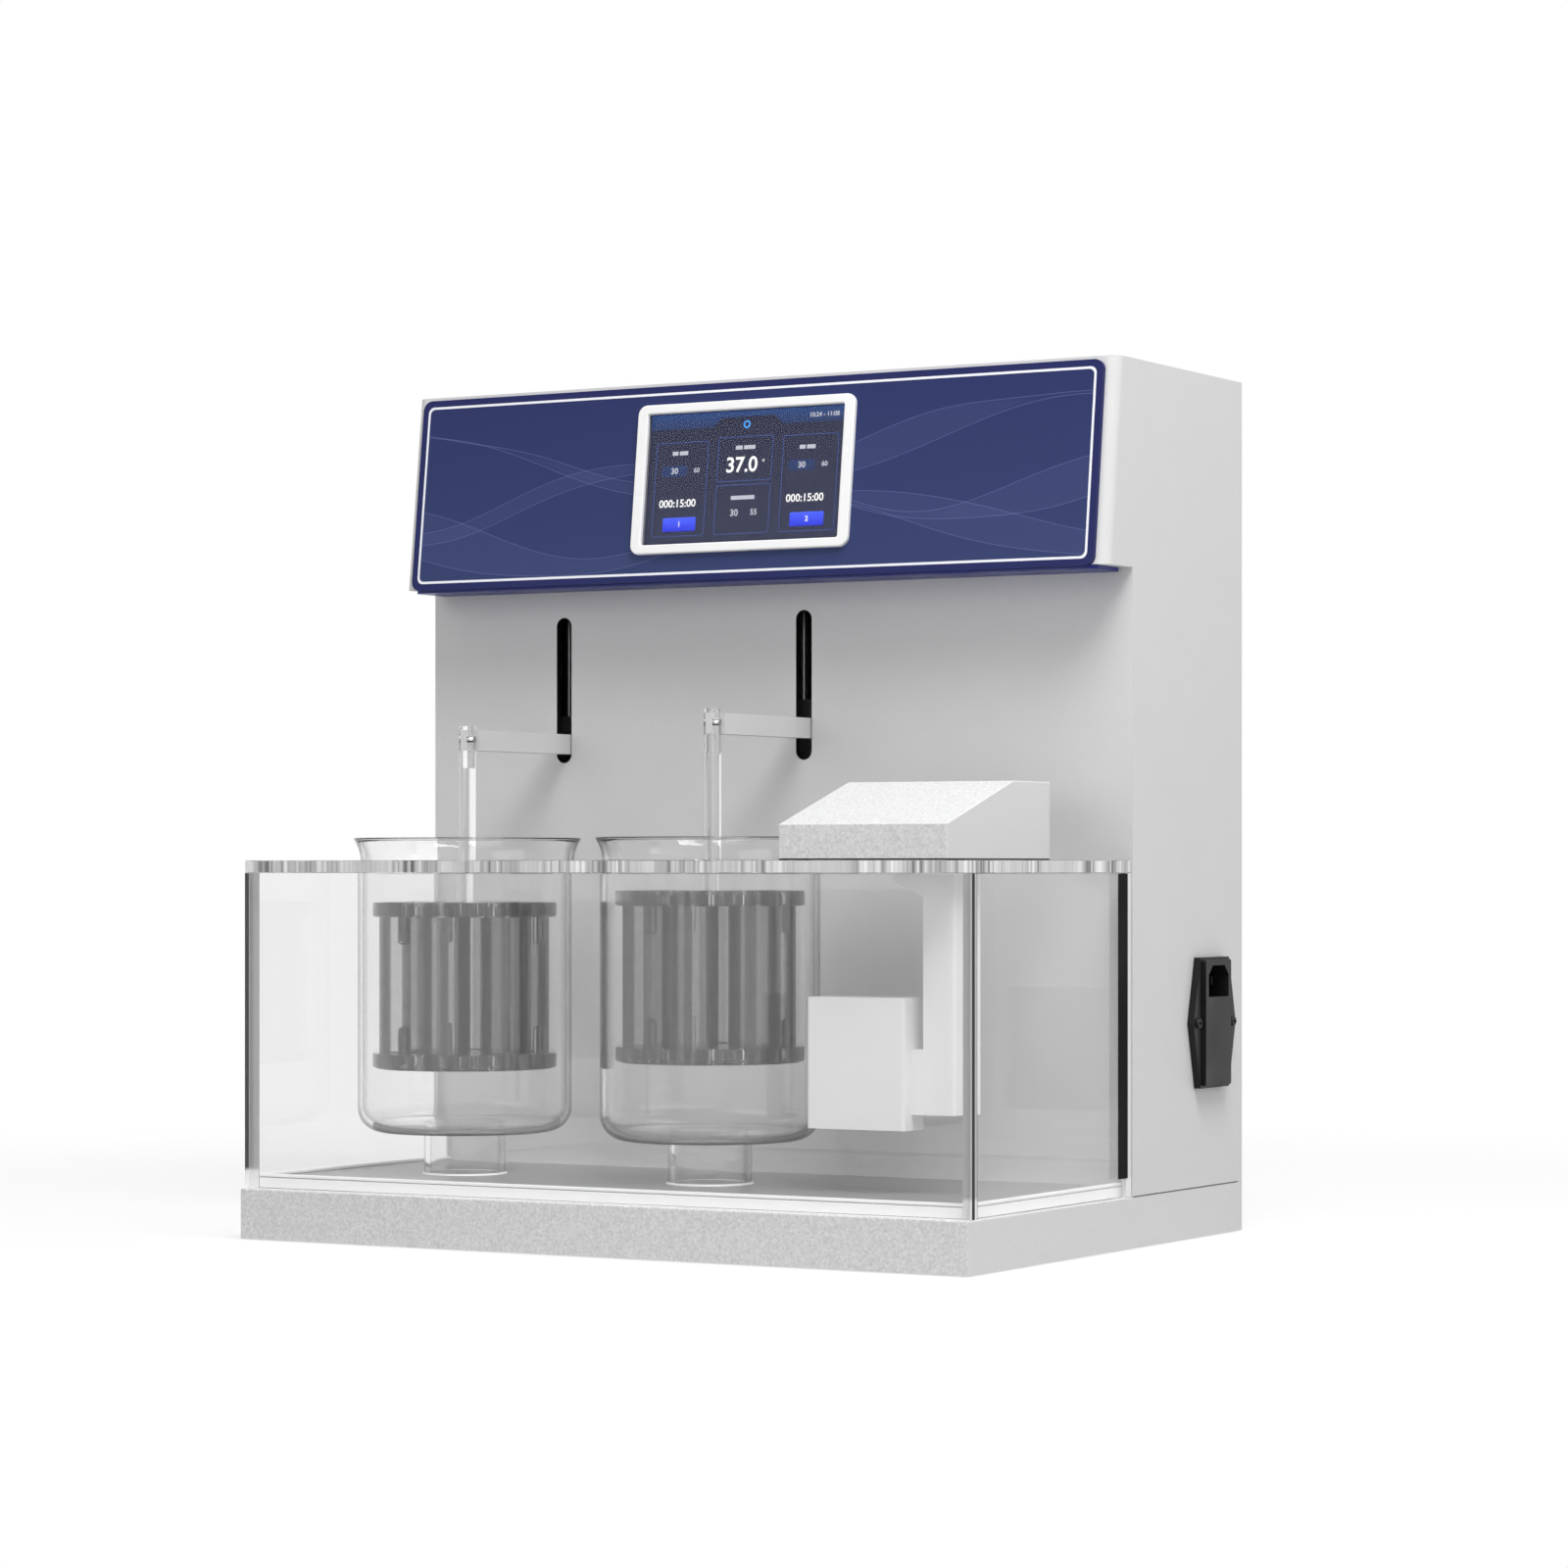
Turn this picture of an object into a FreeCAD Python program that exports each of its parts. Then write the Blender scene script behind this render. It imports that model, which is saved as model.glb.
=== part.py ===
"""Tablet disintegration tester: a bench bath with two beakers and two driven tube baskets.

Millimetres. +X is the operator's right, +Y runs to the back and +Z is up. The origin is on the bench
under the middle of the base. Every independent length, angle and count is written once below and goes
into the sheet; every sub-part follows the sheet.
"""
import FreeCAD, Part
import math
import os
import re

import Sketcher

LENGTHS = {
    # Base, with its cover below and four feet.
    "base_width": 400.0,
    "base_depth": 292.0,
    "base_height": 22.0,
    "base_wall": 3.0,
    "base_corner_radius": 1.0,
    "base_edge_radius": 0.8,
    "skirt_gap": 0.6,
    "base_boss_radius": 5.0,
    "base_boss_inset": 15.0,
    "cover_thick": 1.5,
    "foot_height": 3.0,
    "foot_radius": 10.0,
    "foot_inset": 38.0,
    # Housing: a tall back with a header that stands forward over the bath.
    "housing_height": 397.0,
    "housing_wall": 3.0,
    "housing_corner_radius": 1.0,
    "header_height": 99.0,
    "header_reach": 27.8,
    "header_corner_radius": 6.0,
    "cover_boss": 9.0,
    "cover_boss_length": 20.0,
    "cover_screw_inset": 7.5,
    "vent_width": 3.0,
    "vent_height": 46.0,
    "vent_pitch": 9.0,
    "vent_drop": 137.0,
    "rear_cover_thick": 2.0,
    # Screws of the covers.
    "screw_radius": 1.5,
    "screw_length": 9.0,
    "screw_head_radius": 3.0,
    "screw_head_height": 1.6,
    # Blue fascia and the display in it.
    "fascia_inset": 6.0,
    "fascia_thick": 2.4,
    "fascia_height": 98.7,
    "fascia_corner_radius": 5.0,
    "fascia_overhang": 1.0,
    "underplate_thick": 2.0,
    "underplate_inset": 6.0,
    "underplate_radius": 4.0,
    "bezel_width": 124.0,
    "bezel_height": 75.5,
    "bezel_thick": 2.2,
    "bezel_radius": 5.0,
    "bezel_edge_radius": 0.8,
    "window_width": 112.0,
    "window_height": 66.0,
    "window_radius": 1.0,
    "display_rise": 50.4,
    "glass_thick": 2.0,
    "glass_overlap": 0.8,
    "module_depth": 9.0,
    "module_flange": 6.0,
    "module_flange_thick": 1.5,
    # Control board and power supply.
    "board_width": 180.0,
    "board_height": 72.0,
    "board_thick": 1.6,
    "board_standoff": 14.4,
    "board_standoff_radius": 3.0,
    "board_rise": 13.0,
    "board_hole_inset": 6.0,
    "chip_side": 18.0,
    "chip_height": 2.4,
    "connector_length": 40.0,
    "connector_depth": 8.0,
    "connector_height": 9.0,
    "supply_width": 108.0,
    "supply_depth": 74.0,
    "supply_height": 36.0,
    "supply_rear_gap": 7.7,
    "supply_vent_width": 2.4,
    "supply_vent_pitch": 7.0,
    "supply_vent_inset": 12.0,
    "supply_vent_depth": 1.2,
    # Mains inlet on the right side.
    "inlet_setback": 40.5,
    "inlet_level": 105.2,
    "inlet_height": 63.7,
    "inlet_end_width": 33.0,
    "inlet_mid_width": 49.0,
    "inlet_flange_thick": 3.5,
    "inlet_face_width": 29.2,
    "inlet_face_height": 61.5,
    "inlet_face_thick": 2.1,
    "inlet_face_radius": 1.5,
    "inlet_rear_width": 27.0,
    "inlet_rear_height": 56.0,
    "inlet_rear_depth": 26.0,
    "inlet_gap": 0.5,
    "socket_width": 23.1,
    "socket_height": 15.4,
    "socket_chamfer": 4.6,
    "socket_depth": 22.0,
    "socket_rise": 20.2,
    "socket_pin_width": 4.0,
    "socket_pin_thick": 2.0,
    "socket_pin_length": 15.0,
    "socket_pin_pitch": 7.0,
    "socket_earth_rise": 3.2,
    "inlet_screw_pitch": 40.0,
    "inlet_screw_length": 12.0,
    # Rocker switch on the rear cover.
    "switch_inset": 50.0,
    "switch_level": 62.0,
    "switch_flange_width": 17.0,
    "switch_flange_height": 28.0,
    "switch_flange_thick": 1.4,
    "switch_barrel_width": 14.6,
    "switch_barrel_height": 25.0,
    "switch_barrel_depth": 16.0,
    "switch_wall": 1.2,
    "switch_cavity_depth": 12.0,
    "rocker_gap": 0.4,
    "rocker_height": 20.4,
    "rocker_face_rise": 2.4,
    "rocker_face_dip": 1.0,
    "rocker_root": 4.0,
    "rocker_pin_radius": 1.2,
    "rocker_pin_sink": 1.0,
    # Acrylic bath.
    "tank_side_gap": 0.5,
    "tank_front_gap": 3.0,
    "tank_back_gap": 0.3,
    "tank_wall": 6.0,
    "tank_floor_thick": 5.5,
    "tank_height": 153.3,
    "lid_thick": 6.0,
    "lid_back_gap": 0.3,
    "lid_corner_radius": 2.0,
    # Beakers and their rings.
    "beaker_radius": 52.5,
    "beaker_wall": 2.4,
    "beaker_floor_thick": 2.8,
    "beaker_height": 144.2,
    "beaker_flare_height": 11.2,
    "beaker_flare": 3.5,
    "beaker_foot_radius": 12.0,
    "beaker_lip_radius": 1.0,
    "beaker_lid_gap": 1.3,
    "ring_height": 20.6,
    "ring_radius": 20.0,
    "ring_wall": 3.0,
    # Basket: two plates, six tubes, a wire cloth and a hanging rod.
    "plate_radius": 45.2,
    "plate_thick": 7.2,
    "plate_edge": 0.6,
    "basket_height": 81.6,
    "basket_level": 82.3,
    "right_rise": 6.1,
    "screen_thick": 0.6,
    "screen_margin": 2.2,
    "tube_circle_radius": 30.0,
    "tube_radius": 12.2,
    "tube_wall": 1.4,
    "tube_length": 77.5,
    "fit_gap": 0.05,
    "seat_gap": 0.2,
    "plate_hole_margin": 1.3,
    "peg_circle_radius": 38.3,
    "peg_radius": 3.05,
    "peg_height": 13.2,
    "peg_chamfer": 1.1,
    "rod_radius": 4.25,
    "rod_top_rise": 2.0,
    "fork_depth": 20.8,
    "fork_width": 4.2,
    "hook_pin_radius": 1.5,
    "hook_pin_drop": 6.6,
    # Lift arms, carriages and their screw drives.
    "arm_height": 10.0,
    "arm_width": 8.0,
    "arm_rod_gap": 0.45,
    "arm_tongue_width": 3.6,
    "arm_tongue_end": 3.5,
    "arm_socket_depth": 12.0,
    "slot_width": 9.0,
    "drive_setback": 41.7,
    "carriage_width": 66.0,
    "carriage_height": 30.0,
    "carriage_front": 24.0,
    "carriage_rear": 12.0,
    "carriage_radius": 2.0,
    "rod_spacing": 48.0,
    "guide_radius": 4.0,
    "bush_radius": 7.5,
    "bush_length": 24.0,
    "screw_shaft_radius": 4.0,
    "nut_radius": 5.1,
    "nut_length": 15.0,
    "nut_flange_radius": 11.0,
    "nut_flange_thick": 3.5,
    "frame_width": 68.0,
    "frame_thick": 5.0,
    "frame_height": 152.0,
    "frame_rise": 1.0,
    "frame_front": 32.0,
    "frame_rear": 24.0,
    "frame_foot": 46.0,
    "motor_side": 42.3,
    "motor_height": 34.0,
    "motor_corner": 4.0,
    "motor_bore_depth": 26.0,
    "motor_pilot_radius": 11.0,
    "motor_pilot_height": 2.0,
    "screw_end_gap": 0.3,
    "bearing_radius": 8.0,
    # Circulator that stands on the lid and dips into the bath.
    "head_width": 88.0,
    "head_depth": 102.6,
    "head_front_height": 15.7,
    "head_height": 36.0,
    "head_slope_depth": 65.0,
    "head_wall": 2.5,
    "head_edge_radius": 0.6,
    "gasket_thick": 0.8,
    "flange_thick": 3.0,
    "flange_gap": 0.3,
    "well_inset": 2.0,
    "well_width": 81.0,
    "well_setback": 21.4,
    "well_depth": 39.0,
    "well_radius": 1.5,
    "column_inset": 60.7,
    "column_width": 16.5,
    "column_setback": 29.9,
    "column_depth": 17.0,
    "column_clearance": 36.8,
    "column_edge_radius": 1.5,
    "neck_drop": 3.7,
    "neck_reach": 15.6,
    "gusset_drop": 6.9,
    "bracket_height": 30.0,
    "heater_radius": 4.0,
    "heater_floor": 8.0,
    "pump_inset": 3.0,
    "pump_width": 51.5,
    "pump_setback": 23.0,
    "pump_depth": 20.0,
    "pump_clearance": 29.5,
    "pump_height": 61.0,
    "pump_wall": 2.5,
    "pump_edge_radius": 1.6,
    "grille_thick": 2.0,
    "grille_slot_width": 3.0,
    "grille_slot_length": 10.0,
    "grille_slot_pitch": 7.0,
    "pump_motor_radius": 6.5,
    "pump_motor_length": 36.0,
    "impeller_radius": 6.8,
    "impeller_hub_radius": 3.0,
    "impeller_web": 1.6,
    "impeller_blade_height": 7.0,
    "impeller_blade_thick": 1.4,
    "impeller_shaft_radius": 2.0,
    "impeller_shaft_length": 14.0,
    "impeller_drop": 4.0,
}

ANGLES = {
    "lean_angle": 6.87,
    "rocker_angle": 8.0,
    "tube_angle": 45.0,
    "peg_angle": 15.0,
}

COUNTS = {
    "tube_count": 6,
    "peg_count": 3,
    "blade_count": 6,
    "vent_count": 16,
    "grille_slot_count": 5,
    "supply_vent_count": 11,
}

# How high the middle pair of rear screws stands, and where the chips sit along the control board.
MIDDLE_SCREW_share = 0.52
CHIP_shares = (0.22, 0.5, 0.78)
# The housing's part of the base's depth; the bath has the rest.
HOUSING_DEPTH_share = 0.4305
# The width that beakers and circulator leave free: before the left beaker, between the two beakers and
# before the circulator.
FREE_WIDTH_shares = (0.2665, 0.344, 0.1002)
# What lies in front of the beakers and of the circulator, of the lid's depth that each leaves free.
BEAKER_FRONT_share = 0.4025
CIRCULATOR_FRONT_share = 0.4901
# Between lid and header: how high the left arm hangs, where the slots start and how long they are.
ARM_LEVEL_share = 0.3908
SLOT_LEVEL_share = 0.3583
SLOT_HEIGHT_share = 0.5335
# How far from the right drive's frame the power supply stands, of the width that it leaves free.
SUPPLY_share = 0.45

DOC = FreeCAD.newDocument("disintegration_tester")
SHEET = DOC.addObject("Spreadsheet::Sheet", "sizes")
VECTOR = FreeCAD.Vector
PIECES = []


class Size:
    """A number together with the sheet expression that it comes from."""

    def __init__(self, value, text):
        self.value = float(value)
        self.text = text

    def __add__(self, other):
        other = size_of(other)
        return Size(self.value + other.value, f"({self.text} + {other.text})")

    def __radd__(self, other):
        return size_of(other) + self

    def __sub__(self, other):
        other = size_of(other)
        return Size(self.value - other.value, f"({self.text} - {other.text})")

    def __rsub__(self, other):
        return size_of(other) - self

    def __mul__(self, other):
        other = size_of(other)
        return Size(self.value * other.value, f"({self.text} * {other.text})")

    def __rmul__(self, other):
        return size_of(other) * self

    def __truediv__(self, other):
        other = size_of(other)
        return Size(self.value / other.value, f"({self.text} / {other.text})")

    def __rtruediv__(self, other):
        return size_of(other) / self

    def __neg__(self):
        return Size(-self.value, f"(0 - {self.text})")


def size_of(number):
    """A plain number as a Size; a Size as it is."""
    if isinstance(number, Size):
        return number
    return Size(number, repr(float(number)))


def cosine(angle):
    """The cosine of an angle in degrees, still tied to the sheet."""
    return Size(math.cos(math.radians(angle.value)), f"cos({angle.text})")


def sine(angle):
    """The sine of an angle in degrees, still tied to the sheet."""
    return Size(math.sin(math.radians(angle.value)), f"sin({angle.text})")


class Sheet:
    """Reads a named size: S.base_width is the cell of that alias."""

    def __init__(self, *tables):
        self.values = {}
        for table in tables:
            for alias, number in table.items():
                self.values[alias] = number
                cell = f"A{len(self.values)}"
                SHEET.set(cell, repr(number))
                SHEET.setAlias(cell, alias)
        DOC.recompute()

    def __getattr__(self, alias):
        return Size(self.values[alias], f"sizes.{alias}")


S = Sheet(LENGTHS, ANGLES, COUNTS)
ZERO = Size(0.0, "0")


def bind(thing, name, number):
    """Tie one property of an object to the sheet."""
    thing.setExpression(name, size_of(number).text)


def place(thing, x=ZERO, y=ZERO, z=ZERO):
    """Put an object at a point that follows the sheet."""
    bind(thing, "Placement.Base.x", x)
    bind(thing, "Placement.Base.y", y)
    bind(thing, "Placement.Base.z", z)


def tilt(thing, angle, axis):
    """Turn an object about its own origin by an angle that follows the sheet."""
    base = thing.Placement.Base
    thing.Placement = FreeCAD.Placement(base, FreeCAD.Rotation(axis, angle.value))
    bind(thing, "Placement.Rotation.Angle", angle)


class Outline:
    """Closed outlines that a sketch can hold, each drawn and held by its own sizes."""

    def __init__(self, sketch):
        self.sketch = sketch

    def hold(self, kind, *where, size):
        number = self.sketch.addConstraint(Sketcher.Constraint(kind, *where, size.value))
        self.sketch.setExpression(f"Constraints[{number}]", size.text)

    def hold_point(self, edge, end, x, y):
        self.hold("DistanceX", -1, 1, edge, end, size=size_of(x))
        self.hold("DistanceY", -1, 1, edge, end, size=size_of(y))

    def polygon(self, *corners):
        """Straight sides between the corners, in order."""
        corners = [(size_of(x), size_of(y)) for x, y in corners]
        points = [VECTOR(x.value, y.value, 0) for x, y in corners]
        first = self.sketch.GeometryCount
        for here, there in zip(points, points[1:] + points[:1]):
            self.sketch.addGeometry(Part.LineSegment(here, there), False)
        for step, (x, y) in enumerate(corners):
            after = first + (step + 1) % len(corners)
            self.sketch.addConstraint(Sketcher.Constraint("Coincident", first + step, 2, after, 1))
            self.hold_point(first + step, 1, x, y)

    def circle(self, x, y, radius):
        """A full circle."""
        edge = self.sketch.GeometryCount
        middle = VECTOR(size_of(x).value, size_of(y).value, 0)
        self.sketch.addGeometry(Part.Circle(middle, VECTOR(0, 0, 1), radius.value), False)
        self.hold_point(edge, 3, x, y)
        self.hold("Radius", edge, size=radius)

    def rounded(self, left, bottom, right, top, radius):
        """A rectangle whose four corners are arcs of one radius."""
        left, bottom, right, top = (size_of(n) for n in (left, bottom, right, top))
        middles = (
            (left + radius, bottom + radius),
            (right - radius, bottom + radius),
            (right - radius, top - radius),
            (left + radius, top - radius),
        )
        first = self.sketch.GeometryCount
        r = radius.value
        for turn, (x, y) in enumerate(middles):
            start = math.pi * (1 + turn / 2)
            circle = Part.Circle(VECTOR(x.value, y.value, 0), VECTOR(0, 0, 1), r)
            self.sketch.addGeometry(Part.ArcOfCircle(circle, start, start + math.pi / 2), False)
        for turn, (x, y) in enumerate(middles):
            angle = math.pi * (3 + turn) / 2
            out = VECTOR(math.cos(angle), math.sin(angle), 0) * r
            after_x, after_y = middles[(turn + 1) % len(middles)]
            here = VECTOR(x.value, y.value, 0) + out
            there = VECTOR(after_x.value, after_y.value, 0) + out
            self.sketch.addGeometry(Part.LineSegment(here, there), False)
        for turn, (x, y) in enumerate(middles):
            arc = first + turn
            line = first + len(middles) + turn
            after = first + (turn + 1) % len(middles)
            self.sketch.addConstraint(Sketcher.Constraint("Tangent", arc, 2, line, 1))
            self.sketch.addConstraint(Sketcher.Constraint("Tangent", line, 2, after, 1))
            self.hold_point(arc, 3, x, y)
            self.hold("Radius", arc, size=radius)

    def slot(self, x, bottom, top, radius):
        """An upright slot with round ends; bottom and top are its full reach."""
        x, bottom, top = size_of(x), size_of(bottom), size_of(top)
        low = bottom + radius
        high = top - radius
        first = self.sketch.GeometryCount
        r = radius.value
        for y, start in ((low, math.pi), (high, 0.0)):
            circle = Part.Circle(VECTOR(x.value, y.value, 0), VECTOR(0, 0, 1), r)
            self.sketch.addGeometry(Part.ArcOfCircle(circle, start, start + math.pi), False)
        for side, y, other in ((r, low, high), (-r, high, low)):
            here = VECTOR(x.value + side, y.value, 0)
            there = VECTOR(x.value + side, other.value, 0)
            self.sketch.addGeometry(Part.LineSegment(here, there), False)
        for arc, line, after in ((0, 2, 1), (1, 3, 0)):
            ends = (first + arc, first + line, first + after)
            self.sketch.addConstraint(Sketcher.Constraint("Tangent", ends[0], 2, ends[1], 1))
            self.sketch.addConstraint(Sketcher.Constraint("Tangent", ends[1], 2, ends[2], 1))
        for arc, y in ((0, low), (1, high)):
            self.hold_point(first + arc, 3, x, y)
            self.hold("Radius", first + arc, size=radius)


class Body:
    """One sub-part that is grown from sketches on its own origin planes."""

    def __init__(self, label, x=ZERO, y=ZERO, z=ZERO, final=True):
        self.body = DOC.addObject("PartDesign::Body", label)
        self.body.Label = label
        self.x, self.y, self.z = x, y, z
        if final:
            PIECES.append(self.body)

    def draw(self, plane, start, outlines):
        """Sketch on a plane; each outline is (kind, its sizes...)."""
        sketch = self.body.newObject("Sketcher::SketchObject", self.body.Label + "_sketch")
        role = plane + "_Plane"
        support = [flat for flat in self.body.Origin.OriginFeatures if flat.Role == role]
        sketch.AttachmentSupport = [(support[0], "")]
        sketch.MapMode = "FlatFace"
        bind(sketch, "AttachmentOffset.Base.z", start)
        pen = Outline(sketch)
        for kind, *sizes in outlines:
            getattr(pen, kind)(*sizes)
        return sketch

    def pad(self, plane, length, *outlines, start=ZERO, back=False, both=False):
        """Grow material off a plane; back grows it against the plane's normal."""
        sketch = self.draw(plane, start, outlines)
        grown = self.body.newObject("PartDesign::Pad", self.body.Label + "_pad")
        grown.Profile = sketch
        bind(grown, "Length", length)
        grown.Reversed = back
        if both:
            grown.SideType = "Symmetric"
        DOC.recompute()
        return grown

    def cut(self, plane, length, *outlines, start=ZERO, back=False, both=False):
        """Cut along the plane's normal; back cuts against it. The volume has to fall."""
        before = self.body.Shape.Volume
        sketch = self.draw(plane, start, outlines)
        pocket = self.body.newObject("PartDesign::Pocket", self.body.Label + "_pocket")
        pocket.Profile = sketch
        bind(pocket, "Length", length)
        pocket.Reversed = not back
        if both:
            pocket.SideType = "Symmetric"
        DOC.recompute()
        if not self.body.Shape.Volume < before:
            raise ValueError(f"a cut in {self.body.Label} takes nothing away")
        return pocket

    def revolve(self, *corners):
        """Turn an outline in the XZ plane round the upright axis."""
        sketch = self.draw("XZ", ZERO, [("polygon", *corners)])
        turned = self.body.newObject("PartDesign::Revolution", self.body.Label + "_turn")
        turned.Profile = sketch
        turned.ReferenceAxis = (sketch, ["V_Axis"])
        turned.Angle = 360
        DOC.recompute()
        return turned

    def polar(self, feature, count):
        """Repeat a feature evenly round the sketch's own normal."""
        pattern = self.body.newObject("PartDesign::PolarPattern", self.body.Label + "_ring")
        pattern.Originals = [feature]
        pattern.Axis = (feature.Profile[0], ["N_Axis"])
        pattern.Angle = 360
        bind(pattern, "Occurrences", count)
        self.body.Tip = pattern
        DOC.recompute()
        return pattern

    def row(self, feature, count, pitch):
        """Repeat a feature along the sketch's horizontal axis."""
        pattern = self.body.newObject("PartDesign::LinearPattern", self.body.Label + "_row")
        pattern.Originals = [feature]
        pattern.Direction = (feature.Profile[0], ["H_Axis"])
        bind(pattern, "Occurrences", count)
        bind(pattern, "Length", pitch * (count - 1))
        self.body.Tip = pattern
        DOC.recompute()
        return pattern

    def dress(self, kind, size, chosen):
        """Fillet or chamfer the edges that the rule chooses."""
        base = self.body.Tip
        edges = enumerate(base.Shape.Edges, 1)
        names = [f"Edge{number}" for number, edge in edges if chosen(edge)]
        dressed = self.body.newObject("PartDesign::" + kind, self.body.Label + "_edge")
        dressed.Base = (base, names)
        bind(dressed, "Radius" if kind == "Fillet" else "Size", size)
        DOC.recompute()
        return dressed

    def done(self, angle=None, axis=None):
        """Move the finished body to its place, leaning if asked to."""
        if angle is not None:
            tilt(self.body, angle, axis)
        place(self.body, self.x, self.y, self.z)
        return self.body


def near(one, other):
    """Whether two lengths are the same for choosing an edge."""
    return abs(one - other) < 1e-4


def all_at(edge, letter, size):
    """Whether the whole edge lies at one height, depth or width."""
    box = edge.BoundBox
    low, high = (getattr(box, letter + end) for end in ("Min", "Max"))
    return near(low, size.value) and near(high, size.value)


def box(label, width, depth, height, x, y, z, final=False):
    """A plain block; x, y, z is its left, front, lower corner."""
    block = DOC.addObject("Part::Box", label)
    block.Label = label
    bind(block, "Length", width)
    bind(block, "Width", depth)
    bind(block, "Height", height)
    place(block, x, y, z)
    if final:
        PIECES.append(block)
    return block


def cylinder(label, radius, height, x, y, z, axis=None):
    """An upright cylinder, or one along the given axis."""
    round_bar = DOC.addObject("Part::Cylinder", label)
    round_bar.Label = label
    bind(round_bar, "Radius", radius)
    bind(round_bar, "Height", height)
    if axis is not None:
        turn = FreeCAD.Rotation(VECTOR(0, 0, 1), axis)
        round_bar.Placement = FreeCAD.Placement(VECTOR(0, 0, 0), turn)
    place(round_bar, x, y, z)
    return round_bar


def less(label, base, tool, final=False):
    """One solid with another cut from it."""
    result = DOC.addObject("Part::Cut", label)
    result.Label = label
    result.Base = base
    result.Tool = tool
    if final:
        PIECES.append(result)
    return result


def joined(label, members, final=False):
    """Several overlapping solids as one."""
    result = DOC.addObject("Part::MultiFuse", label)
    result.Label = label
    result.Shapes = members
    if final:
        PIECES.append(result)
    return result


def group(label, members):
    """Like pieces that share one node, each still its own solid."""
    result = DOC.addObject("Part::Compound", label)
    result.Label = label
    result.Links = members
    PIECES.append(result)
    return result


def tube(label, radius, bore, height, x, y, z, final=False):
    """An upright round tube."""
    outer = cylinder(label + "_outside", radius, height, x, y, z)
    inner = cylinder(label + "_bore", bore, height, x, y, z)
    return less(label, outer, inner, final)


# Places that several sub-parts share.
HALF_WIDTH = S.base_width / 2
HALF_DEPTH = S.base_depth / 2
DECK = S.foot_height + S.base_height
WALL_FACE = HALF_DEPTH - HOUSING_DEPTH_share * S.base_depth
TOP = DECK + S.housing_height
HEADER_UNDERSIDE = TOP - S.header_height
HEADER_LIP = WALL_FACE - S.header_reach
LEAN_SLOPE = sine(S.lean_angle) / cosine(S.lean_angle)
COVER_PLANE = HALF_DEPTH - S.rear_cover_thick
TANK_FLOOR = DECK + S.tank_floor_thick
TANK_TOP = DECK + S.tank_height
TANK_FRONT = S.tank_front_gap - HALF_DEPTH
TANK_BACK = WALL_FACE - S.tank_back_gap
TANK_SIDE = HALF_WIDTH - S.tank_side_gap
LID_TOP = TANK_TOP + S.lid_thick
LID_BACK = WALL_FACE - S.lid_back_gap
LID_DEPTH = LID_BACK - TANK_FRONT
BEAKER_HOLE = S.beaker_radius + S.beaker_lid_gap
FREE_WIDTH = S.base_width - BEAKER_HOLE * 4 - S.head_width
BEFORE_LEFT, BETWEEN, BEFORE_HEAD = (share * FREE_WIDTH for share in FREE_WIDTH_shares)
LEFT_X = BEFORE_LEFT + BEAKER_HOLE - HALF_WIDTH
RIGHT_X = LEFT_X + BEAKER_HOLE * 2 + BETWEEN
BEAKER_Y = TANK_FRONT + BEAKER_HOLE + BEAKER_FRONT_share * (LID_DEPTH - BEAKER_HOLE * 2)
SIDES = {
    "left": (LEFT_X, ZERO),
    "right": (RIGHT_X, S.right_rise),
}
BEAKER_FOOT = TANK_FLOOR + S.ring_height
HEAD_LEFT = RIGHT_X + BEAKER_HOLE + BEFORE_HEAD
HEAD_FRONT = TANK_FRONT + CIRCULATOR_FRONT_share * (LID_DEPTH - S.head_depth)
CLEAR_HEIGHT = HEADER_UNDERSIDE - LID_TOP
ARM_LEVEL = LID_TOP + ARM_LEVEL_share * CLEAR_HEIGHT
DRIVE_Y = WALL_FACE + S.drive_setback
FRAME_TOP = HEADER_UNDERSIDE + S.frame_rise
FRAME_LEVEL = FRAME_TOP - S.frame_height
INLET_Y = HALF_DEPTH - S.inlet_setback
SWITCH_X = S.switch_inset - HALF_WIDTH


def screw(label, x, y, z, axis):
    """A pan-head screw; x, y, z is the seat under its head and axis runs along its shank."""
    shank = cylinder(label + "_shank", S.screw_radius, S.screw_length, x, y, z, axis)
    head = cylinder(label + "_head", S.screw_head_radius, S.screw_head_height, x, y, z, -axis)
    return joined(label, [head, shank])


def rear_screw_places():
    """The six screw places of the rear cover, as (x, z)."""
    side = HALF_WIDTH - S.housing_wall - S.cover_screw_inset
    low = DECK + S.cover_screw_inset
    high = TOP - S.housing_wall - S.cover_screw_inset
    middle = low + MIDDLE_SCREW_share * (high - low)
    return [(turn * side, level) for level in (low, middle, high) for turn in (-1, 1)]


def base_boss_places():
    """The six boss places of the base, as (x, y)."""
    side = HALF_WIDTH - S.base_boss_inset
    reach = HALF_DEPTH - S.base_boss_inset
    return [(turn * side, y) for y in (-reach, ZERO, reach) for turn in (-1, 1)]


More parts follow.
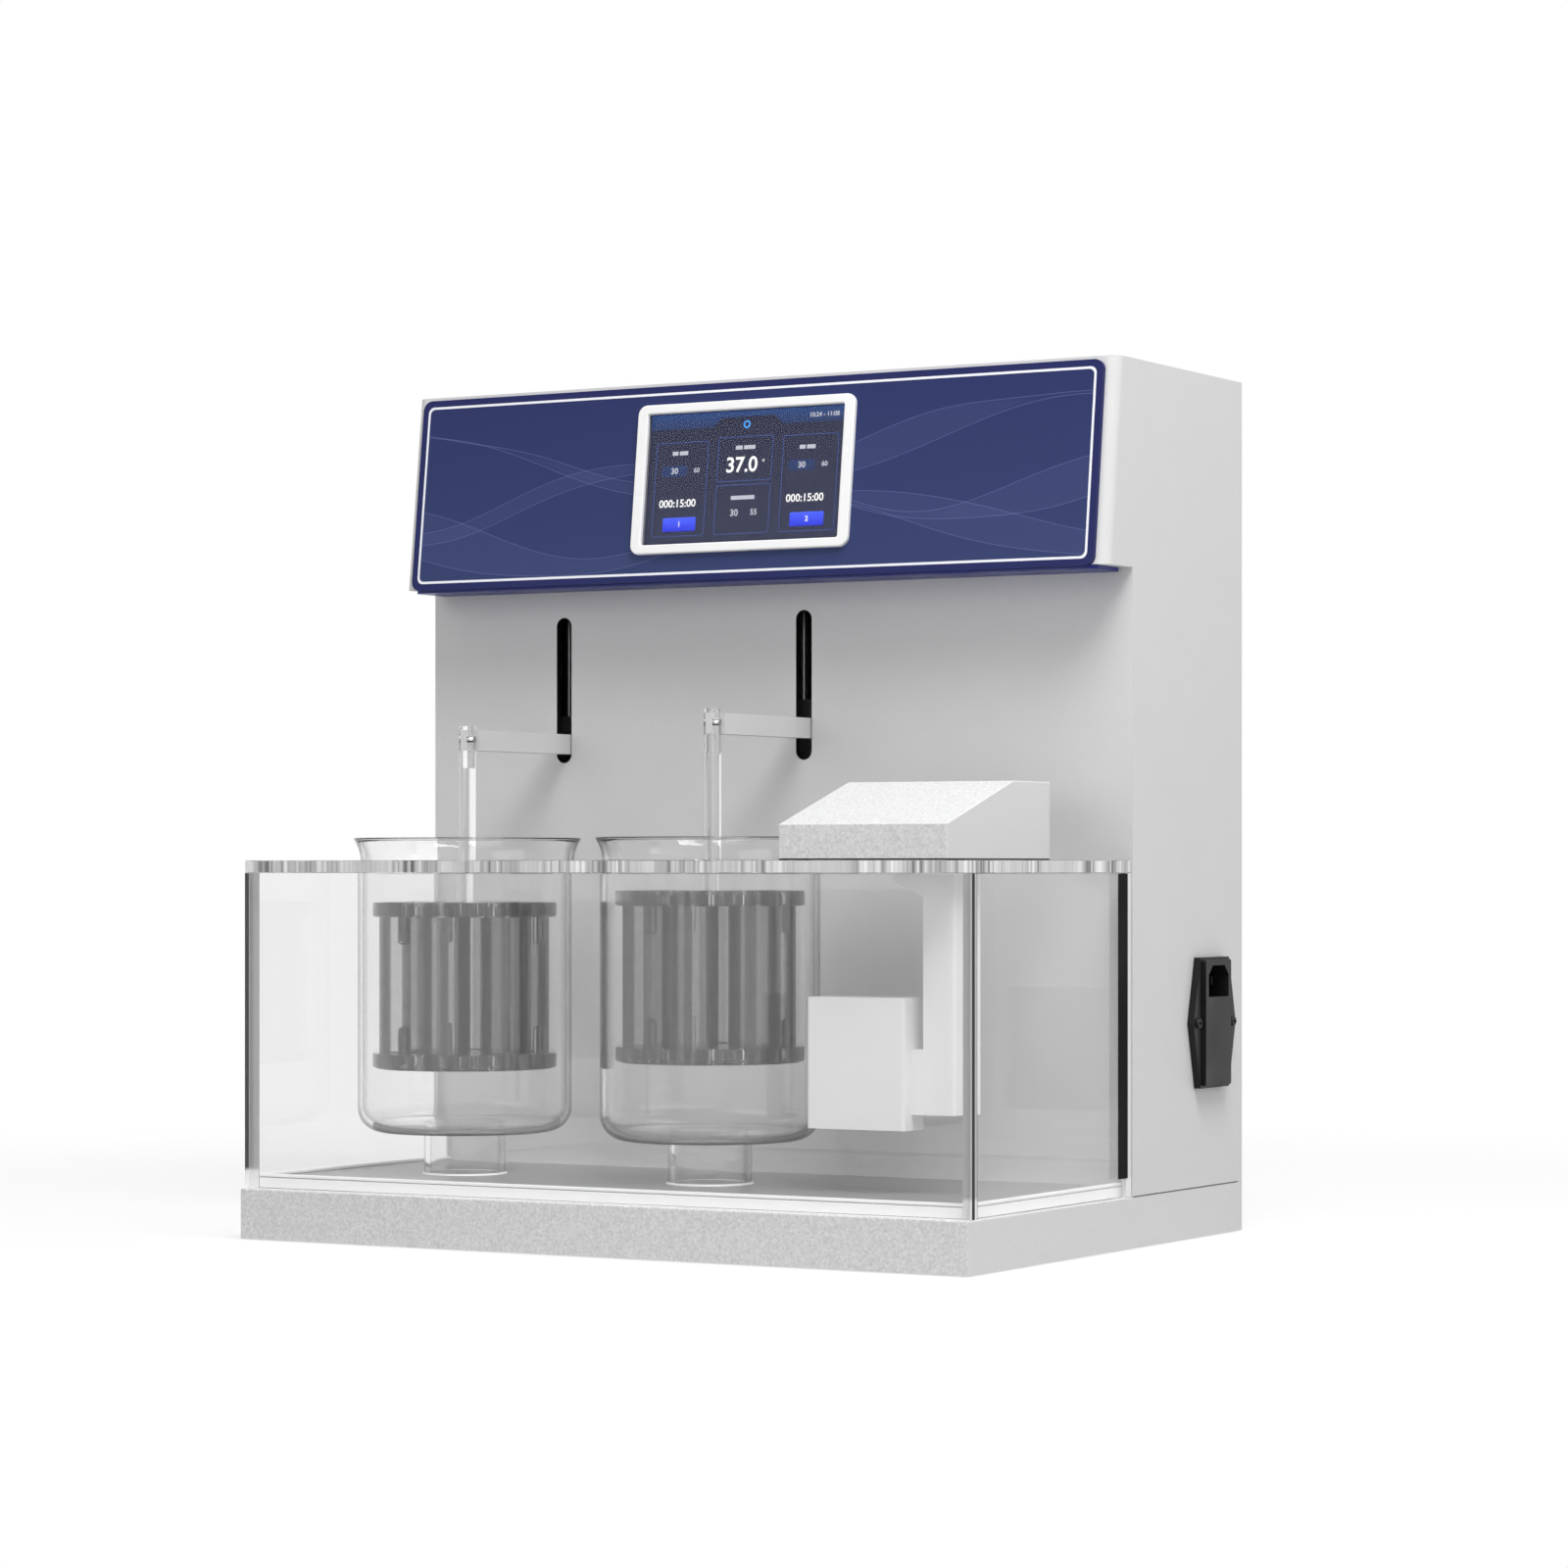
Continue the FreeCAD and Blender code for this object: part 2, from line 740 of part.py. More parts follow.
def build_base():
    """The moulded base tray, its bottom cover and the four rubber feet."""
    drop = S.foot_height - S.skirt_gap
    height = S.base_height + drop
    tray = Body("base_shell", z=S.skirt_gap)
    radius = S.base_corner_radius
    tray.pad(
        "XY",
        height,
        ("rounded", -HALF_WIDTH, -HALF_DEPTH, HALF_WIDTH, HALF_DEPTH, radius),
    )
    tray.dress("Fillet", S.base_edge_radius, lambda edge: all_at(edge, "Z", height))
    wall = S.base_wall
    tray.cut(
        "XY",
        height - wall,
        (
            "rounded",
            wall - HALF_WIDTH,
            wall - HALF_DEPTH,
            HALF_WIDTH - wall,
            HALF_DEPTH - wall,
            S.base_edge_radius,
        ),
    )
    places = base_boss_places()
    bosses = [("circle", x, y, S.base_boss_radius) for x, y in places]
    tray.pad("XY", S.base_height - S.cover_thick, *bosses, start=drop + S.cover_thick)
    pilots = [("circle", x, y, S.screw_radius + S.fit_gap) for x, y in places]
    tray.cut("XY", S.screw_length, *pilots, start=drop)
    tray.done()

    cover = Body("base_plate", z=S.foot_height)
    edge = S.base_wall + S.seat_gap
    holes = [("circle", x, y, S.screw_radius + S.fit_gap) for x, y in places]
    cover.pad(
        "XY",
        S.cover_thick,
        (
            "rounded",
            edge - HALF_WIDTH,
            edge - HALF_DEPTH,
            HALF_WIDTH - edge,
            HALF_DEPTH - edge,
            S.base_edge_radius,
        ),
        *holes,
    )
    cover.done()

    feet = []
    for turn in (-1, 1):
        for reach in (-1, 1):
            x = turn * (HALF_WIDTH - S.foot_inset)
            y = reach * (HALF_DEPTH - S.foot_inset)
            feet.append(cylinder("rubber_foot", S.foot_radius, S.foot_height, x, y, ZERO))
    group("rubber_feet", feet)


def build_housing():
    """The tall housing: one bent profile with its header, hollow and open to the back."""
    shell = Body("housing_shell")
    header_back = S.header_height * LEAN_SLOPE
    shell.pad(
        "YZ",
        S.base_width,
        (
            "polygon",
            (WALL_FACE, DECK),
            (WALL_FACE, HEADER_UNDERSIDE),
            (HEADER_LIP, HEADER_UNDERSIDE),
            (HEADER_LIP + header_back, TOP),
            (HALF_DEPTH, TOP),
            (HALF_DEPTH, DECK),
        ),
        both=True,
    )

    def header_corner(edge):
        box_of = edge.BoundBox
        at_side = near(abs(box_of.XMin), HALF_WIDTH.value) and near(box_of.XLength, 0)
        return at_side and box_of.YMin < WALL_FACE.value - 1e-3 and box_of.ZLength > box_of.YLength

    shell.dress("Fillet", S.header_corner_radius, header_corner)

    def rear_corner(edge):
        return all_at(edge, "Y", HALF_DEPTH) and edge.BoundBox.ZLength > edge.BoundBox.XLength

    shell.dress("Fillet", S.housing_corner_radius, rear_corner)
    wall = S.housing_wall
    face_wall = wall / cosine(S.lean_angle)
    inner_lip = HEADER_LIP + face_wall + wall * LEAN_SLOPE
    inner_top = HEADER_LIP + face_wall + (S.header_height - wall) * LEAN_SLOPE
    shell.cut(
        "YZ",
        S.base_width - wall * 2,
        (
            "polygon",
            (WALL_FACE + wall, DECK),
            (WALL_FACE + wall, HEADER_UNDERSIDE + wall),
            (inner_lip, HEADER_UNDERSIDE + wall),
            (inner_top, TOP - wall),
            (HALF_DEPTH, TOP - wall),
            (HALF_DEPTH, DECK),
        ),
        both=True,
    )
    inside = -(WALL_FACE + wall)
    slot_foot = LID_TOP + SLOT_LEVEL_share * CLEAR_HEIGHT
    slot_top = slot_foot + SLOT_HEIGHT_share * CLEAR_HEIGHT
    slots = [("slot", x, slot_foot, slot_top, S.slot_width / 2) for x, _ in SIDES.values()]
    shell.cut("XZ", wall * 2, *slots, start=inside)
    half_window = S.window_width / 2 + S.glass_overlap + S.seat_gap
    half_height = S.window_height / 2 + S.glass_overlap + S.seat_gap
    middle = HEADER_UNDERSIDE + S.display_rise * cosine(S.lean_angle)
    shell.cut(
        "XZ",
        S.header_reach + wall,
        (
            "polygon",
            (-half_window, middle - half_height),
            (half_window, middle - half_height),
            (half_window, middle + half_height),
            (-half_window, middle + half_height),
        ),
        start=inside,
    )
    rear_width = S.inlet_rear_width / 2 + S.inlet_gap
    rear_height = S.inlet_rear_height / 2 + S.inlet_gap
    screw_hole = S.screw_radius + S.fit_gap
    screw_at = [INLET_Y + turn * S.inlet_screw_pitch / 2 for turn in (-1, 1)]
    shell.cut(
        "YZ",
        wall * 2,
        (
            "polygon",
            (INLET_Y - rear_width, S.inlet_level - rear_height),
            (INLET_Y + rear_width, S.inlet_level - rear_height),
            (INLET_Y + rear_width, S.inlet_level + rear_height),
            (INLET_Y - rear_width, S.inlet_level + rear_height),
        ),
        *[("circle", y, S.inlet_level, screw_hole) for y in screw_at],
        start=HALF_WIDTH - wall,
    )
    bosses = []
    half_boss = S.cover_boss / 2
    for x, z in rear_screw_places():
        outward = 1 if x.value > 0 else -1
        inner = x - outward * half_boss
        outer = outward * (HALF_WIDTH - wall / 2)
        left, right = (inner, outer) if outward > 0 else (outer, inner)
        corners = ((left, z - half_boss), (right, z - half_boss))
        bosses.append(("polygon", *corners, (right, z + half_boss), (left, z + half_boss)))
    shell.pad("XZ", S.cover_boss_length, *bosses, start=-COVER_PLANE)
    pilots = [("circle", x, z, S.screw_radius + S.fit_gap) for x, z in rear_screw_places()]
    shell.cut("XZ", S.screw_length, *pilots, start=-COVER_PLANE)
    shell.done()

    cover = Body("rear_cover")
    edge = HALF_WIDTH - wall - S.seat_gap
    half_barrel = S.switch_barrel_width / 2 + S.seat_gap
    barrel_rise = S.switch_barrel_height / 2 + S.seat_gap
    cover.pad(
        "XZ",
        S.rear_cover_thick,
        (
            "rounded",
            -edge,
            DECK + S.seat_gap,
            edge,
            TOP - wall - S.seat_gap,
            S.base_edge_radius,
        ),
        *pilots,
        (
            "polygon",
            (SWITCH_X - half_barrel, S.switch_level - barrel_rise),
            (SWITCH_X + half_barrel, S.switch_level - barrel_rise),
            (SWITCH_X + half_barrel, S.switch_level + barrel_rise),
            (SWITCH_X - half_barrel, S.switch_level + barrel_rise),
        ),
        start=-HALF_DEPTH,
    )
    first = -(S.vent_pitch * (S.vent_count - 1)) / 2
    vent_foot = TOP - S.vent_drop
    vent = cover.cut(
        "XZ",
        S.rear_cover_thick * 2,
        ("slot", first, vent_foot, vent_foot + S.vent_height, S.vent_width / 2),
        start=-HALF_DEPTH,
    )
    cover.row(vent, S.vent_count, S.vent_pitch)
    cover.done()

    screws = []
    for x, z in rear_screw_places():
        screws.append(screw("rear_screw", x, HALF_DEPTH, z, VECTOR(0, -1, 0)))
    for x, y in base_boss_places():
        screws.append(screw("base_screw", x, y, S.foot_height, VECTOR(0, 0, 1)))
    group("case_screws", screws)


def on_face(label):
    """A body on the header's leaning front face, whose own XZ plane is that face."""
    return Body(label, y=HEADER_LIP, z=HEADER_UNDERSIDE)


def finish_on_face(piece):
    """Lean a body back with the header's face."""
    piece.done(-S.lean_angle, VECTOR(1, 0, 0))


def display_outline(margin, radius):
    """The display window grown by a margin, as a rounded outline."""
    side = S.window_width / 2 + margin
    rise = S.window_height / 2 + margin
    middle = S.display_rise
    return ("rounded", -side, middle - rise, side, middle + rise, radius)


def build_display():
    """The blue fascia, its lower plate, and the display with its bezel, glass and module."""
    fascia = on_face("fascia_panel")
    side = HALF_WIDTH - S.fascia_inset
    bottom = -S.fascia_overhang
    opening = display_outline(S.glass_overlap + S.seat_gap, S.window_radius)
    fascia.pad(
        "XZ",
        S.fascia_thick,
        ("rounded", -side, bottom, side, bottom + S.fascia_height, S.fascia_corner_radius),
        opening,
    )
    finish_on_face(fascia)

    plate_front = HEADER_LIP + S.seat_gap
    plate = Body("fascia_underplate", z=HEADER_UNDERSIDE - S.underplate_thick)
    reach = HALF_WIDTH - S.underplate_inset
    plate.pad(
        "XY",
        S.underplate_thick,
        ("rounded", -reach, plate_front, reach, WALL_FACE, S.underplate_radius),
    )
    plate.done()

    bezel = on_face("display_bezel")
    half_width = S.bezel_width / 2
    half_height = S.bezel_height / 2
    middle = S.display_rise
    bezel.pad(
        "XZ",
        S.bezel_thick,
        (
            "rounded",
            -half_width,
            middle - half_height,
            half_width,
            middle + half_height,
            S.bezel_radius,
        ),
        display_outline(ZERO, S.window_radius),
        start=S.fascia_thick,
    )
    front = -(S.fascia_thick + S.bezel_thick)
    bezel.dress("Fillet", S.bezel_edge_radius, lambda edge: all_at(edge, "Y", front))
    finish_on_face(bezel)

    glass = on_face("display_glass")
    glass.pad(
        "XZ",
        S.glass_thick,
        display_outline(S.glass_overlap, S.window_radius),
        start=S.fascia_thick - S.glass_thick,
    )
    finish_on_face(glass)

    module = on_face("display_module")
    behind = S.glass_thick - S.fascia_thick
    module.pad(
        "XZ",
        S.module_depth - behind,
        display_outline(-S.glass_overlap, S.window_radius),
        start=-S.module_depth,
    )
    module.pad(
        "XZ",
        S.module_flange_thick,
        display_outline(S.module_flange, S.window_radius),
        start=-(S.housing_wall + S.module_flange_thick),
    )
    finish_on_face(module)


def build_electronics():
    """The control board on its stand-offs and the enclosed power supply on the deck."""
    back = COVER_PLANE - S.board_standoff
    front = back - S.board_thick
    half = S.board_width / 2
    foot = HEADER_UNDERSIDE + S.board_rise
    parts = [box("board", S.board_width, S.board_thick, S.board_height, -half, front, foot)]
    inset = S.board_hole_inset
    for x in (inset - half, half - inset):
        for rise in (inset, S.board_height - inset):
            parts.append(
                cylinder(
                    "board_standoff",
                    S.board_standoff_radius,
                    S.board_standoff,
                    x,
                    back,
                    foot + rise,
                    VECTOR(0, 1, 0),
                )
            )
    level = foot + (S.board_height - S.chip_side) / 2
    for share in CHIP_shares:
        left = share * S.board_width - half - S.chip_side / 2
        chip_front = front - S.chip_height
        parts.append(
            box("chip", S.chip_side, S.chip_height, S.chip_side, left, chip_front, level)
        )
    for left in (inset * 2 - half, half - inset * 2 - S.connector_length):
        parts.append(
            box(
                "connector",
                S.connector_length,
                S.connector_depth,
                S.connector_height,
                left,
                front - S.connector_depth,
                foot + inset,
            )
        )
    joined("control_board", parts, final=True)

    frame_side = RIGHT_X + S.frame_width / 2
    free = HALF_WIDTH - S.housing_wall - frame_side - S.supply_width
    left = frame_side + SUPPLY_share * free
    front = COVER_PLANE - S.supply_rear_gap - S.supply_depth
    supply = Body("power_supply", x=left, y=front, z=DECK)
    edge = S.base_edge_radius
    supply.pad("XY", S.supply_height, ("rounded", ZERO, ZERO, S.supply_width, S.supply_depth, edge))
    inset = S.supply_vent_inset
    vent = supply.cut(
        "XY",
        S.supply_vent_depth,
        ("slot", inset * 2, inset, S.supply_depth - inset, S.supply_vent_width / 2),
        start=S.supply_height,
        back=True,
    )
    supply.row(vent, S.supply_vent_count, S.supply_vent_pitch)
    supply.done()


def build_inlet():
    """The mains inlet: six-sided flange, raised face, recess with pins and two screws."""
    body = Body("inlet_body", x=HALF_WIDTH, y=INLET_Y, z=S.inlet_level)
    end = S.inlet_end_width / 2
    mid = S.inlet_mid_width / 2
    rise = S.inlet_height / 2
    screw_hole = S.screw_radius + S.fit_gap
    screw_at = S.inlet_screw_pitch / 2
    body.pad(
        "YZ",
        S.inlet_flange_thick,
        ("polygon", (-end, -rise), (end, -rise), (mid, 0), (end, rise), (-end, rise), (-mid, 0)),
        ("circle", -screw_at, ZERO, screw_hole),
        ("circle", screw_at, ZERO, screw_hole),
    )
    side = S.inlet_face_width / 2
    half = S.inlet_face_height / 2
    body.pad(
        "YZ",
        S.inlet_face_thick,
        ("rounded", -side, -half, side, half, S.inlet_face_radius),
        start=S.inlet_flange_thick,
    )
    side = S.inlet_rear_width / 2
    half = S.inlet_rear_height / 2
    body.pad(
        "YZ",
        S.inlet_rear_depth,
        ("rounded", -side, -half, side, half, S.inlet_face_radius),
        back=True,
    )
    face = S.inlet_flange_thick + S.inlet_face_thick
    side = S.socket_width / 2
    low = S.socket_rise - S.socket_height / 2
    high = S.socket_rise + S.socket_height / 2
    body.cut(
        "YZ",
        S.socket_depth,
        (
            "polygon",
            (-side, low),
            (side, low),
            (side, high - S.socket_chamfer),
            (side - S.socket_chamfer, high),
            (S.socket_chamfer - side, high),
            (-side, high - S.socket_chamfer),
        ),
        start=face,
        back=True,
    )
    body.done()

    floor = HALF_WIDTH + face - S.socket_depth
    middle = S.inlet_level + S.socket_rise
    pins = []
    lifts = {-1: ZERO, 0: S.socket_earth_rise, 1: ZERO}
    for step, lift in lifts.items():
        pins.append(
            box(
                "inlet_pin",
                S.socket_pin_length,
                S.socket_pin_thick,
                S.socket_pin_width,
                floor,
                INLET_Y + step * S.socket_pin_pitch - S.socket_pin_thick / 2,
                middle + lift - S.socket_pin_width / 2,
            )
        )
    group("inlet_pins", pins)

    screws = []
    seat = HALF_WIDTH + S.inlet_flange_thick
    for turn in (-1, 1):
        y = INLET_Y + turn * screw_at
        inward = VECTOR(-1, 0, 0)
        args = (seat, y, S.inlet_level)
        shank = cylinder("inlet_shank", S.screw_radius, S.inlet_screw_length, *args, inward)
        head = cylinder("inlet_head", S.screw_head_radius, S.screw_head_height, *args, -inward)
        screws.append(joined("inlet_screw", [head, shank]))
    group("inlet_screws", screws)


def build_switch():
    """The rocker switch of the rear cover: its open barrel and the rocker on its pin."""
    case = Body("switch_body", x=SWITCH_X, y=HALF_DEPTH, z=S.switch_level)
    side = S.switch_flange_width / 2
    half = S.switch_flange_height / 2
    barrel_side = S.switch_barrel_width / 2
    barrel_half = S.switch_barrel_height / 2
    radius = S.window_radius
    case.pad("XZ", S.switch_flange_thick, ("rounded", -side, -half, side, half, radius), back=True)
    case.pad(
        "XZ",
        S.switch_barrel_depth,
        ("rounded", -barrel_side, -barrel_half, barrel_side, barrel_half, radius),
    )
    hollow_side = barrel_side - S.switch_wall
    hollow_half = barrel_half - S.switch_wall
    case.cut(
        "XZ",
        S.switch_cavity_depth + S.switch_flange_thick,
        (
            "polygon",
            (-hollow_side, -hollow_half),
            (hollow_side, -hollow_half),
            (hollow_side, hollow_half),
            (-hollow_side, hollow_half),
        ),
        start=-S.switch_flange_thick,
    )
    case.cut(
        "YZ",
        S.switch_barrel_width,
        ("circle", -S.rocker_pin_sink, ZERO, S.rocker_pin_radius + S.fit_gap),
        both=True,
    )
    case.done()

    pivot_y = HALF_DEPTH - S.rocker_pin_sink
    rocker = Body("power_rocker", x=SWITCH_X, y=pivot_y, z=S.switch_level)
    reach = S.rocker_height / 2
    rise = S.rocker_face_rise
    rocker.pad(
        "YZ",
        (hollow_side - S.rocker_gap) * 2,
        (
            "polygon",
            (rise, -reach),
            (rise - S.rocker_face_dip, ZERO),
            (rise, reach),
            (-rise / 2, reach),
            (-S.rocker_root, ZERO),
            (-rise / 2, -reach),
        ),
        both=True,
    )
    rocker.pad(
        "YZ",
        S.switch_barrel_width - S.switch_wall / 2,
        ("circle", ZERO, ZERO, S.rocker_pin_radius),
        both=True,
    )
    rocker.done(S.rocker_angle, VECTOR(1, 0, 0))


def build_tank():
    """The acrylic bath: a floor, four panes and the two beaker rings on the floor."""
    wall = S.tank_wall
    inner = TANK_SIDE - wall
    width = TANK_SIDE * 2
    front_inner = TANK_FRONT + wall
    back_inner = TANK_BACK - wall
    depth = back_inner - front_inner
    floor_thick = S.tank_floor_thick
    box("tank_floor", inner * 2, depth, floor_thick, -inner, front_inner, DECK, final=True)
    box("tank_front_pane", width, wall, S.tank_height, -TANK_SIDE, TANK_FRONT, DECK, final=True)
    box("tank_back_pane", width, wall, S.tank_height, -TANK_SIDE, back_inner, DECK, final=True)
    panes = []
    for left in (-TANK_SIDE, inner):
        panes.append(box("tank_side_pane", wall, depth, S.tank_height, left, front_inner, DECK))
    group("tank_side_panes", panes)
    rings = []
    for x, _ in SIDES.values():
        bore = S.ring_radius - S.ring_wall
        rings.append(
            tube("beaker_ring", S.ring_radius, bore, S.ring_height, x, BEAKER_Y, TANK_FLOOR)
        )
    group("beaker_rings", rings)


def build_lid():
    """The clear lid with its two beaker holes and the well for the circulator."""
    lid = Body("lid_plate", z=TANK_TOP)
    lid.pad(
        "XY",
        S.lid_thick,
        ("rounded", -TANK_SIDE, TANK_FRONT, TANK_SIDE, LID_BACK, S.lid_corner_radius),
        *[("circle", x, BEAKER_Y, BEAKER_HOLE) for x, _ in SIDES.values()],
        well_outline(),
    )
    lid.done()


def well_outline():
    """The opening that the circulator's lower parts pass through."""
    left = HEAD_LEFT + S.well_inset
    front = HEAD_FRONT + S.well_setback
    return ("rounded", left, front, left + S.well_width, front + S.well_depth, S.well_radius)


def build_beaker(side):
    """A low-form beaker: straight wall, rounded foot and a flared rim."""
    x, _ = SIDES[side]
    beaker = Body(side + "_beaker", x=x, y=BEAKER_Y, z=BEAKER_FOOT)
    radius = S.beaker_radius
    wall = S.beaker_wall
    flare = S.beaker_flare
    flare_start = S.beaker_height - S.beaker_flare_height
    beaker.revolve(
        (ZERO, ZERO),
        (radius, ZERO),
        (radius, flare_start),
        (radius + flare, S.beaker_height),
        (radius + flare - wall, S.beaker_height),
        (radius - wall, flare_start),
        (radius - wall, S.beaker_floor_thick),
        (ZERO, S.beaker_floor_thick),
    )
    inner_foot = S.beaker_foot_radius - wall
    beaker.dress("Fillet", S.beaker_foot_radius, lambda edge: all_at(edge, "Z", ZERO))
    beaker.dress("Fillet", inner_foot, lambda edge: all_at(edge, "Z", S.beaker_floor_thick))
    beaker.dress("Fillet", S.beaker_lip_radius, lambda edge: all_at(edge, "Z", S.beaker_height))
    beaker.dress("Fillet", S.beaker_flare_height, lambda edge: all_at(edge, "Z", flare_start))
    beaker.done()


def build_plate(label, x, z, peg_up):
    """A basket plate: tube holes with seats, a middle hole and pegs that point to the other plate."""
    plate = Body(label, x=x, y=BEAKER_Y, z=z)
    bore = S.tube_radius - S.plate_hole_margin
    plate.pad(
        "XY",
        S.plate_thick,
        ("circle", ZERO, ZERO, S.plate_radius),
        ("circle", ZERO, ZERO, S.rod_radius + S.fit_gap),
    )
    rim_width = (S.plate_radius * 2).value
    plate.dress("Chamfer", S.plate_edge, lambda edge: near(edge.BoundBox.XLength, rim_width))
    tube_x = S.tube_circle_radius * cosine(S.tube_angle)
    tube_y = S.tube_circle_radius * sine(S.tube_angle)
    hole = plate.cut("XY", S.plate_thick, ("circle", tube_x, tube_y, bore))
    plate.polar(hole, S.tube_count)
    seat_radius = S.tube_radius + S.fit_gap
    seat_start = tube_seat_depth() if peg_up else S.plate_thick - tube_seat_depth()
    seat = plate.cut(
        "XY",
        S.plate_thick,
        ("circle", tube_x, tube_y, seat_radius),
        start=seat_start,
        back=not peg_up,
    )
    plate.polar(seat, S.tube_count)
    peg_x = S.peg_circle_radius * cosine(S.peg_angle)
    peg_y = S.peg_circle_radius * sine(S.peg_angle)
    start = S.plate_thick if peg_up else ZERO
    peg = plate.pad(
        "XY",
        S.peg_height,
        ("circle", peg_x, peg_y, S.peg_radius),
        start=start,
        back=not peg_up,
    )
    plate.polar(peg, S.peg_count)
    tip = S.plate_thick + S.peg_height if peg_up else -S.peg_height
    plate.dress("Chamfer", S.peg_chamfer, lambda edge: all_at(edge, "Z", tip))
    plate.done()


def tube_seat_depth():
    """How much of a plate stands beyond a tube's end, so that the tubes keep their full length."""
    return (S.basket_height - S.screen_thick - S.tube_length) / 2


def build_basket(side):
    """One basket: rod with its fork and pin, two plates, six tubes and the wire cloth."""
    x, rise = SIDES[side]
    bottom = S.basket_level + rise
    lower = bottom + S.screen_thick
    upper = bottom + S.basket_height - S.plate_thick
    screen_radius = S.plate_radius - S.screen_margin
    screen = cylinder(side + "_mesh_screen", screen_radius, S.screen_thick, x, BEAKER_Y, bottom)
    PIECES.append(screen)
    build_plate(side + "_lower_plate", x, lower, True)
    build_plate(side + "_upper_plate", x, upper, False)

    tubes = []
    for number in range(COUNTS["tube_count"]):
        angle = S.tube_angle + number * 360 / S.tube_count
        tubes.append(
            tube(
                "glass_tube",
                S.tube_radius,
                S.tube_radius - S.tube_wall,
                S.tube_length,
                x + S.tube_circle_radius * cosine(angle),
                BEAKER_Y + S.tube_circle_radius * sine(angle),
                lower + tube_seat_depth(),
            )
        )
    group(side + "_glass_tubes", tubes)

    top = ARM_LEVEL + rise + S.arm_height + S.rod_top_rise
    length = top - lower
    rod = Body(side + "_hanging_rod", x=x, y=BEAKER_Y, z=lower)
    rod.pad("XY", length, ("circle", ZERO, ZERO, S.rod_radius))
    half = S.fork_width / 2
    rod.cut(
        "YZ",
        S.fork_width,
        (
            "polygon",
            (-S.rod_radius * 2, length - S.fork_depth),
            (S.rod_radius * 2, length - S.fork_depth),
            (S.rod_radius * 2, length + half),
            (-S.rod_radius * 2, length + half),
        ),
        both=True,
    )
    hole_radius = S.hook_pin_radius + S.fit_gap
    pin_level = top - S.hook_pin_drop
    hole = ("circle", ZERO, pin_level - lower, hole_radius)
    rod.cut("YZ", S.rod_radius * 4, hole, both=True)
    rod.done()

    pin = cylinder(
        side + "_hook_pin",
        S.hook_pin_radius,
        S.rod_radius * 2,
        x - S.rod_radius,
        BEAKER_Y,
        pin_level,
        VECTOR(1, 0, 0),
    )
    PIECES.append(pin)


def build_arm(side):
    """The lift arm: a bar from the carriage, a tongue in the rod's fork and a notch for its pin."""
    x, rise = SIDES[side]
    level = ARM_LEVEL + rise
    arm = Body(side + "_arm", x=x, z=level)
    half = S.arm_width / 2
    bar_front = BEAKER_Y + S.rod_radius + S.arm_rod_gap
    bar_back = DRIVE_Y - S.carriage_front + S.arm_socket_depth
    bar = (-half, ZERO), (half, ZERO), (half, S.arm_height), (-half, S.arm_height)
    arm.pad("XZ", bar_back - bar_front, ("polygon", *bar), start=-bar_back)
    half = S.arm_tongue_width / 2
    tongue = (-half, ZERO), (half, ZERO), (half, S.arm_height), (-half, S.arm_height)
    reach = bar_front - BEAKER_Y + S.arm_tongue_end
    arm.pad("XZ", reach, ("polygon", *tongue), start=-bar_front)
    radius = S.hook_pin_radius + S.fit_gap
    pin_rise = S.arm_height + S.rod_top_rise - S.hook_pin_drop
    notch = ("slot", BEAKER_Y, pin_rise - radius, S.arm_height + radius * 2, radius)
    arm.cut("YZ", S.arm_tongue_width * 2, notch, both=True)
    arm.done()


def build_carriage(side):
    """The carriage on its guide rods: block, two bushes and the flanged nut under it."""
    x, rise = SIDES[side]
    level = ARM_LEVEL + rise + (S.arm_height - S.carriage_height) / 2
    block = Body(side + "_carriage", x=x, y=DRIVE_Y, z=level)
    half = S.carriage_width / 2
    spacing = S.rod_spacing / 2
    block.pad(
        "XY",
        S.carriage_height,
        ("rounded", -half, -S.carriage_front, half, S.carriage_rear, S.carriage_radius),
        ("circle", -spacing, ZERO, S.bush_radius + S.fit_gap),
        ("circle", spacing, ZERO, S.bush_radius + S.fit_gap),
        ("circle", ZERO, ZERO, S.nut_radius + S.fit_gap),
    )
    half = S.arm_width / 2 + S.fit_gap
    low = (S.carriage_height - S.arm_height) / 2 - S.fit_gap
    high = S.carriage_height - low
    block.cut(
        "XZ",
        S.arm_socket_depth,
        ("polygon", (-half, low), (half, low), (half, high), (-half, high)),
        start=S.carriage_front,
        back=True,
    )
    block.done()

    bushes = []
    start = level + (S.carriage_height - S.bush_length) / 2
    bore = S.guide_radius + S.fit_gap
    for turn in (-1, 1):
        at = x + turn * spacing
        bushes.append(tube("carriage_bush", S.bush_radius, bore, S.bush_length, at, DRIVE_Y, start))
    group(side + "_bushes", bushes)

    nut = Body(side + "_lead_nut", x=x, y=DRIVE_Y, z=level - S.nut_flange_thick)
    shaft = S.screw_shaft_radius + S.fit_gap
    nut.pad(
        "XY",
        S.nut_flange_thick,
        ("circle", ZERO, ZERO, S.nut_flange_radius),
        ("circle", ZERO, ZERO, shaft),
    )
    nut.pad(
        "XY",
        S.nut_length,
        ("circle", ZERO, ZERO, S.nut_radius),
        ("circle", ZERO, ZERO, shaft),
    )
    nut.done()


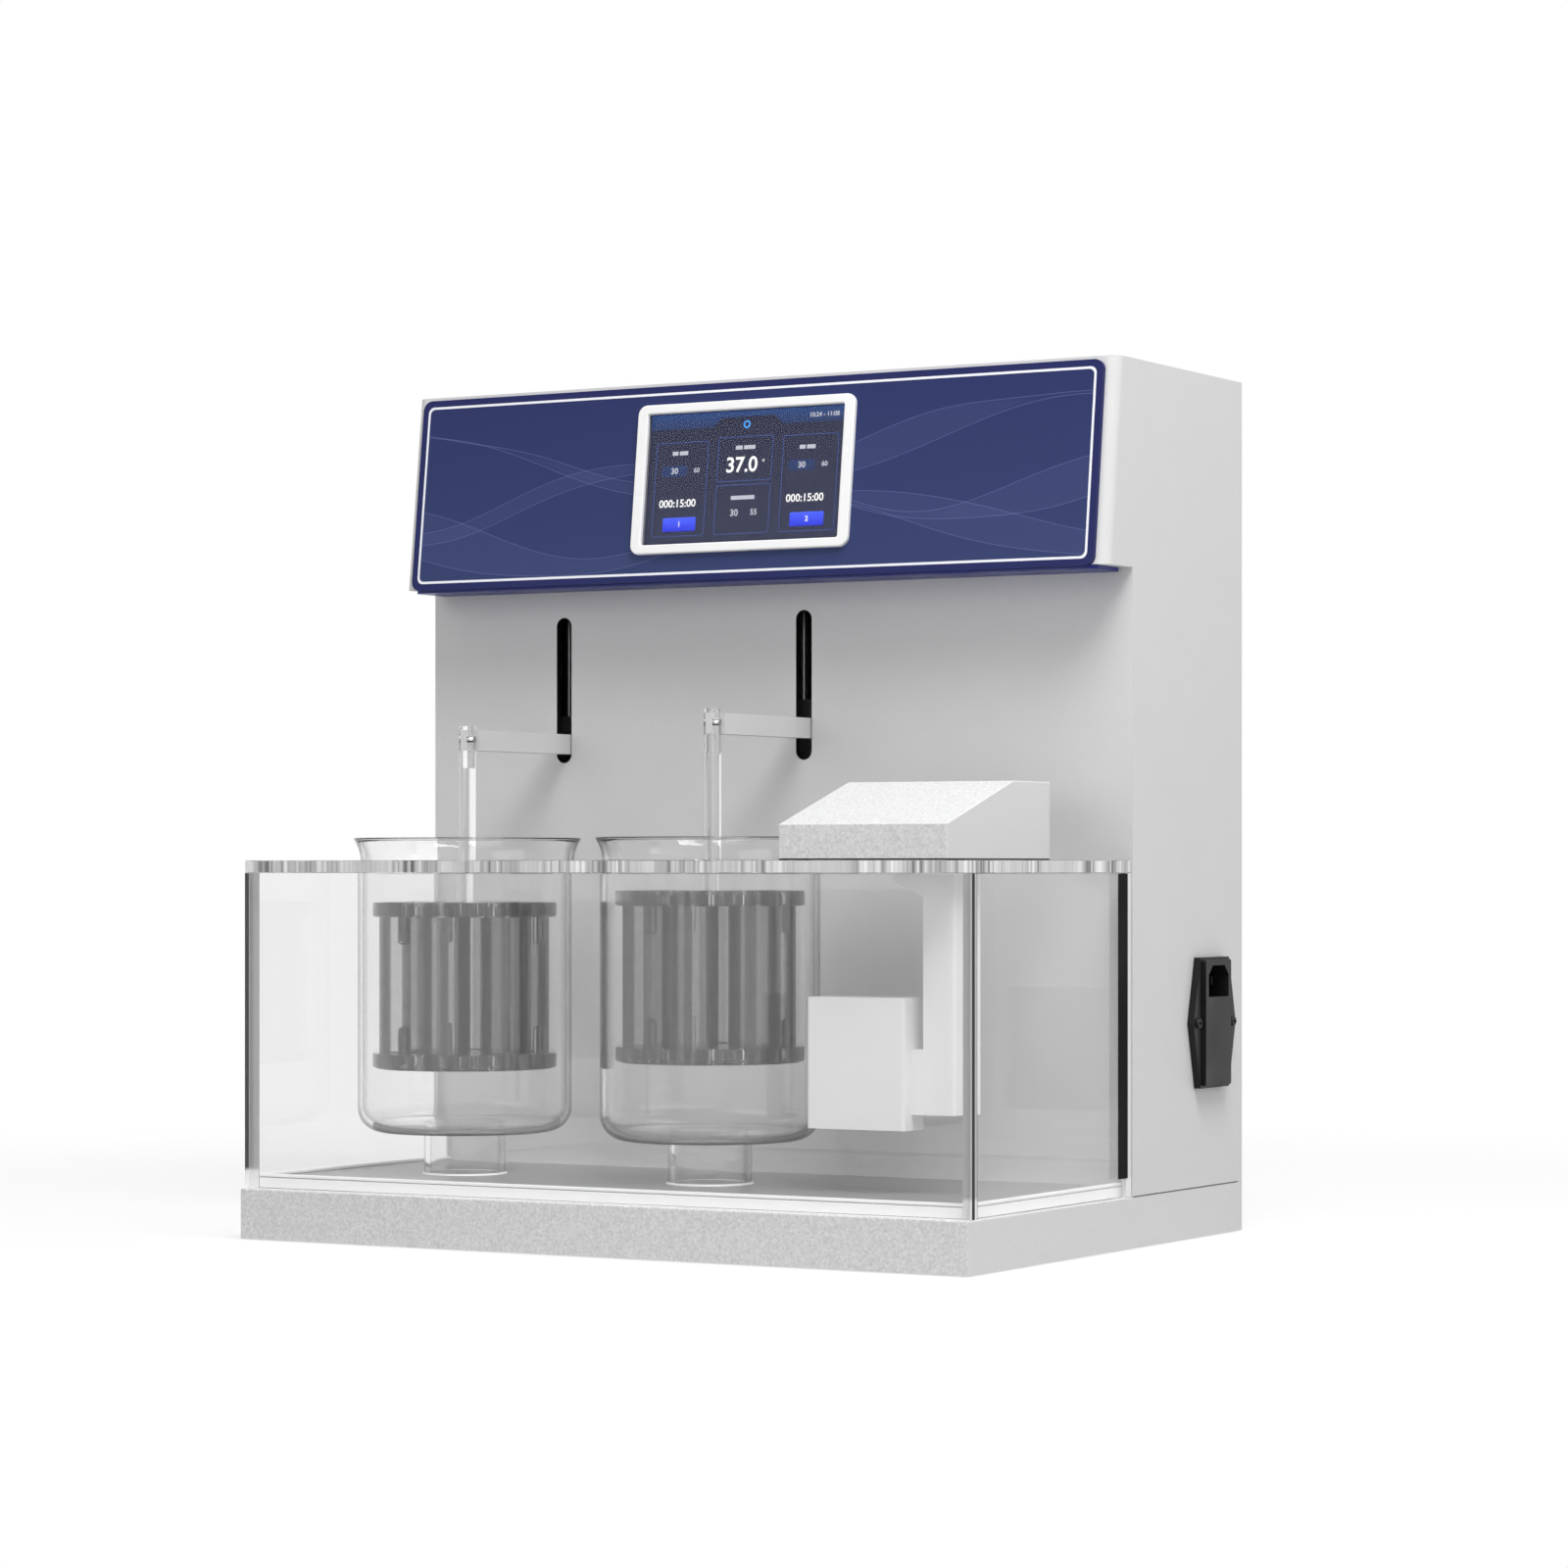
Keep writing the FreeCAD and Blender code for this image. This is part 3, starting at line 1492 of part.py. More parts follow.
def build_drives():
    """The two screw drives that stand behind the slots: frames, motors, rods, screws, bearings."""
    frames, motors, rods, bearings = [], [], [], []
    thick = S.frame_thick
    front = DRIVE_Y - S.frame_front
    plate = DRIVE_Y + S.frame_rear
    shelf_back = plate + thick
    spacing = S.rod_spacing / 2
    bore_floor = FRAME_LEVEL + S.motor_pilot_height - S.motor_bore_depth
    for side, (x, _) in SIDES.items():
        frame = Body(side + "_drive_frame", x=x, final=False)
        frame.pad(
            "YZ",
            S.frame_width,
            (
                "polygon",
                (shelf_back, DECK),
                (shelf_back, FRAME_TOP),
                (front, FRAME_TOP),
                (front, FRAME_TOP - thick),
                (plate, FRAME_TOP - thick),
                (plate, FRAME_LEVEL + thick),
                (front, FRAME_LEVEL + thick),
                (front, FRAME_LEVEL),
                (plate, FRAME_LEVEL),
                (plate, DECK + thick),
                (shelf_back - S.frame_foot, DECK + thick),
                (shelf_back - S.frame_foot, DECK),
            ),
            both=True,
        )
        top_start = FRAME_TOP - thick
        holes = [("circle", turn * spacing, DRIVE_Y, S.guide_radius) for turn in (-1, 1)]
        top_hole = ("circle", ZERO, DRIVE_Y, S.bearing_radius + S.fit_gap)
        frame.cut("XY", thick, *holes, top_hole, start=top_start)
        pilot = ("circle", ZERO, DRIVE_Y, S.motor_pilot_radius + S.fit_gap)
        frame.cut("XY", thick, *holes, pilot, start=FRAME_LEVEL)
        frames.append(frame.done())

        motor = Body(side + "_motor", x=x, y=DRIVE_Y, z=FRAME_LEVEL - S.motor_height, final=False)
        half = S.motor_side / 2
        cut = S.motor_corner
        motor.pad(
            "XY",
            S.motor_height,
            (
                "polygon",
                (cut - half, -half),
                (half - cut, -half),
                (half, cut - half),
                (half, half - cut),
                (half - cut, half),
                (cut - half, half),
                (-half, half - cut),
                (-half, cut - half),
            ),
        )
        pilot_start = S.motor_height
        round_pilot = ("circle", ZERO, ZERO, S.motor_pilot_radius)
        motor.pad("XY", S.motor_pilot_height, round_pilot, start=pilot_start)
        motor.cut(
            "XY",
            S.motor_bore_depth,
            ("circle", ZERO, ZERO, S.screw_shaft_radius + S.fit_gap),
            start=S.motor_height + S.motor_pilot_height,
            back=True,
        )
        motors.append(motor.done())

        rod_length = FRAME_TOP - FRAME_LEVEL
        for turn in (-1, 1):
            at = x + turn * spacing
            rods.append(
                cylinder("guide_rod", S.guide_radius, rod_length, at, DRIVE_Y, FRAME_LEVEL)
            )
        bore = S.screw_shaft_radius + S.fit_gap
        bearings.append(
            tube("top_bearing", S.bearing_radius, bore, thick, x, DRIVE_Y, FRAME_TOP - thick)
        )
        start = bore_floor + S.screw_end_gap
        shaft = cylinder(
            side + "_lead_screw",
            S.screw_shaft_radius,
            FRAME_TOP - start,
            x,
            DRIVE_Y,
            start,
        )
        PIECES.append(shaft)
    group("drive_frames", frames)
    group("drive_motors", motors)
    group("guide_rods", rods)
    group("screw_bearings", bearings)


def build_circulator():
    """The circulator: head, gasket, column with its heater, and the pump with its impeller."""
    head_base = LID_TOP + S.gasket_thick
    head = Body("circulator_head", x=HEAD_LEFT, y=HEAD_FRONT, z=head_base)
    slope = S.head_slope_depth
    head.pad(
        "YZ",
        S.head_width,
        (
            "polygon",
            (ZERO, ZERO),
            (ZERO, S.head_front_height),
            (slope, S.head_height),
            (S.head_depth, S.head_height),
            (S.head_depth, ZERO),
        ),
    )

    def above_foot(edge):
        return edge.BoundBox.ZMin > -1e-3 and not all_at(edge, "Z", ZERO)

    head.dress("Fillet", S.head_edge_radius, above_foot)
    wall = S.head_wall
    head.cut(
        "YZ",
        S.head_width - wall * 2,
        (
            "polygon",
            (wall, ZERO),
            (wall, S.head_front_height - wall),
            (slope, S.head_height - wall),
            (S.head_depth - wall, S.head_height - wall),
            (S.head_depth - wall, ZERO),
        ),
        start=wall,
    )
    head.done()

    gasket = Body("circulator_gasket", z=LID_TOP)
    right = HEAD_LEFT + S.head_width
    back = HEAD_FRONT + S.head_depth
    gasket.pad(
        "XY",
        S.gasket_thick,
        ("rounded", HEAD_LEFT, HEAD_FRONT, right, back, S.head_edge_radius),
        well_outline(),
    )
    gasket.done()

    column = Body("immersion_column")
    inner = wall + S.flange_gap
    column.pad(
        "XY",
        S.flange_thick,
        (
            "polygon",
            (HEAD_LEFT + inner, HEAD_FRONT + inner),
            (right - inner, HEAD_FRONT + inner),
            (right - inner, back - inner),
            (HEAD_LEFT + inner, back - inner),
        ),
        start=head_base,
    )
    column_left = HEAD_LEFT + S.column_inset
    column_right = column_left + S.column_width
    column_front = HEAD_FRONT + S.column_setback
    column_foot = TANK_FLOOR + S.column_clearance
    neck_foot = TANK_TOP - S.neck_drop
    neck_left = column_left - S.neck_reach
    pump_left = HEAD_LEFT + S.pump_inset
    pump_right = pump_left + S.pump_width
    column.pad(
        "XZ",
        S.column_depth,
        (
            "polygon",
            (neck_left, head_base + S.flange_thick / 2),
            (neck_left, neck_foot),
            (column_left, neck_foot - S.gusset_drop),
            (column_left, column_foot + S.bracket_height),
            (pump_right, column_foot + S.bracket_height),
            (pump_right, column_foot),
            (column_right, column_foot),
            (column_right, head_base + S.flange_thick / 2),
        ),
        start=-(column_front + S.column_depth),
    )

    def column_edge(edge):
        box_of = edge.BoundBox
        upright = box_of.ZLength > S.bracket_height.value and near(box_of.XLength, 0)
        return upright and near(box_of.XMin, column_right.value)

    column.dress("Fillet", S.column_edge_radius, column_edge)
    bore_y = column_front + S.column_depth / 2
    bore_x = column_left + S.column_width / 2
    bore_foot = column_foot + S.heater_floor
    bore_length = head_base + S.flange_thick - bore_foot
    heater_hole = ("circle", bore_x, bore_y, S.heater_radius + S.fit_gap)
    column.cut("XY", bore_length, heater_hole, start=bore_foot)
    column.done()
    heater = cylinder("heater_rod", S.heater_radius, bore_length, bore_x, bore_y, bore_foot)
    PIECES.append(heater)

    pump_front = HEAD_FRONT + S.pump_setback
    pump_foot = TANK_FLOOR + S.pump_clearance
    pump = Body("pump_block", x=pump_left, y=pump_front, z=pump_foot)
    width = S.pump_width
    depth = S.pump_depth
    edge = S.pump_edge_radius
    pump.pad("XY", S.pump_height, ("rounded", ZERO, ZERO, width, depth, edge))
    wall = S.pump_wall
    pump.cut(
        "XY",
        S.pump_height - wall,
        ("rounded", wall, wall, width - wall, depth - wall, S.window_radius),
    )
    pump.done()

    grille = Body("pump_grille", x=pump_left, y=pump_front, z=pump_foot)
    inner = wall + S.fit_gap
    grille.pad(
        "XY",
        S.grille_thick,
        ("rounded", inner, inner, width - inner, depth - inner, S.window_radius),
    )
    first = width / 2 - S.grille_slot_pitch * (S.grille_slot_count - 1) / 2
    low = (depth - S.grille_slot_length) / 2
    high = depth - low
    slot = grille.cut("XY", S.grille_thick, ("slot", first, low, high, S.grille_slot_width / 2))
    grille.row(slot, S.grille_slot_count, S.grille_slot_pitch)
    grille.done()

    axis_x = pump_left + width / 2
    axis_y = pump_front + depth / 2
    ceiling = pump_foot + S.pump_height - wall
    motor_foot = ceiling - S.pump_motor_length
    motor = Body("pump_motor", x=axis_x, y=axis_y, z=motor_foot)
    motor.pad("XY", S.pump_motor_length, ("circle", ZERO, ZERO, S.pump_motor_radius))
    shaft_bore = ("circle", ZERO, ZERO, S.impeller_shaft_radius + S.fit_gap)
    motor.cut("XY", S.impeller_shaft_length, shaft_bore)
    motor.done()

    web_level = motor_foot - S.impeller_drop - S.impeller_web
    impeller = Body("pump_impeller", x=axis_x, y=axis_y, z=web_level)
    impeller.pad("XY", S.impeller_web, ("circle", ZERO, ZERO, S.impeller_radius))
    hub = ("circle", ZERO, ZERO, S.impeller_hub_radius)
    impeller.pad("XY", S.impeller_blade_height, hub, back=True)
    shaft_reach = S.impeller_web + S.impeller_drop + S.impeller_shaft_length
    shaft = ("circle", ZERO, ZERO, S.impeller_shaft_radius)
    impeller.pad("XY", shaft_reach - S.screw_end_gap, shaft)
    half = S.impeller_blade_thick / 2
    blade = impeller.pad(
        "XY",
        S.impeller_blade_height,
        (
            "polygon",
            (S.impeller_hub_radius / 2, -half),
            (S.impeller_radius - half, -half),
            (S.impeller_radius - half, half),
            (S.impeller_hub_radius / 2, half),
        ),
        back=True,
    )
    impeller.polar(blade, S.blade_count)
    impeller.done()


def check_document():
    """Stop if any object failed or any sub-part has no valid solid."""
    for thing in DOC.Objects:
        if {"Invalid", "Error"} & set(thing.State):
            raise ValueError(f"{thing.Label} did not build")
    for piece in PIECES:
        shape = piece.Shape
        if shape.isNull() or not shape.isValid() or not shape.Solids:
            raise ValueError(f"{piece.Label} has no valid solid")


def write_parts():
    """Write each sub-part under its own name."""
    os.makedirs("parts", exist_ok=True)
    for piece in PIECES:
        name = re.sub(r"\W", "_", piece.Label)
        piece.Shape.exportStep(f"parts/{name}.step")
    print(len(PIECES), "sub-parts,", sum(len(piece.Shape.Solids) for piece in PIECES), "solids")


def main():
    build_base()
    build_housing()
    build_display()
    build_electronics()
    build_inlet()
    build_switch()
    build_tank()
    build_lid()
    for side in SIDES:
        build_beaker(side)
        build_basket(side)
        build_arm(side)
        build_carriage(side)
    build_drives()
    build_circulator()
    DOC.recompute()
    check_document()
    write_parts()


main()
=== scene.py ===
"""Tablet disintegration tester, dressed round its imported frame.

Metres. +X is the operator's right, +Y runs to the back and +Z is up. The origin is on the bench under
the middle of the base. Sizes in the classes are millimetres, as on a drawing.
"""

import logging
import math
from dataclasses import dataclass, field
from enum import Enum
from typing import Any, Iterable, Sequence

import bmesh
import bpy
from mathutils import Matrix, Vector


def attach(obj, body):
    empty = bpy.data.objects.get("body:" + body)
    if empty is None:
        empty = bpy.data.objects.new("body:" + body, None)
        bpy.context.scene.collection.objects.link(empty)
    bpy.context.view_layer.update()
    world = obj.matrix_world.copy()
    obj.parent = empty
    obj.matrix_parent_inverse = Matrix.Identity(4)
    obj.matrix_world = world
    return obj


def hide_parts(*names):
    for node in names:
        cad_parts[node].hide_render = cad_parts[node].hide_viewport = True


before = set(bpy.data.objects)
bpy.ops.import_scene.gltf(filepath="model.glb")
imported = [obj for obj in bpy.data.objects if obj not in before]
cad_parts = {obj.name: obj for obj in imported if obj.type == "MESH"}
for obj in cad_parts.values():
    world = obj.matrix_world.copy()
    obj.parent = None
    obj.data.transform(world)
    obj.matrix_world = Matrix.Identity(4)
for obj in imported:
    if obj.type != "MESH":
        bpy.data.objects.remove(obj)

LOG = logging.getLogger("tester")
MM = 0.001
WHITE = "#FFFFFF"
WELD = 1e-7
SHEET_ANGLE = 18.0
GLASS_ANGLE = 50.0
WIRE_ANGLE = 60.0
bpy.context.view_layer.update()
Point = tuple[float, float]


class Rider(Enum):
    """The CAD bodies that pieces move with."""

    CASE = "case"
    LID = "lid"
    LEFT_LIFT = "left_lift"
    RIGHT_LIFT = "right_lift"
    LEFT_BASKET = "left_basket"
    RIGHT_BASKET = "right_basket"
    LEFT_SCREW = "left_screw"
    RIGHT_SCREW = "right_screw"
    LEFT_CUP = "left_cup"
    RIGHT_CUP = "right_cup"


class Side(Enum):
    """The two test stations, named as the frame names them."""

    LEFT = "left"
    RIGHT = "right"

    def rider(self, part: str) -> Rider:
        """The body of this side's part, such as its basket."""
        return Rider(f"{self.value}_{part}")

    def node(self, part: str) -> str:
        """The frame's name of this side's part."""
        return f"{self.value}_{part}"


def linear(code: str, alpha: float = 1.0) -> tuple[float, float, float, float]:
    """Turn an sRGB hex colour into the linear colour that the shaders take.

    Args:
        code: The colour, such as "#D4D4D4".
        alpha: The fourth value.

    Returns:
        Red, green, blue and alpha, all linear.
    """
    parts = [int(code[i : i + 2], 16) / 255 for i in (1, 3, 5)]
    lit = [c / 12.92 if c <= 0.04045 else ((c + 0.055) / 1.055) ** 2.4 for c in parts]
    return (lit[0], lit[1], lit[2], alpha)


def add_node(
    tree: bpy.types.NodeTree,
    kind: str,
    settings: dict[str, Any] | None = None,
    inputs: dict[Any, Any] | None = None,
) -> bpy.types.Node:
    """Add a node with its settings, and link or set its inputs.

    Args:
        tree: The tree to add to.
        kind: The node's type, such as "ShaderNodeMath".
        settings: Properties of the node by name.
        inputs: Sockets by name or number; a socket as value is linked, anything else is set.

    Returns:
        The new node.
    """
    node = tree.nodes.new(kind)
    for name, value in (settings or {}).items():
        setattr(node, name, value)
    for name, value in (inputs or {}).items():
        if isinstance(value, bpy.types.NodeSocket):
            tree.links.new(value, node.inputs[name])
        else:
            node.inputs[name].default_value = value
    return node


def seen_directly(tree: bpy.types.NodeTree) -> bpy.types.NodeSocket:
    """Tell the eye's own rays, straight, mirrored or bent through glass, from the lamps' side.

    Args:
        tree: The tree to add to.

    Returns:
        One for what the eye sees, nought for what only lights the tester.
    """
    rays = add_node(tree, "ShaderNodeLightPath")
    seen: bpy.types.NodeSocket = rays.outputs["Is Camera Ray"]
    for name in ("Is Glossy Ray", "Is Transmission Ray"):
        more = add_node(
            tree, "ShaderNodeMath", {"operation": "MAXIMUM"}, {0: seen, 1: rays.outputs[name]}
        )
        seen = more.outputs[0]
    return seen


def noise_along(
    tree: bpy.types.NodeTree, place: bpy.types.NodeSocket, pitch_mm: float, detail: float
) -> bpy.types.NodeSocket:
    """Noise that only changes round a rim, so that it draws upright bars.

    Args:
        tree: The material's tree.
        place: The place on the piece.
        pitch_mm: The bars' usual width.
        detail: How much finer structure they have.

    Returns:
        The noise.
    """
    split = add_node(tree, "ShaderNodeSeparateXYZ", inputs={0: place})
    along = add_node(
        tree, "ShaderNodeMath", {"operation": "ADD"}, {0: split.outputs[0], 1: split.outputs[1]}
    )
    bars = add_node(tree, "ShaderNodeTexNoise", {"noise_dimensions": "1D"}, {
        "W": along.outputs[0], "Scale": 1 / (pitch_mm * MM), "Detail": detail
    })
    return bars.outputs[0]


# ---- Finishes ----


@dataclass(frozen=True)
class Finish:
    """What a surface is made of, and how it was made."""

    name: str
    colour: str
    roughness: float = 0.5

    def material(self) -> bpy.types.Material:
        """Make the material of this finish once.

        Returns:
            The material.
        """
        found = bpy.data.materials.get(self.name)
        if found is not None:
            return found
        made = bpy.data.materials.new(self.name)
        made.use_nodes = True
        made.node_tree.nodes.clear()
        shader = self.shade(made.node_tree)
        add_node(made.node_tree, "ShaderNodeOutputMaterial", inputs={"Surface": shader})
        return made

    def shade(self, tree: bpy.types.NodeTree) -> bpy.types.NodeSocket:
        """Build the shader.

        Args:
            tree: The material's tree.

        Returns:
            The socket that feeds the surface.
        """
        raise NotImplementedError


@dataclass(frozen=True)
class Moulded(Finish):
    """Moulded or coated plastic and paint: an even colour over a fine grain."""

    grain_mm: float = 0.8
    grain_depth_mm: float = 0.03
    mottle: float = 0.04
    patch_mm: float = 30.0
    sheen_spread: float = 0.08
    coat: float = 0.0
    coat_roughness: float = 0.08
    metallic: float = 0.0
    specular: float = 0.5
    sideways: float = 1.0
    grain_share: float = 0.6
    mottle_span: tuple[float, float] = (0.45, 1.15)
    gloss_span: tuple[float, float] = (0.3, 0.7)
    least_roughness: float = 0.03

    def shade(self, tree: bpy.types.NodeTree) -> bpy.types.NodeSocket:
        """Build the grain as bump, and let colour and gloss drift a little over the surface.

        Args:
            tree: The material's tree.

        Returns:
            The surface.
        """
        place = add_node(tree, "ShaderNodeTexCoord").outputs["Object"]
        grain = add_node(tree, "ShaderNodeTexNoise", inputs={
            "Vector": place, "Scale": 1 / (self.grain_mm * MM), "Detail": 3.0
        })
        patch = add_node(tree, "ShaderNodeTexNoise", inputs={
            "Vector": place, "Scale": 1 / (self.patch_mm * MM), "Detail": 2.0
        })
        blend = add_node(tree, "ShaderNodeMath", {"operation": "MULTIPLY_ADD"}, {
            0: grain.outputs[0], 1: self.grain_share, 2: patch.outputs[0]
        })
        share = add_node(tree, "ShaderNodeMapRange", inputs={
            "Value": blend.outputs[0],
            "From Min": self.mottle_span[0],
            "From Max": self.mottle_span[1],
            "To Min": 1.0 - self.mottle,
            "To Max": 1.0 + self.mottle,
        })
        level = self.calmed(tree, share.outputs[0]) if self.sideways < 1.0 else share.outputs[0]
        tint = add_node(
            tree, "ShaderNodeHueSaturation", inputs={"Color": linear(self.colour), "Value": level}
        )
        gloss = add_node(tree, "ShaderNodeMapRange", inputs={
            "Value": patch.outputs[0],
            "From Min": self.gloss_span[0],
            "From Max": self.gloss_span[1],
            "To Min": max(self.least_roughness, self.roughness - self.sheen_spread),
            "To Max": min(1.0, self.roughness + self.sheen_spread),
        })
        bump = add_node(tree, "ShaderNodeBump", inputs={
            "Strength": 1.0, "Distance": self.grain_depth_mm * MM, "Height": grain.outputs[0]
        })
        surface = add_node(tree, "ShaderNodeBsdfPrincipled", inputs={
            "Base Color": tint.outputs[0],
            "Roughness": gloss.outputs[0],
            "Metallic": self.metallic,
            "Specular IOR Level": self.specular,
            "Coat Weight": self.coat,
            "Coat Roughness": self.coat_roughness,
            "Normal": bump.outputs[0],
        })
        return surface.outputs[0]

    def calmed(self, tree: bpy.types.NodeTree, share: bpy.types.NodeSocket) -> bpy.types.NodeSocket:
        """Let the mottle fade on faces that look along X, which came off smoother tool walls.

        Args:
            tree: The material's tree.
            share: The mottled level.

        Returns:
            The level with less mottle there.
        """
        facing = add_node(tree, "ShaderNodeTexCoord").outputs["Normal"]
        split = add_node(tree, "ShaderNodeSeparateXYZ", inputs={0: facing})
        side = add_node(tree, "ShaderNodeMath", {"operation": "ABSOLUTE"}, {0: split.outputs[0]})
        kept = add_node(tree, "ShaderNodeMapRange", inputs={
            "Value": side.outputs[0], "To Min": 1.0, "To Max": self.sideways
        })
        off = add_node(tree, "ShaderNodeMath", {"operation": "SUBTRACT"}, {0: share, 1: 1.0})
        level = add_node(tree, "ShaderNodeMath", {"operation": "MULTIPLY_ADD"}, {
            0: off.outputs[0], 1: kept.outputs[0], 2: 1.0
        })
        return level.outputs[0]


@dataclass(frozen=True)
class Drawn(Finish):
    """Ground or drawn metal: fine lines along one axis."""

    along: int = 2
    line_mm: float = 0.15
    stretch: float = 60.0
    gloss_shares: tuple[float, float] = (0.7, 1.4)
    line_tint: float = 0.25
    line_depth_mm: float = 0.01
    line_strength: float = 0.4

    def shade(self, tree: bpy.types.NodeTree) -> bpy.types.NodeSocket:
        """Build a metal whose gloss and height follow the lines that the tool left.

        Args:
            tree: The material's tree.

        Returns:
            The surface.
        """
        place = add_node(tree, "ShaderNodeTexCoord").outputs["Object"]
        scale = [1.0, 1.0, 1.0]
        scale[self.along] = 1 / self.stretch
        drawn = add_node(tree, "ShaderNodeMapping", inputs={"Vector": place, "Scale": scale})
        lines = add_node(tree, "ShaderNodeTexNoise", inputs={
            "Vector": drawn.outputs[0], "Scale": 1 / (self.line_mm * MM), "Detail": 2.0
        })
        gloss = add_node(tree, "ShaderNodeMapRange", inputs={
            "Value": lines.outputs[0],
            "To Min": self.roughness * self.gloss_shares[0],
            "To Max": self.roughness * self.gloss_shares[1],
        })
        tint = add_node(tree, "ShaderNodeMixRGB", {"blend_type": "MULTIPLY"}, {
            0: self.line_tint, 1: linear(self.colour), 2: lines.outputs["Color"]
        })
        bump = add_node(tree, "ShaderNodeBump", inputs={
            "Strength": self.line_strength,
            "Distance": self.line_depth_mm * MM,
            "Height": lines.outputs[0],
        })
        surface = add_node(tree, "ShaderNodeBsdfPrincipled", inputs={
            "Base Color": tint.outputs[0],
            "Roughness": gloss.outputs[0],
            "Metallic": 1.0,
            "Normal": bump.outputs[0],
        })
        return surface.outputs[0]


@dataclass(frozen=True)
class Clear(Finish):
    """Clear acrylic or borosilicate glass that bends what is seen through it and lets lamps through."""

    ior: float = 1.49
    wave_mm: float = 25.0
    wave_depth_mm: float = 0.004
    shade_colour: str = "#FFFFFF"
    # Painted shade: the colour that walls take where they are seen edge-on.
    rim_colour: str = ""
    rim_from: float = 0.3
    rim_to: float = 0.7
    bar_mm: float = 0.0
    bar_colour: str = "#6A6A6A"
    bar_share: float = 0.5
    bar_edge: float = 0.04
    level_span: tuple[float, float] = (0.85, 0.99)

    def shade(self, tree: bpy.types.NodeTree) -> bpy.types.NodeSocket:
        """Build a clear solid with the faint waviness of cast sheet or drawn tube.

        Args:
            tree: The material's tree.

        Returns:
            The surface.
        """
        texture = add_node(tree, "ShaderNodeTexCoord")
        upright = self.upright(tree, texture.outputs["Normal"])
        # Painted shade: walls seen edge-on are tinted towards the edge shade colour.
        slant = add_node(tree, "ShaderNodeLayerWeight", inputs={"Blend": 0.5})
        edge_on = add_node(tree, "ShaderNodeMapRange", inputs={
            "Value": slant.outputs["Facing"], "From Min": self.rim_from, "From Max": self.rim_to
        })
        share = add_node(
            tree, "ShaderNodeMath", {"operation": "MULTIPLY"}, {0: edge_on.outputs[0], 1: upright}
        )
        place = texture.outputs["Object"]
        body = self.barred(tree, place) if self.bar_mm else linear(self.colour)
        tint = add_node(tree, "ShaderNodeMixRGB", inputs={
            0: share.outputs[0], 1: body, 2: linear(self.rim_colour or self.colour)
        })
        waves = add_node(tree, "ShaderNodeTexNoise", inputs={
            "Vector": place, "Scale": 1 / (self.wave_mm * MM), "Detail": 1.0
        })
        bump = add_node(tree, "ShaderNodeBump", inputs={
            "Strength": 1.0, "Distance": self.wave_depth_mm * MM, "Height": waves.outputs[0]
        })
        solid = add_node(tree, "ShaderNodeBsdfPrincipled", inputs={
            "Base Color": tint.outputs[0],
            "Roughness": self.roughness,
            "IOR": self.ior,
            "Transmission Weight": 1.0,
            "Normal": bump.outputs[0],
        })
        lamp = add_node(tree, "ShaderNodeBsdfTransparent", inputs={"Color": linear(self.shade_colour)})
        rays = add_node(tree, "ShaderNodeLightPath")
        either = add_node(tree, "ShaderNodeMath", {"operation": "MAXIMUM"}, {
            0: rays.outputs["Is Shadow Ray"], 1: rays.outputs["Is Diffuse Ray"]
        })
        mixed = add_node(tree, "ShaderNodeMixShader", inputs={
            0: either.outputs[0], 1: solid.outputs[0], 2: lamp.outputs[0]
        })
        return mixed.outputs[0]

    def upright(self, tree: bpy.types.NodeTree, normal: bpy.types.NodeSocket) -> bpy.types.NodeSocket:
        """Tell walls, which take the painted edge shade, from level faces, which stay clear however
        flat they are seen.

        Args:
            tree: The material's tree.
            normal: The surface's own direction.

        Returns:
            One on walls, nought on level faces.
        """
        split = add_node(tree, "ShaderNodeSeparateXYZ", inputs={0: normal})
        level = add_node(tree, "ShaderNodeMath", {"operation": "ABSOLUTE"}, {0: split.outputs[2]})
        wall = add_node(tree, "ShaderNodeMapRange", inputs={
            "Value": level.outputs[0],
            "From Min": self.level_span[0],
            "From Max": self.level_span[1],
            "To Min": 1.0,
            "To Max": 0.0,
        })
        return wall.outputs[0]

    def barred(self, tree: bpy.types.NodeTree, place: bpy.types.NodeSocket) -> bpy.types.NodeSocket:
        """Lay upright light and dark bars round a moulded piece, as thick clear plastic gathers them.

        Args:
            tree: The material's tree.
            place: The place on the piece.

        Returns:
            The body's colour.
        """
        dark = add_node(tree, "ShaderNodeMapRange", inputs={
            "Value": noise_along(tree, place, self.bar_mm, 2.0),
            "From Min": self.bar_share - self.bar_edge,
            "From Max": self.bar_share + self.bar_edge,
        })
        body = add_node(tree, "ShaderNodeMixRGB", inputs={
            0: dark.outputs[0], 1: linear(self.colour), 2: linear(self.bar_colour)
        })
        return body.outputs[0]


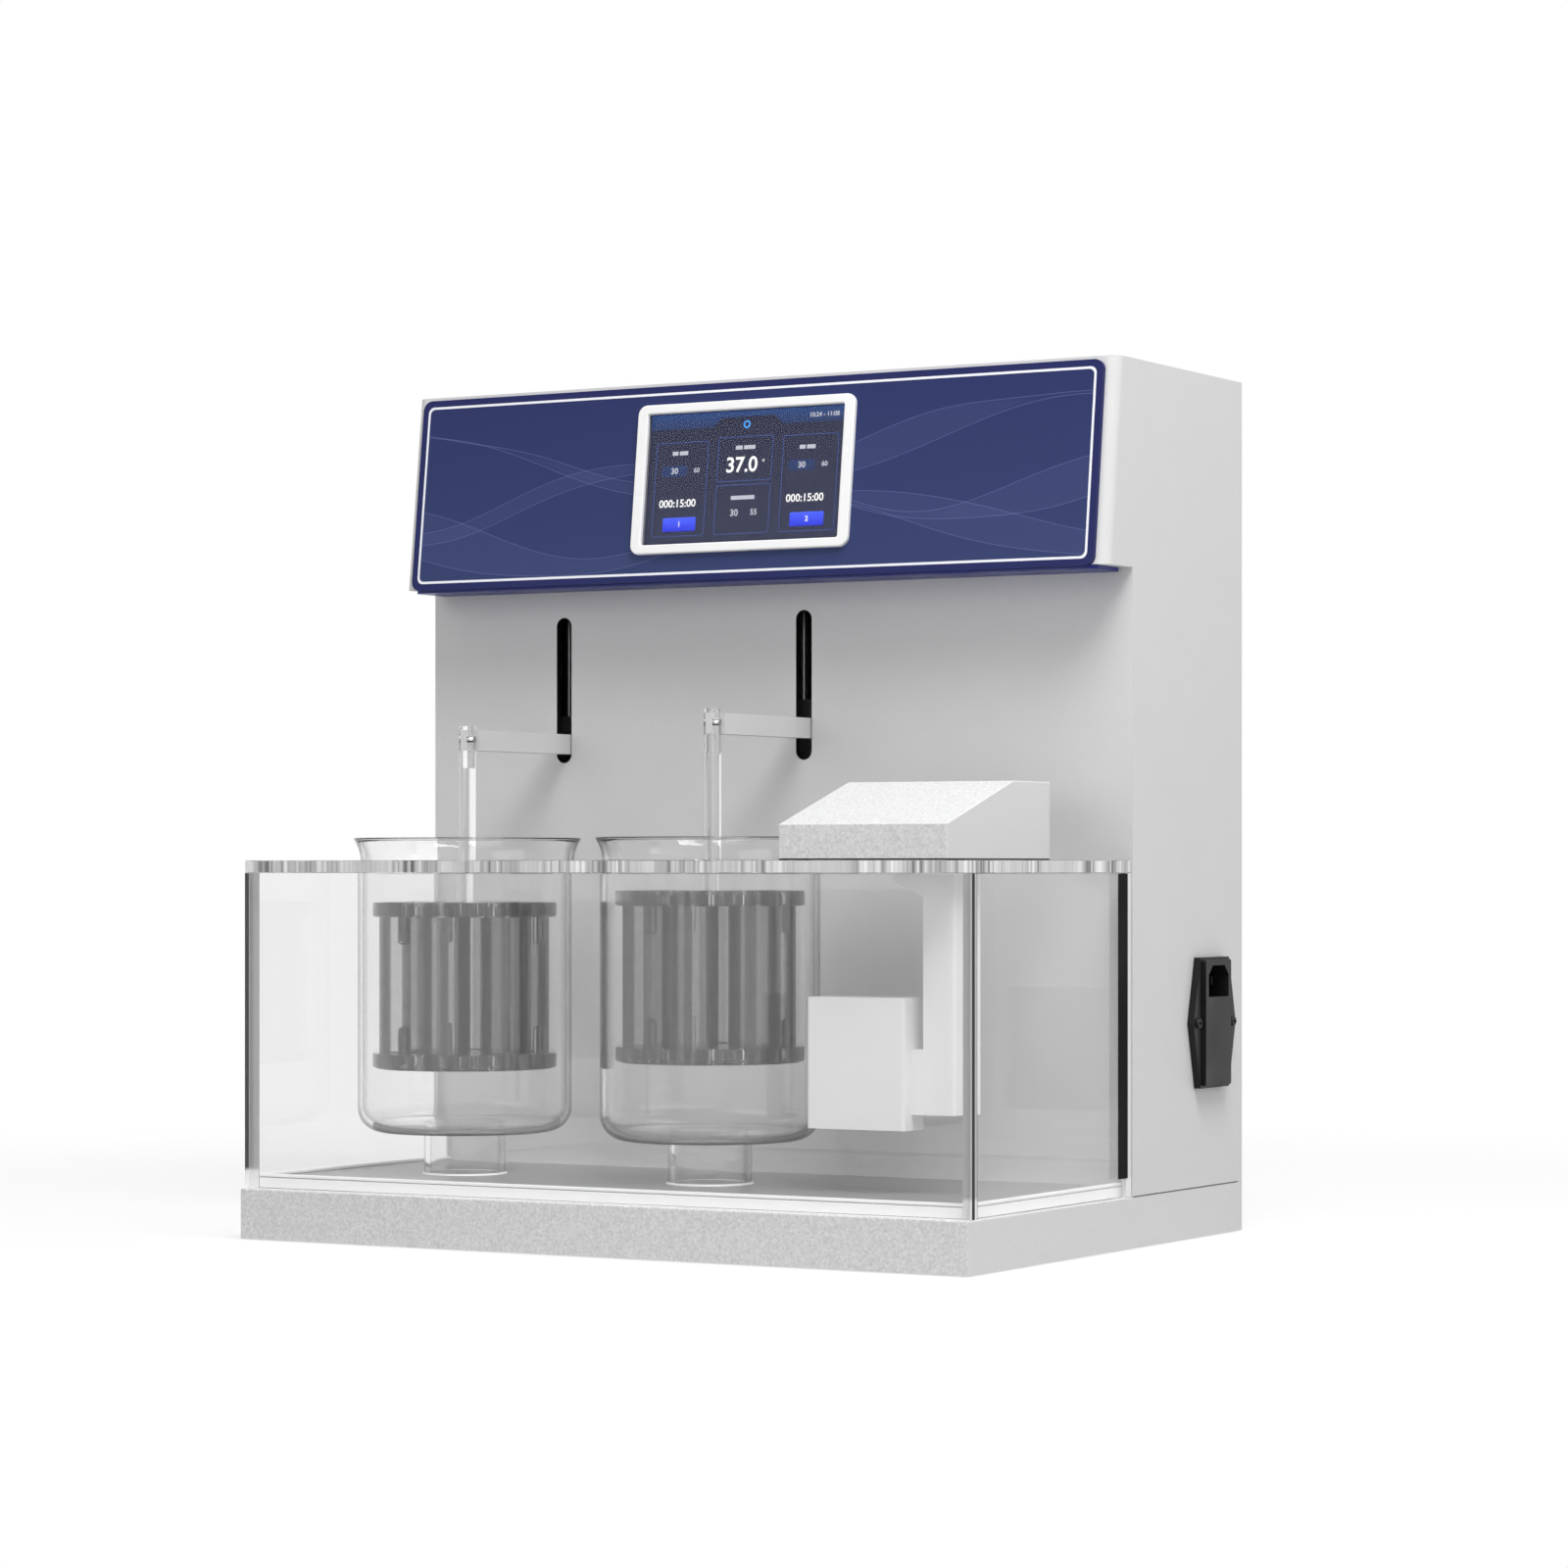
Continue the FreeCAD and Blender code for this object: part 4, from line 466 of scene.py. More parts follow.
@dataclass(frozen=True)
class Lit(Finish):
    """A part of the display's picture that gives its own light."""

    strength: float = 1.0
    deep: str = ""
    low_mm: float = 0.0
    high_mm: float = 1.0
    unlit: str = "#1A1A1C"

    def shade(self, tree: bpy.types.NodeTree) -> bpy.types.NodeSocket:
        """Build the light, from the deep colour below to the plain colour above.

        Args:
            tree: The material's tree.

        Returns:
            The surface.
        """
        place = add_node(tree, "ShaderNodeTexCoord").outputs["Object"]
        split = add_node(tree, "ShaderNodeSeparateXYZ", inputs={0: place})
        rise = add_node(tree, "ShaderNodeMapRange", inputs={
            "Value": split.outputs[2], "From Min": self.low_mm * MM, "From Max": self.high_mm * MM
        })
        tint = add_node(tree, "ShaderNodeMixRGB", inputs={
            0: rise.outputs[0], 1: linear(self.deep or self.colour), 2: linear(self.colour)
        })
        surface = add_node(tree, "ShaderNodeBsdfPrincipled", inputs={
            "Base Color": linear(self.unlit),
            "Roughness": self.roughness,
            "Specular IOR Level": 0.0,
            "Emission Color": tint.outputs[0],
            "Emission Strength": self.strength,
        })
        return surface.outputs[0]


@dataclass(frozen=True)
class BondedEdge(Finish):
    """The sawn end of an acrylic pane in painted light and shade: one colour above, painted light at
    its foot, and a painted dark line.
    """

    foot_colour: str = "#F4F4F4"
    foot_mm: float = 34.0
    line_colour: str = ""
    line_low_mm: float = 0.0
    line_high_mm: float = 0.0
    blur_mm: float = 1.0
    specular: float = 0.2

    def shade(self, tree: bpy.types.NodeTree) -> bpy.types.NodeSocket:
        """Build the painted light of the foot by height and the painted dark line by depth.

        Args:
            tree: The material's tree.

        Returns:
            The surface.
        """
        place = add_node(tree, "ShaderNodeTexCoord").outputs["Object"]
        split = add_node(tree, "ShaderNodeSeparateXYZ", inputs={0: place})
        rise = add_node(tree, "ShaderNodeMapRange", inputs={
            "Value": split.outputs[2],
            "From Min": (self.foot_mm - self.blur_mm) * MM,
            "From Max": (self.foot_mm + self.blur_mm) * MM,
        })
        height = add_node(tree, "ShaderNodeMixRGB", inputs={
            0: rise.outputs[0], 1: linear(self.foot_colour), 2: linear(self.colour)
        })
        middle = (self.line_low_mm + self.line_high_mm) / 2 * MM
        off = add_node(
            tree, "ShaderNodeMath", {"operation": "SUBTRACT"}, {0: split.outputs[1], 1: middle}
        )
        far = add_node(tree, "ShaderNodeMath", {"operation": "ABSOLUTE"}, {0: off.outputs[0]})
        reach = (self.line_high_mm - self.line_low_mm) / 2 * MM
        # Painted shade: a dark line across the end at the joint.
        glue = add_node(
            tree, "ShaderNodeMath", {"operation": "LESS_THAN"}, {0: far.outputs[0], 1: reach}
        )
        tint = add_node(tree, "ShaderNodeMixRGB", inputs={
            0: glue.outputs[0], 1: height.outputs[0], 2: linear(self.line_colour or self.colour)
        })
        surface = add_node(tree, "ShaderNodeBsdfPrincipled", inputs={
            "Base Color": tint.outputs[0],
            "Roughness": self.roughness,
            "Specular IOR Level": self.specular,
        })
        return surface.outputs[0]


@dataclass(frozen=True)
class PolishedEdge(Finish):
    """The flame-polished rim of a clear sheet, where light gathers in upright bars."""

    dark: str = "#6A6A6A"
    even: str = "#D6D6D6"
    bar_mm: float = 12.0
    fine_mm: float = 2.2
    calm_mm: float = 42.0
    fine_share: float = 0.7
    bar_span: tuple[float, float] = (0.6, 1.1)
    calm_span: tuple[float, float] = (0.4, 0.55)
    least_bars: float = 0.15

    def shade(self, tree: bpy.types.NodeTree) -> bpy.types.NodeSocket:
        """Build bars that come and go along the rim.

        Args:
            tree: The material's tree.

        Returns:
            The surface.
        """
        place = add_node(tree, "ShaderNodeTexCoord").outputs["Object"]
        wide = noise_along(tree, place, self.bar_mm, 1.0)
        fine = noise_along(tree, place, self.fine_mm, 1.0)
        mixed = add_node(tree, "ShaderNodeMath", {"operation": "MULTIPLY_ADD"}, {
            0: fine, 1: self.fine_share, 2: wide
        })
        share = add_node(tree, "ShaderNodeMapRange", inputs={
            "Value": mixed.outputs[0], "From Min": self.bar_span[0], "From Max": self.bar_span[1]
        })
        lively = add_node(tree, "ShaderNodeMapRange", inputs={
            "Value": noise_along(tree, place, self.calm_mm, 0.0),
            "From Min": self.calm_span[0],
            "From Max": self.calm_span[1],
            "To Min": self.least_bars,
        })
        bars_tint = add_node(tree, "ShaderNodeMixRGB", inputs={
            0: share.outputs[0], 1: linear(self.dark), 2: linear(self.colour)
        })
        tint = add_node(tree, "ShaderNodeMixRGB", inputs={
            0: lively.outputs[0], 1: linear(self.even), 2: bars_tint.outputs[0]
        })
        surface = add_node(tree, "ShaderNodeBsdfPrincipled", inputs={
            "Base Color": tint.outputs[0], "Roughness": self.roughness
        })
        return surface.outputs[0]


@dataclass(frozen=True)
class Wave:
    """One printed line of the fascia: its height and two swings along the panel."""

    rise_mm: float
    swing_mm: float
    length_mm: float
    turn: float
    ripple_mm: float = 2.0
    ripple_length_mm: float = 130.0
    ripple_turn: float = 0.0


@dataclass(frozen=True)
class PrintedFilm(Finish):
    """The fascia's polyester film, printed from behind with plain ribbons of crossing lines."""

    low: str = "#303C69"
    ribbon: str = "#7F8AC0"
    border: str = "#1C2258"
    bottom_mm: float = 323.0
    height_mm: float = 98.0
    border_half_mm: float = 190.0
    border_low_mm: float = 325.6
    border_high_mm: float = 416.6
    ribbons: tuple[tuple[Wave, Wave], ...] = ()
    line_mm: float = 0.4
    line_ink: float = 0.26
    fill_ink: float = 0.05
    fill_mm: float = 2.5
    grain_mm: float = 0.6
    grain_depth_mm: float = 0.006
    grain_strength: float = 0.5
    specular: float = 0.2

    def shade(self, tree: bpy.types.NodeTree) -> bpy.types.NodeSocket:
        """Build the blue ground with its ribbons, under a satin hard coat.

        Args:
            tree: The material's tree.

        Returns:
            The surface.
        """
        place = add_node(tree, "ShaderNodeTexCoord").outputs["Object"]
        split = add_node(tree, "ShaderNodeSeparateXYZ", inputs={0: place})
        across, up = split.outputs[0], split.outputs[2]
        amount: bpy.types.NodeSocket | float = 0.0
        for pair in self.ribbons:
            gaps = [self.gap(tree, across, up, wave) for wave in pair]
            for gap in gaps:
                near = add_node(tree, "ShaderNodeMath", {"operation": "ABSOLUTE"}, {0: gap})
                line = add_node(tree, "ShaderNodeMapRange", {"interpolation_type": "SMOOTHSTEP"}, {
                    "Value": near.outputs[0],
                    "From Min": 0.0,
                    "From Max": self.line_mm * MM,
                    "To Min": self.line_ink,
                    "To Max": 0.0,
                })
                both = add_node(
                    tree, "ShaderNodeMath", {"operation": "ADD"}, {0: line.outputs[0], 1: amount}
                )
                amount = both.outputs[0]
            inside = add_node(
                tree, "ShaderNodeMath", {"operation": "MULTIPLY"}, {0: gaps[0], 1: gaps[1]}
            )
            fill = add_node(tree, "ShaderNodeMapRange", inputs={
                "Value": inside.outputs[0],
                "From Min": 0.0,
                "From Max": -((self.fill_mm * MM) ** 2),
                "To Min": 0.0,
                "To Max": self.fill_ink,
            })
            both = add_node(
                tree, "ShaderNodeMath", {"operation": "ADD"}, {0: fill.outputs[0], 1: amount}
            )
            amount = both.outputs[0]
        rise = add_node(tree, "ShaderNodeMapRange", inputs={
            "Value": up,
            "From Min": self.bottom_mm * MM,
            "From Max": (self.bottom_mm + self.height_mm) * MM,
        })
        ground = add_node(tree, "ShaderNodeMixRGB", inputs={
            0: rise.outputs[0], 1: linear(self.low), 2: linear(self.colour)
        })
        printed = add_node(
            tree, "ShaderNodeMixRGB", inputs={0: amount, 1: ground.outputs[0], 2: linear(self.ribbon)}
        )
        edged = add_node(tree, "ShaderNodeMixRGB", inputs={
            0: self.outside(tree, across, up), 1: printed.outputs[0], 2: linear(self.border)
        })
        grain = add_node(tree, "ShaderNodeTexNoise", inputs={
            "Vector": place, "Scale": 1 / (self.grain_mm * MM), "Detail": 2.0
        })
        bump = add_node(tree, "ShaderNodeBump", inputs={
            "Strength": self.grain_strength,
            "Distance": self.grain_depth_mm * MM,
            "Height": grain.outputs[0],
        })
        surface = add_node(tree, "ShaderNodeBsdfPrincipled", inputs={
            "Base Color": edged.outputs[0],
            "Roughness": self.roughness,
            "Specular IOR Level": self.specular,
            "Normal": bump.outputs[0],
        })
        return surface.outputs[0]

    def outside(
        self, tree: bpy.types.NodeTree, across: bpy.types.NodeSocket, up: bpy.types.NodeSocket
    ) -> bpy.types.NodeSocket:
        """Where the film's darker border lies.

        Args:
            tree: The material's tree.
            across: The place along the panel.
            up: The height.

        Returns:
            One on the border and zero inside it.
        """
        side = add_node(tree, "ShaderNodeMath", {"operation": "ABSOLUTE"}, {0: across})
        tests = (
            ("GREATER_THAN", side.outputs[0], self.border_half_mm),
            ("LESS_THAN", up, self.border_low_mm),
            ("GREATER_THAN", up, self.border_high_mm),
        )
        either: bpy.types.NodeSocket | float = 0.0
        for operation, value, limit in tests:
            test = add_node(tree, "ShaderNodeMath", {"operation": operation}, {0: value, 1: limit * MM})
            more = add_node(
                tree, "ShaderNodeMath", {"operation": "MAXIMUM"}, {0: test.outputs[0], 1: either}
            )
            either = more.outputs[0]
        return either

    def gap(
        self,
        tree: bpy.types.NodeTree,
        across: bpy.types.NodeSocket,
        up: bpy.types.NodeSocket,
        wave: Wave,
    ) -> bpy.types.NodeSocket:
        """How far above one printed line each point lies.

        Args:
            tree: The material's tree.
            across: The place along the panel.
            up: The height.
            wave: The line.

        Returns:
            The signed distance in metres.
        """
        level: bpy.types.NodeSocket | float = (self.bottom_mm + wave.rise_mm) * MM
        swings = (
            (wave.swing_mm, wave.length_mm, wave.turn),
            (wave.ripple_mm, wave.ripple_length_mm, wave.ripple_turn),
        )
        for swing, length, turn in swings:
            angle = add_node(tree, "ShaderNodeMath", {"operation": "MULTIPLY_ADD"}, {
                0: across, 1: math.tau / (length * MM), 2: turn
            })
            sine = add_node(tree, "ShaderNodeMath", {"operation": "SINE"}, {0: angle.outputs[0]})
            added = add_node(tree, "ShaderNodeMath", {"operation": "MULTIPLY_ADD"}, {
                0: sine.outputs[0], 1: swing * MM, 2: level
            })
            level = added.outputs[0]
        gap = add_node(tree, "ShaderNodeMath", {"operation": "SUBTRACT"}, {0: up, 1: level})
        return gap.outputs[0]


# Textured ABS has a fine spark-eroded grain that breaks the light up into a soft, dry white.
HOUSING_ABS = Moulded("textured_abs", "#DADADA", 0.55, grain_mm=0.9, grain_depth_mm=0.035, mottle=0.03)
# The base's leather grain is coarse enough to show as a fleck on its front; its sides are smooth.
BASE_ABS = Moulded(
    "grained_abs",
    "#DCDCDC",
    0.6,
    grain_mm=1.0,
    grain_depth_mm=0.07,
    mottle=0.22,
    patch_mm=1.5,
    sheen_spread=0.05,
    sideways=0.15,
)
# The circulator's head has the same fleck in a warmer light.
GRAINED_WHITE = Moulded(
    "grained_white_abs",
    "#DDDDDD",
    0.6,
    grain_mm=1.0,
    grain_depth_mm=0.06,
    mottle=0.2,
    patch_mm=1.5,
    sheen_spread=0.05,
    sideways=0.1,
)
# Plain satin ABS below the lid looks soft and even, with no fleck.
WHITE_ABS = Moulded("satin_white_abs", "#F6F6F6", 0.45, grain_mm=0.9, grain_depth_mm=0.02, mottle=0.015)
# Gloss ABS gives the bezel a bright, clean edge.
BEZEL_ABS = Moulded("gloss_abs", "#F4F4F4", 0.25, grain_mm=3.0, grain_depth_mm=0.004, mottle=0.01)
# Powder coat shows as orange peel, a little wider than a moulding's grain.
COVER_PAINT = Moulded("powder_coated_steel", "#C4C4C4", 0.5, grain_mm=1.2, grain_depth_mm=0.05)
# Navy enamel is smooth and deep, and only its edges catch light.
NAVY_PAINT = Moulded("navy_enamel", "#222A7C", 0.35, grain_mm=1.0, grain_depth_mm=0.008, specular=0.3)
# Satin paint keeps the arms as quiet as the wall behind them.
ARM_PAINT = Moulded("satin_grey_paint", "#D6D6D6", 0.4, grain_mm=0.8, grain_depth_mm=0.01, mottle=0.02)
# Black paint on bent sheet shows each fold by a dull line of light.
FRAME_PAINT = Moulded("black_paint", "#1A1A1C", 0.45, grain_mm=0.9, grain_depth_mm=0.02, mottle=0.15)
# Rubber is dull and swallows light.
RUBBER = Moulded("moulded_rubber", "#1C1C1D", 0.8, grain_mm=0.5, grain_depth_mm=0.03, mottle=0.15)
# Filled nylon is black with a grey sheen along its edges.
INLET_NYLON = Moulded(
    "black_nylon", "#131313", 0.45, grain_mm=0.5, grain_depth_mm=0.012, mottle=0.12, specular=0.3
)
# A polished rocker mirrors what is in front of it.
ROCKER_GLOSS = Moulded("gloss_nylon", "#101010", 0.18, grain_mm=2.0, grain_depth_mm=0.003, mottle=0.1)
# Unfilled nylon is a warm, waxy white.
NYLON = Moulded("natural_nylon", "#DCDAD2", 0.5, grain_mm=0.6, grain_depth_mm=0.01)
# Solder resist is a wet green over the tracks.
SOLDER_RESIST = Moulded("solder_resist", "#1E5B36", 0.3, grain_mm=2.5, grain_depth_mm=0.02, mottle=0.25)
# The shadow in the joint between two mouldings is a soft grey line.
JOINT_GREY = Moulded(
    "shadow_joint", "#6E6E6E", 0.7, grain_mm=0.8, grain_depth_mm=0.005, mottle=0.05, specular=0.1
)
# Painted shade: a matt black strip that reads as one flat dark bar up the pane's back end.
CORNER_SHADE_BLACK = Moulded(
    "black_corner_seal", "#121212", 0.8, grain_mm=0.8, grain_depth_mm=0.005, mottle=0.05, specular=0.1
)
# Painted shade: the slots' sleeves are matt black, so the slots look deep and dark.
SLOT_SHADE_BLACK = Moulded(
    "black_slot_liner", "#0B0B0B", 0.6, grain_mm=0.6, grain_depth_mm=0.01, specular=0.2
)
# The display's backing is a blue black behind the picture.
MODULE_BLACK = Moulded("display_backing", "#14161F", 0.4, grain_mm=1.0, grain_depth_mm=0.004)
# Screen ink is an even white, a little proud of the film.
STRIPE_INK = Moulded("white_ink", "#F2F4FA", 0.4, grain_mm=1.0, grain_depth_mm=0.003, mottle=0.01)
# The bath's floor is a satin grey sheet that mirrors the wall dimly.
FLOOR_GREY = Moulded(
    "satin_grey_sheet",
    "#8A8A8C",
    0.3,
    grain_mm=1.2,
    grain_depth_mm=0.004,
    mottle=0.03,
    sheen_spread=0.02,
    specular=0.3,
)
# Sawn edges and glue gather light and look white.
EDGE_WHITE = Moulded("white_sheet_edge", WHITE, 0.4, grain_mm=1.0, grain_depth_mm=0.01, mottle=0.02)
# Nickel plate, painted a dark grey as painted shade for the pins deep in the inlet's recess.
PIN_NICKEL = Drawn("dull_nickel", "#6E6C68", 0.35)
# Ground stainless carries fine lines and long, narrow lights.
STEEL = Drawn("ground_stainless", "#B9BABC", 0.25)
# Woven wire is greyer, as half of it is in its own shade.
CLOTH_STEEL = Drawn("woven_stainless", "#8E8F91", 0.35, along=0, stretch=8.0)
# Nickel plate is bright, with short marks from the driver.
SCREW_STEEL = Drawn("nickel_plate", "#C9C8C4", 0.22, along=0, stretch=3.0)
# Milled aluminium is pale, with the cutter's lines across it.
ALUMINIUM = Drawn("milled_aluminium", "#C6C8CB", 0.35, along=0, stretch=30.0)
# Turned bronze is a dull yellow brown with turning lines.
BRONZE = Drawn("turned_bronze", "#B08D57", 0.32, along=0, stretch=20.0)
# Cast acrylic is clear and neutral, and all but flat.
ACRYLIC = Clear("cast_acrylic", "#FAFAFA", 0.0, ior=1.49, wave_mm=60.0, wave_depth_mm=0.003)
# The lid has been cut through, and what shows through it bends a little more.
LID_ACRYLIC = Clear("lid_acrylic", "#F8F8F8", 0.0, ior=1.49, wave_mm=18.0, wave_depth_mm=0.02)
# Turned acrylic, with a painted shade line down each side of a ring.
RING_ACRYLIC = Clear(
    "turned_acrylic",
    "#FAFAFA",
    0.0,
    wave_mm=60.0,
    wave_depth_mm=0.003,
    rim_colour="#585858",
    rim_from=0.7,
    rim_to=0.88,
)
# Borosilicate is as clear as acrylic, with painted shade where it is seen edge-on.
BEAKER_GLASS = Clear(
    "borosilicate",
    "#FBFBFB",
    0.0,
    ior=1.47,
    wave_mm=35.0,
    wave_depth_mm=0.008,
    rim_colour="#343434",
    rim_from=0.66,
    rim_to=0.86,
)
# The tubes are tinted grey, with painted shade along their sides.
TUBE_GLASS = Clear(
    "smoky_tube_glass",
    "#DEDEDE",
    0.0,
    ior=1.47,
    wave_mm=40.0,
    wave_depth_mm=0.001,
    shade_colour="#F4F4F4",
    rim_colour="#484848",
    rim_from=0.16,
    rim_to=0.24,
)
# Thick smoky plates gather light into bars and are dark between them.
BASKET_PLASTIC = Clear(
    "smoky_polycarbonate",
    "#EAEAEC",
    0.0,
    ior=1.58,
    wave_depth_mm=0.002,
    shade_colour="#E8E8E8",
    rim_colour="#4A4A4C",
    rim_from=0.2,
    rim_to=0.6,
    bar_mm=7.0,
    bar_colour="#2A2A2C",
)
# The rods are clear, with painted highlight streaks down their length and painted shade along their
# sides.
ROD_PLASTIC = Clear(
    "clear_polycarbonate",
    "#FAFAFA",
    0.02,
    ior=1.58,
    wave_mm=12.0,
    rim_colour="#B0B0B0",
    rim_from=0.6,
    rim_to=0.85,
    bar_mm=4.0,
    bar_colour="#C8C8C8",
    bar_share=0.56,
)
# A coated cover glass hardly mirrors the room.
COVER_GLASS = Clear("display_glass", WHITE, 0.0, ior=1.12, wave_mm=60.0, wave_depth_mm=0.0005)
# Painted shade and light: the panes' ends are painted dark or grey, and their feet painted white.
FRONT_END_LEFT = BondedEdge("glued_end_dark", "#262626", 0.4, foot_colour="#F0F0F0")
FRONT_END_RIGHT = BondedEdge(
    "glued_end_light", "#C4C4C4", 0.4, line_colour="#141414", line_low_mm=-141.8, line_high_mm=-139.0
)
SIDE_END_FRONT = BondedEdge("glued_end_grey", "#BABABA", 0.4)
SIDE_END_BACK = BondedEdge("glued_end_black", "#101010", 0.4, foot_colour="#F0F0F0")
BACK_END = BondedEdge("glued_end_white", "#E6E6E6", 0.4)
# The lid's flame-polished rim glitters in upright bars.
LID_RIM = PolishedEdge("polished_lid_rim", WHITE, 0.2)

# Polyester film over a navy ground, its printed ribbons crossing as soft pale lines.
FASCIA_FILM = PrintedFilm("printed_film", "#232C5E", 0.5, ribbons=(
    (Wave(46, 15, 300, 2.6, 2.5, 140, 0.4), Wave(40, 17, 330, 2.3, 1.5, 120, 1.1)),
    (Wave(28, 14, 290, 0.2, 2.0, 170, 2.0), Wave(18, 16, 310, 0.7, 2.5, 150, 0.2)),
    (Wave(60, 20, 420, 4.9, 2.0, 160, 1.4), Wave(66, 17, 390, 5.2, 1.5, 110, 2.2)),
))

# Each layer of the display's picture glows in its own colour; the height keeps them apart.
PICTURE_TONES = (
    (Lit("screen_ground", "#2E3148", 0.6, deep="#33364E", low_mm=340, high_mm=405), 0.0),
    (Lit("screen_band", "#2F4A80", 0.6, deep="#2C3A62", low_mm=397, high_mm=406), 0.03),
    (Lit("screen_frames", "#415595", 0.6), 0.06),
    (Lit("screen_fields", "#2D3D6B", 0.6), 0.03),
    (Lit("screen_buttons", "#4E66FF", 0.5, deep="#2230E0", low_mm=347, high_mm=354), 0.06),
    (Lit("screen_figures", WHITE, 0.6), 0.09),
    (Lit("screen_notes", "#C3C7D2", 0.6), 0.09),
    (Lit("screen_icon", "#4AA8FF", 0.6), 0.09),
)


# ---- Meshes ----


def mesh_object(name: str, mesh: bpy.types.Mesh) -> bpy.types.Object:
    """Link a mesh to the scene as an object at the origin.

    Args:
        name: The object's name.
        mesh: Its mesh.

    Returns:
        The object.
    """
    made = bpy.data.objects.new(name, mesh)
    bpy.context.scene.collection.objects.link(made)
    return made


def smooth(piece: bpy.types.Object, angle: float = 30.0) -> bpy.types.Object:
    """Shade a piece smooth, except where its faces meet at more than the angle.

    Args:
        piece: The piece.
        angle: The angle in degrees.

    Returns:
        The piece.
    """
    for face in piece.data.polygons:
        face.use_smooth = True
    piece.data.set_sharp_from_angle(angle=math.radians(angle))
    return piece


def from_bmesh(name: str, grown: bmesh.types.BMesh) -> bpy.types.Object:
    """Turn a finished bmesh into an object, with its normals outwards.

    Args:
        name: The object's name.
        grown: The bmesh, which is freed.

    Returns:
        The object.
    """
    bmesh.ops.recalc_face_normals(grown, faces=grown.faces[:])
    mesh = bpy.data.meshes.new(name)
    grown.to_mesh(mesh)
    grown.free()
    return mesh_object(name, mesh)


def plain(piece: bpy.types.Object) -> bpy.types.Object:
    """Apply everything live on a piece and keep only its mesh at the origin.

    Args:
        piece: The piece, which is removed.

    Returns:
        A plain mesh object of the same name.
    """
    ready = piece.evaluated_get(bpy.context.evaluated_depsgraph_get())
    mesh = bpy.data.meshes.new_from_object(ready)
    mesh.transform(piece.matrix_world)
    name = piece.name
    bpy.data.objects.remove(piece)
    made = mesh_object(name, mesh)
    made.name = name
    return made


def joined(name: str, pieces: Sequence[bpy.types.Object]) -> bpy.types.Object:
    """Merge several finished pieces into one mesh, keeping their materials.

    Args:
        name: The name of the result.
        pieces: Objects at the origin; they are removed.

    Returns:
        The merged object.
    """
    grown = bmesh.new()
    materials: list[bpy.types.Material] = []
    for piece in pieces:
        start = len(grown.faces)
        grown.from_mesh(piece.data)
        grown.faces.ensure_lookup_table()
        places = []
        for own in piece.data.materials:
            if own not in materials:
                materials.append(own)
            places.append(materials.index(own))
        for face in grown.faces[start:]:
            if places:
                face.material_index = places[min(face.material_index, len(places) - 1)]
        bpy.data.objects.remove(piece)
    mesh = bpy.data.meshes.new(name)
    grown.to_mesh(mesh)
    grown.free()
    for own in materials:
        mesh.materials.append(own)
    return mesh_object(name, mesh)


def held(profile: Sequence[Point], closed: bool, hold: float = 0.12, long: float = 1.5) -> list[Point]:
    """Add points just inside both ends of long steps, so that straight walls shade straight.

    Args:
        profile: (radius, height) pairs in millimetres.
        closed: Whether the last point leads back to the first.
        hold: How far inside, in millimetres.
        long: The step that needs it, in millimetres.

    Returns:
        The profile with its added points.
    """
    kept: list[Point] = []
    after = list(profile[1:]) + ([profile[0]] if closed else [])
    for here, there in zip(profile, after):
        kept.append(here)
        step = math.dist(here, there)
        if step > long:
            for share in (hold / step, 1 - hold / step):
                kept.append(tuple(a + (b - a) * share for a, b in zip(here, there)))
    return kept if closed else kept + [profile[-1]]


def lathe(
    name: str, profile: Sequence[Point], centre: Sequence[float], segments: int = 96
) -> bpy.types.Object:
    """Turn a profile round an upright axis.

    Args:
        name: The object's name.
        profile: (radius, height) pairs in millimetres, in order; a closed loop unless both ends are
            on the axis.
        centre: The axis's foot in metres.
        segments: Steps round the axis.

    Returns:
        The turned solid.
    """
    grown = bmesh.new()
    rings: list[list[bmesh.types.BMVert]] = []
    for radius, height in held(profile, profile[0][0] > 0 and profile[-1][0] > 0):
        z = centre[2] + height * MM
        if radius <= 0:
            rings.append([grown.verts.new((centre[0], centre[1], z))])
            continue
        ring = []
        for step in range(segments):
            angle = math.tau * step / segments
            x = centre[0] + radius * MM * math.cos(angle)
            y = centre[1] + radius * MM * math.sin(angle)
            ring.append(grown.verts.new((x, y, z)))
        rings.append(ring)
    closed = len(rings[0]) > 1 and len(rings[-1]) > 1
    pairs = list(zip(rings, rings[1:] + (rings[:1] if closed else [])))
    for low, high in pairs:
        for step in range(segments):
            after = (step + 1) % segments
            corners = [low[step % len(low)], low[after % len(low)]]
            corners += [high[after % len(high)], high[step % len(high)]]
            kept = list(dict.fromkeys(corners))
            if len(kept) > 2:
                grown.faces.new(kept)
    return smooth(from_bmesh(name, grown))


def arc(middle: Point, radius: float, start: float, end: float, steps: int = 8) -> list[Point]:
    """Points on an arc, angles in degrees."""
    angles = [math.radians(start + (end - start) * n / steps) for n in range(steps + 1)]
    return [(middle[0] + radius * math.cos(a), middle[1] + radius * math.sin(a)) for a in angles]


def rounded(left: float, low: float, right: float, high: float, radius: float) -> list[Point]:
    """The outline of a rectangle with round corners.

    Args:
        left: Its left side, in millimetres.
        low: Its lower side.
        right: Its right side.
        high: Its upper side.
        radius: The corners' radius.

    Returns:
        The outline, anticlockwise.
    """
    corners = (
        ((right - radius, low + radius), 270),
        ((right - radius, high - radius), 0),
        ((left + radius, high - radius), 90),
        ((left + radius, low + radius), 180),
    )
    return [point for middle, start in corners for point in arc(middle, radius, start, start + 90)]


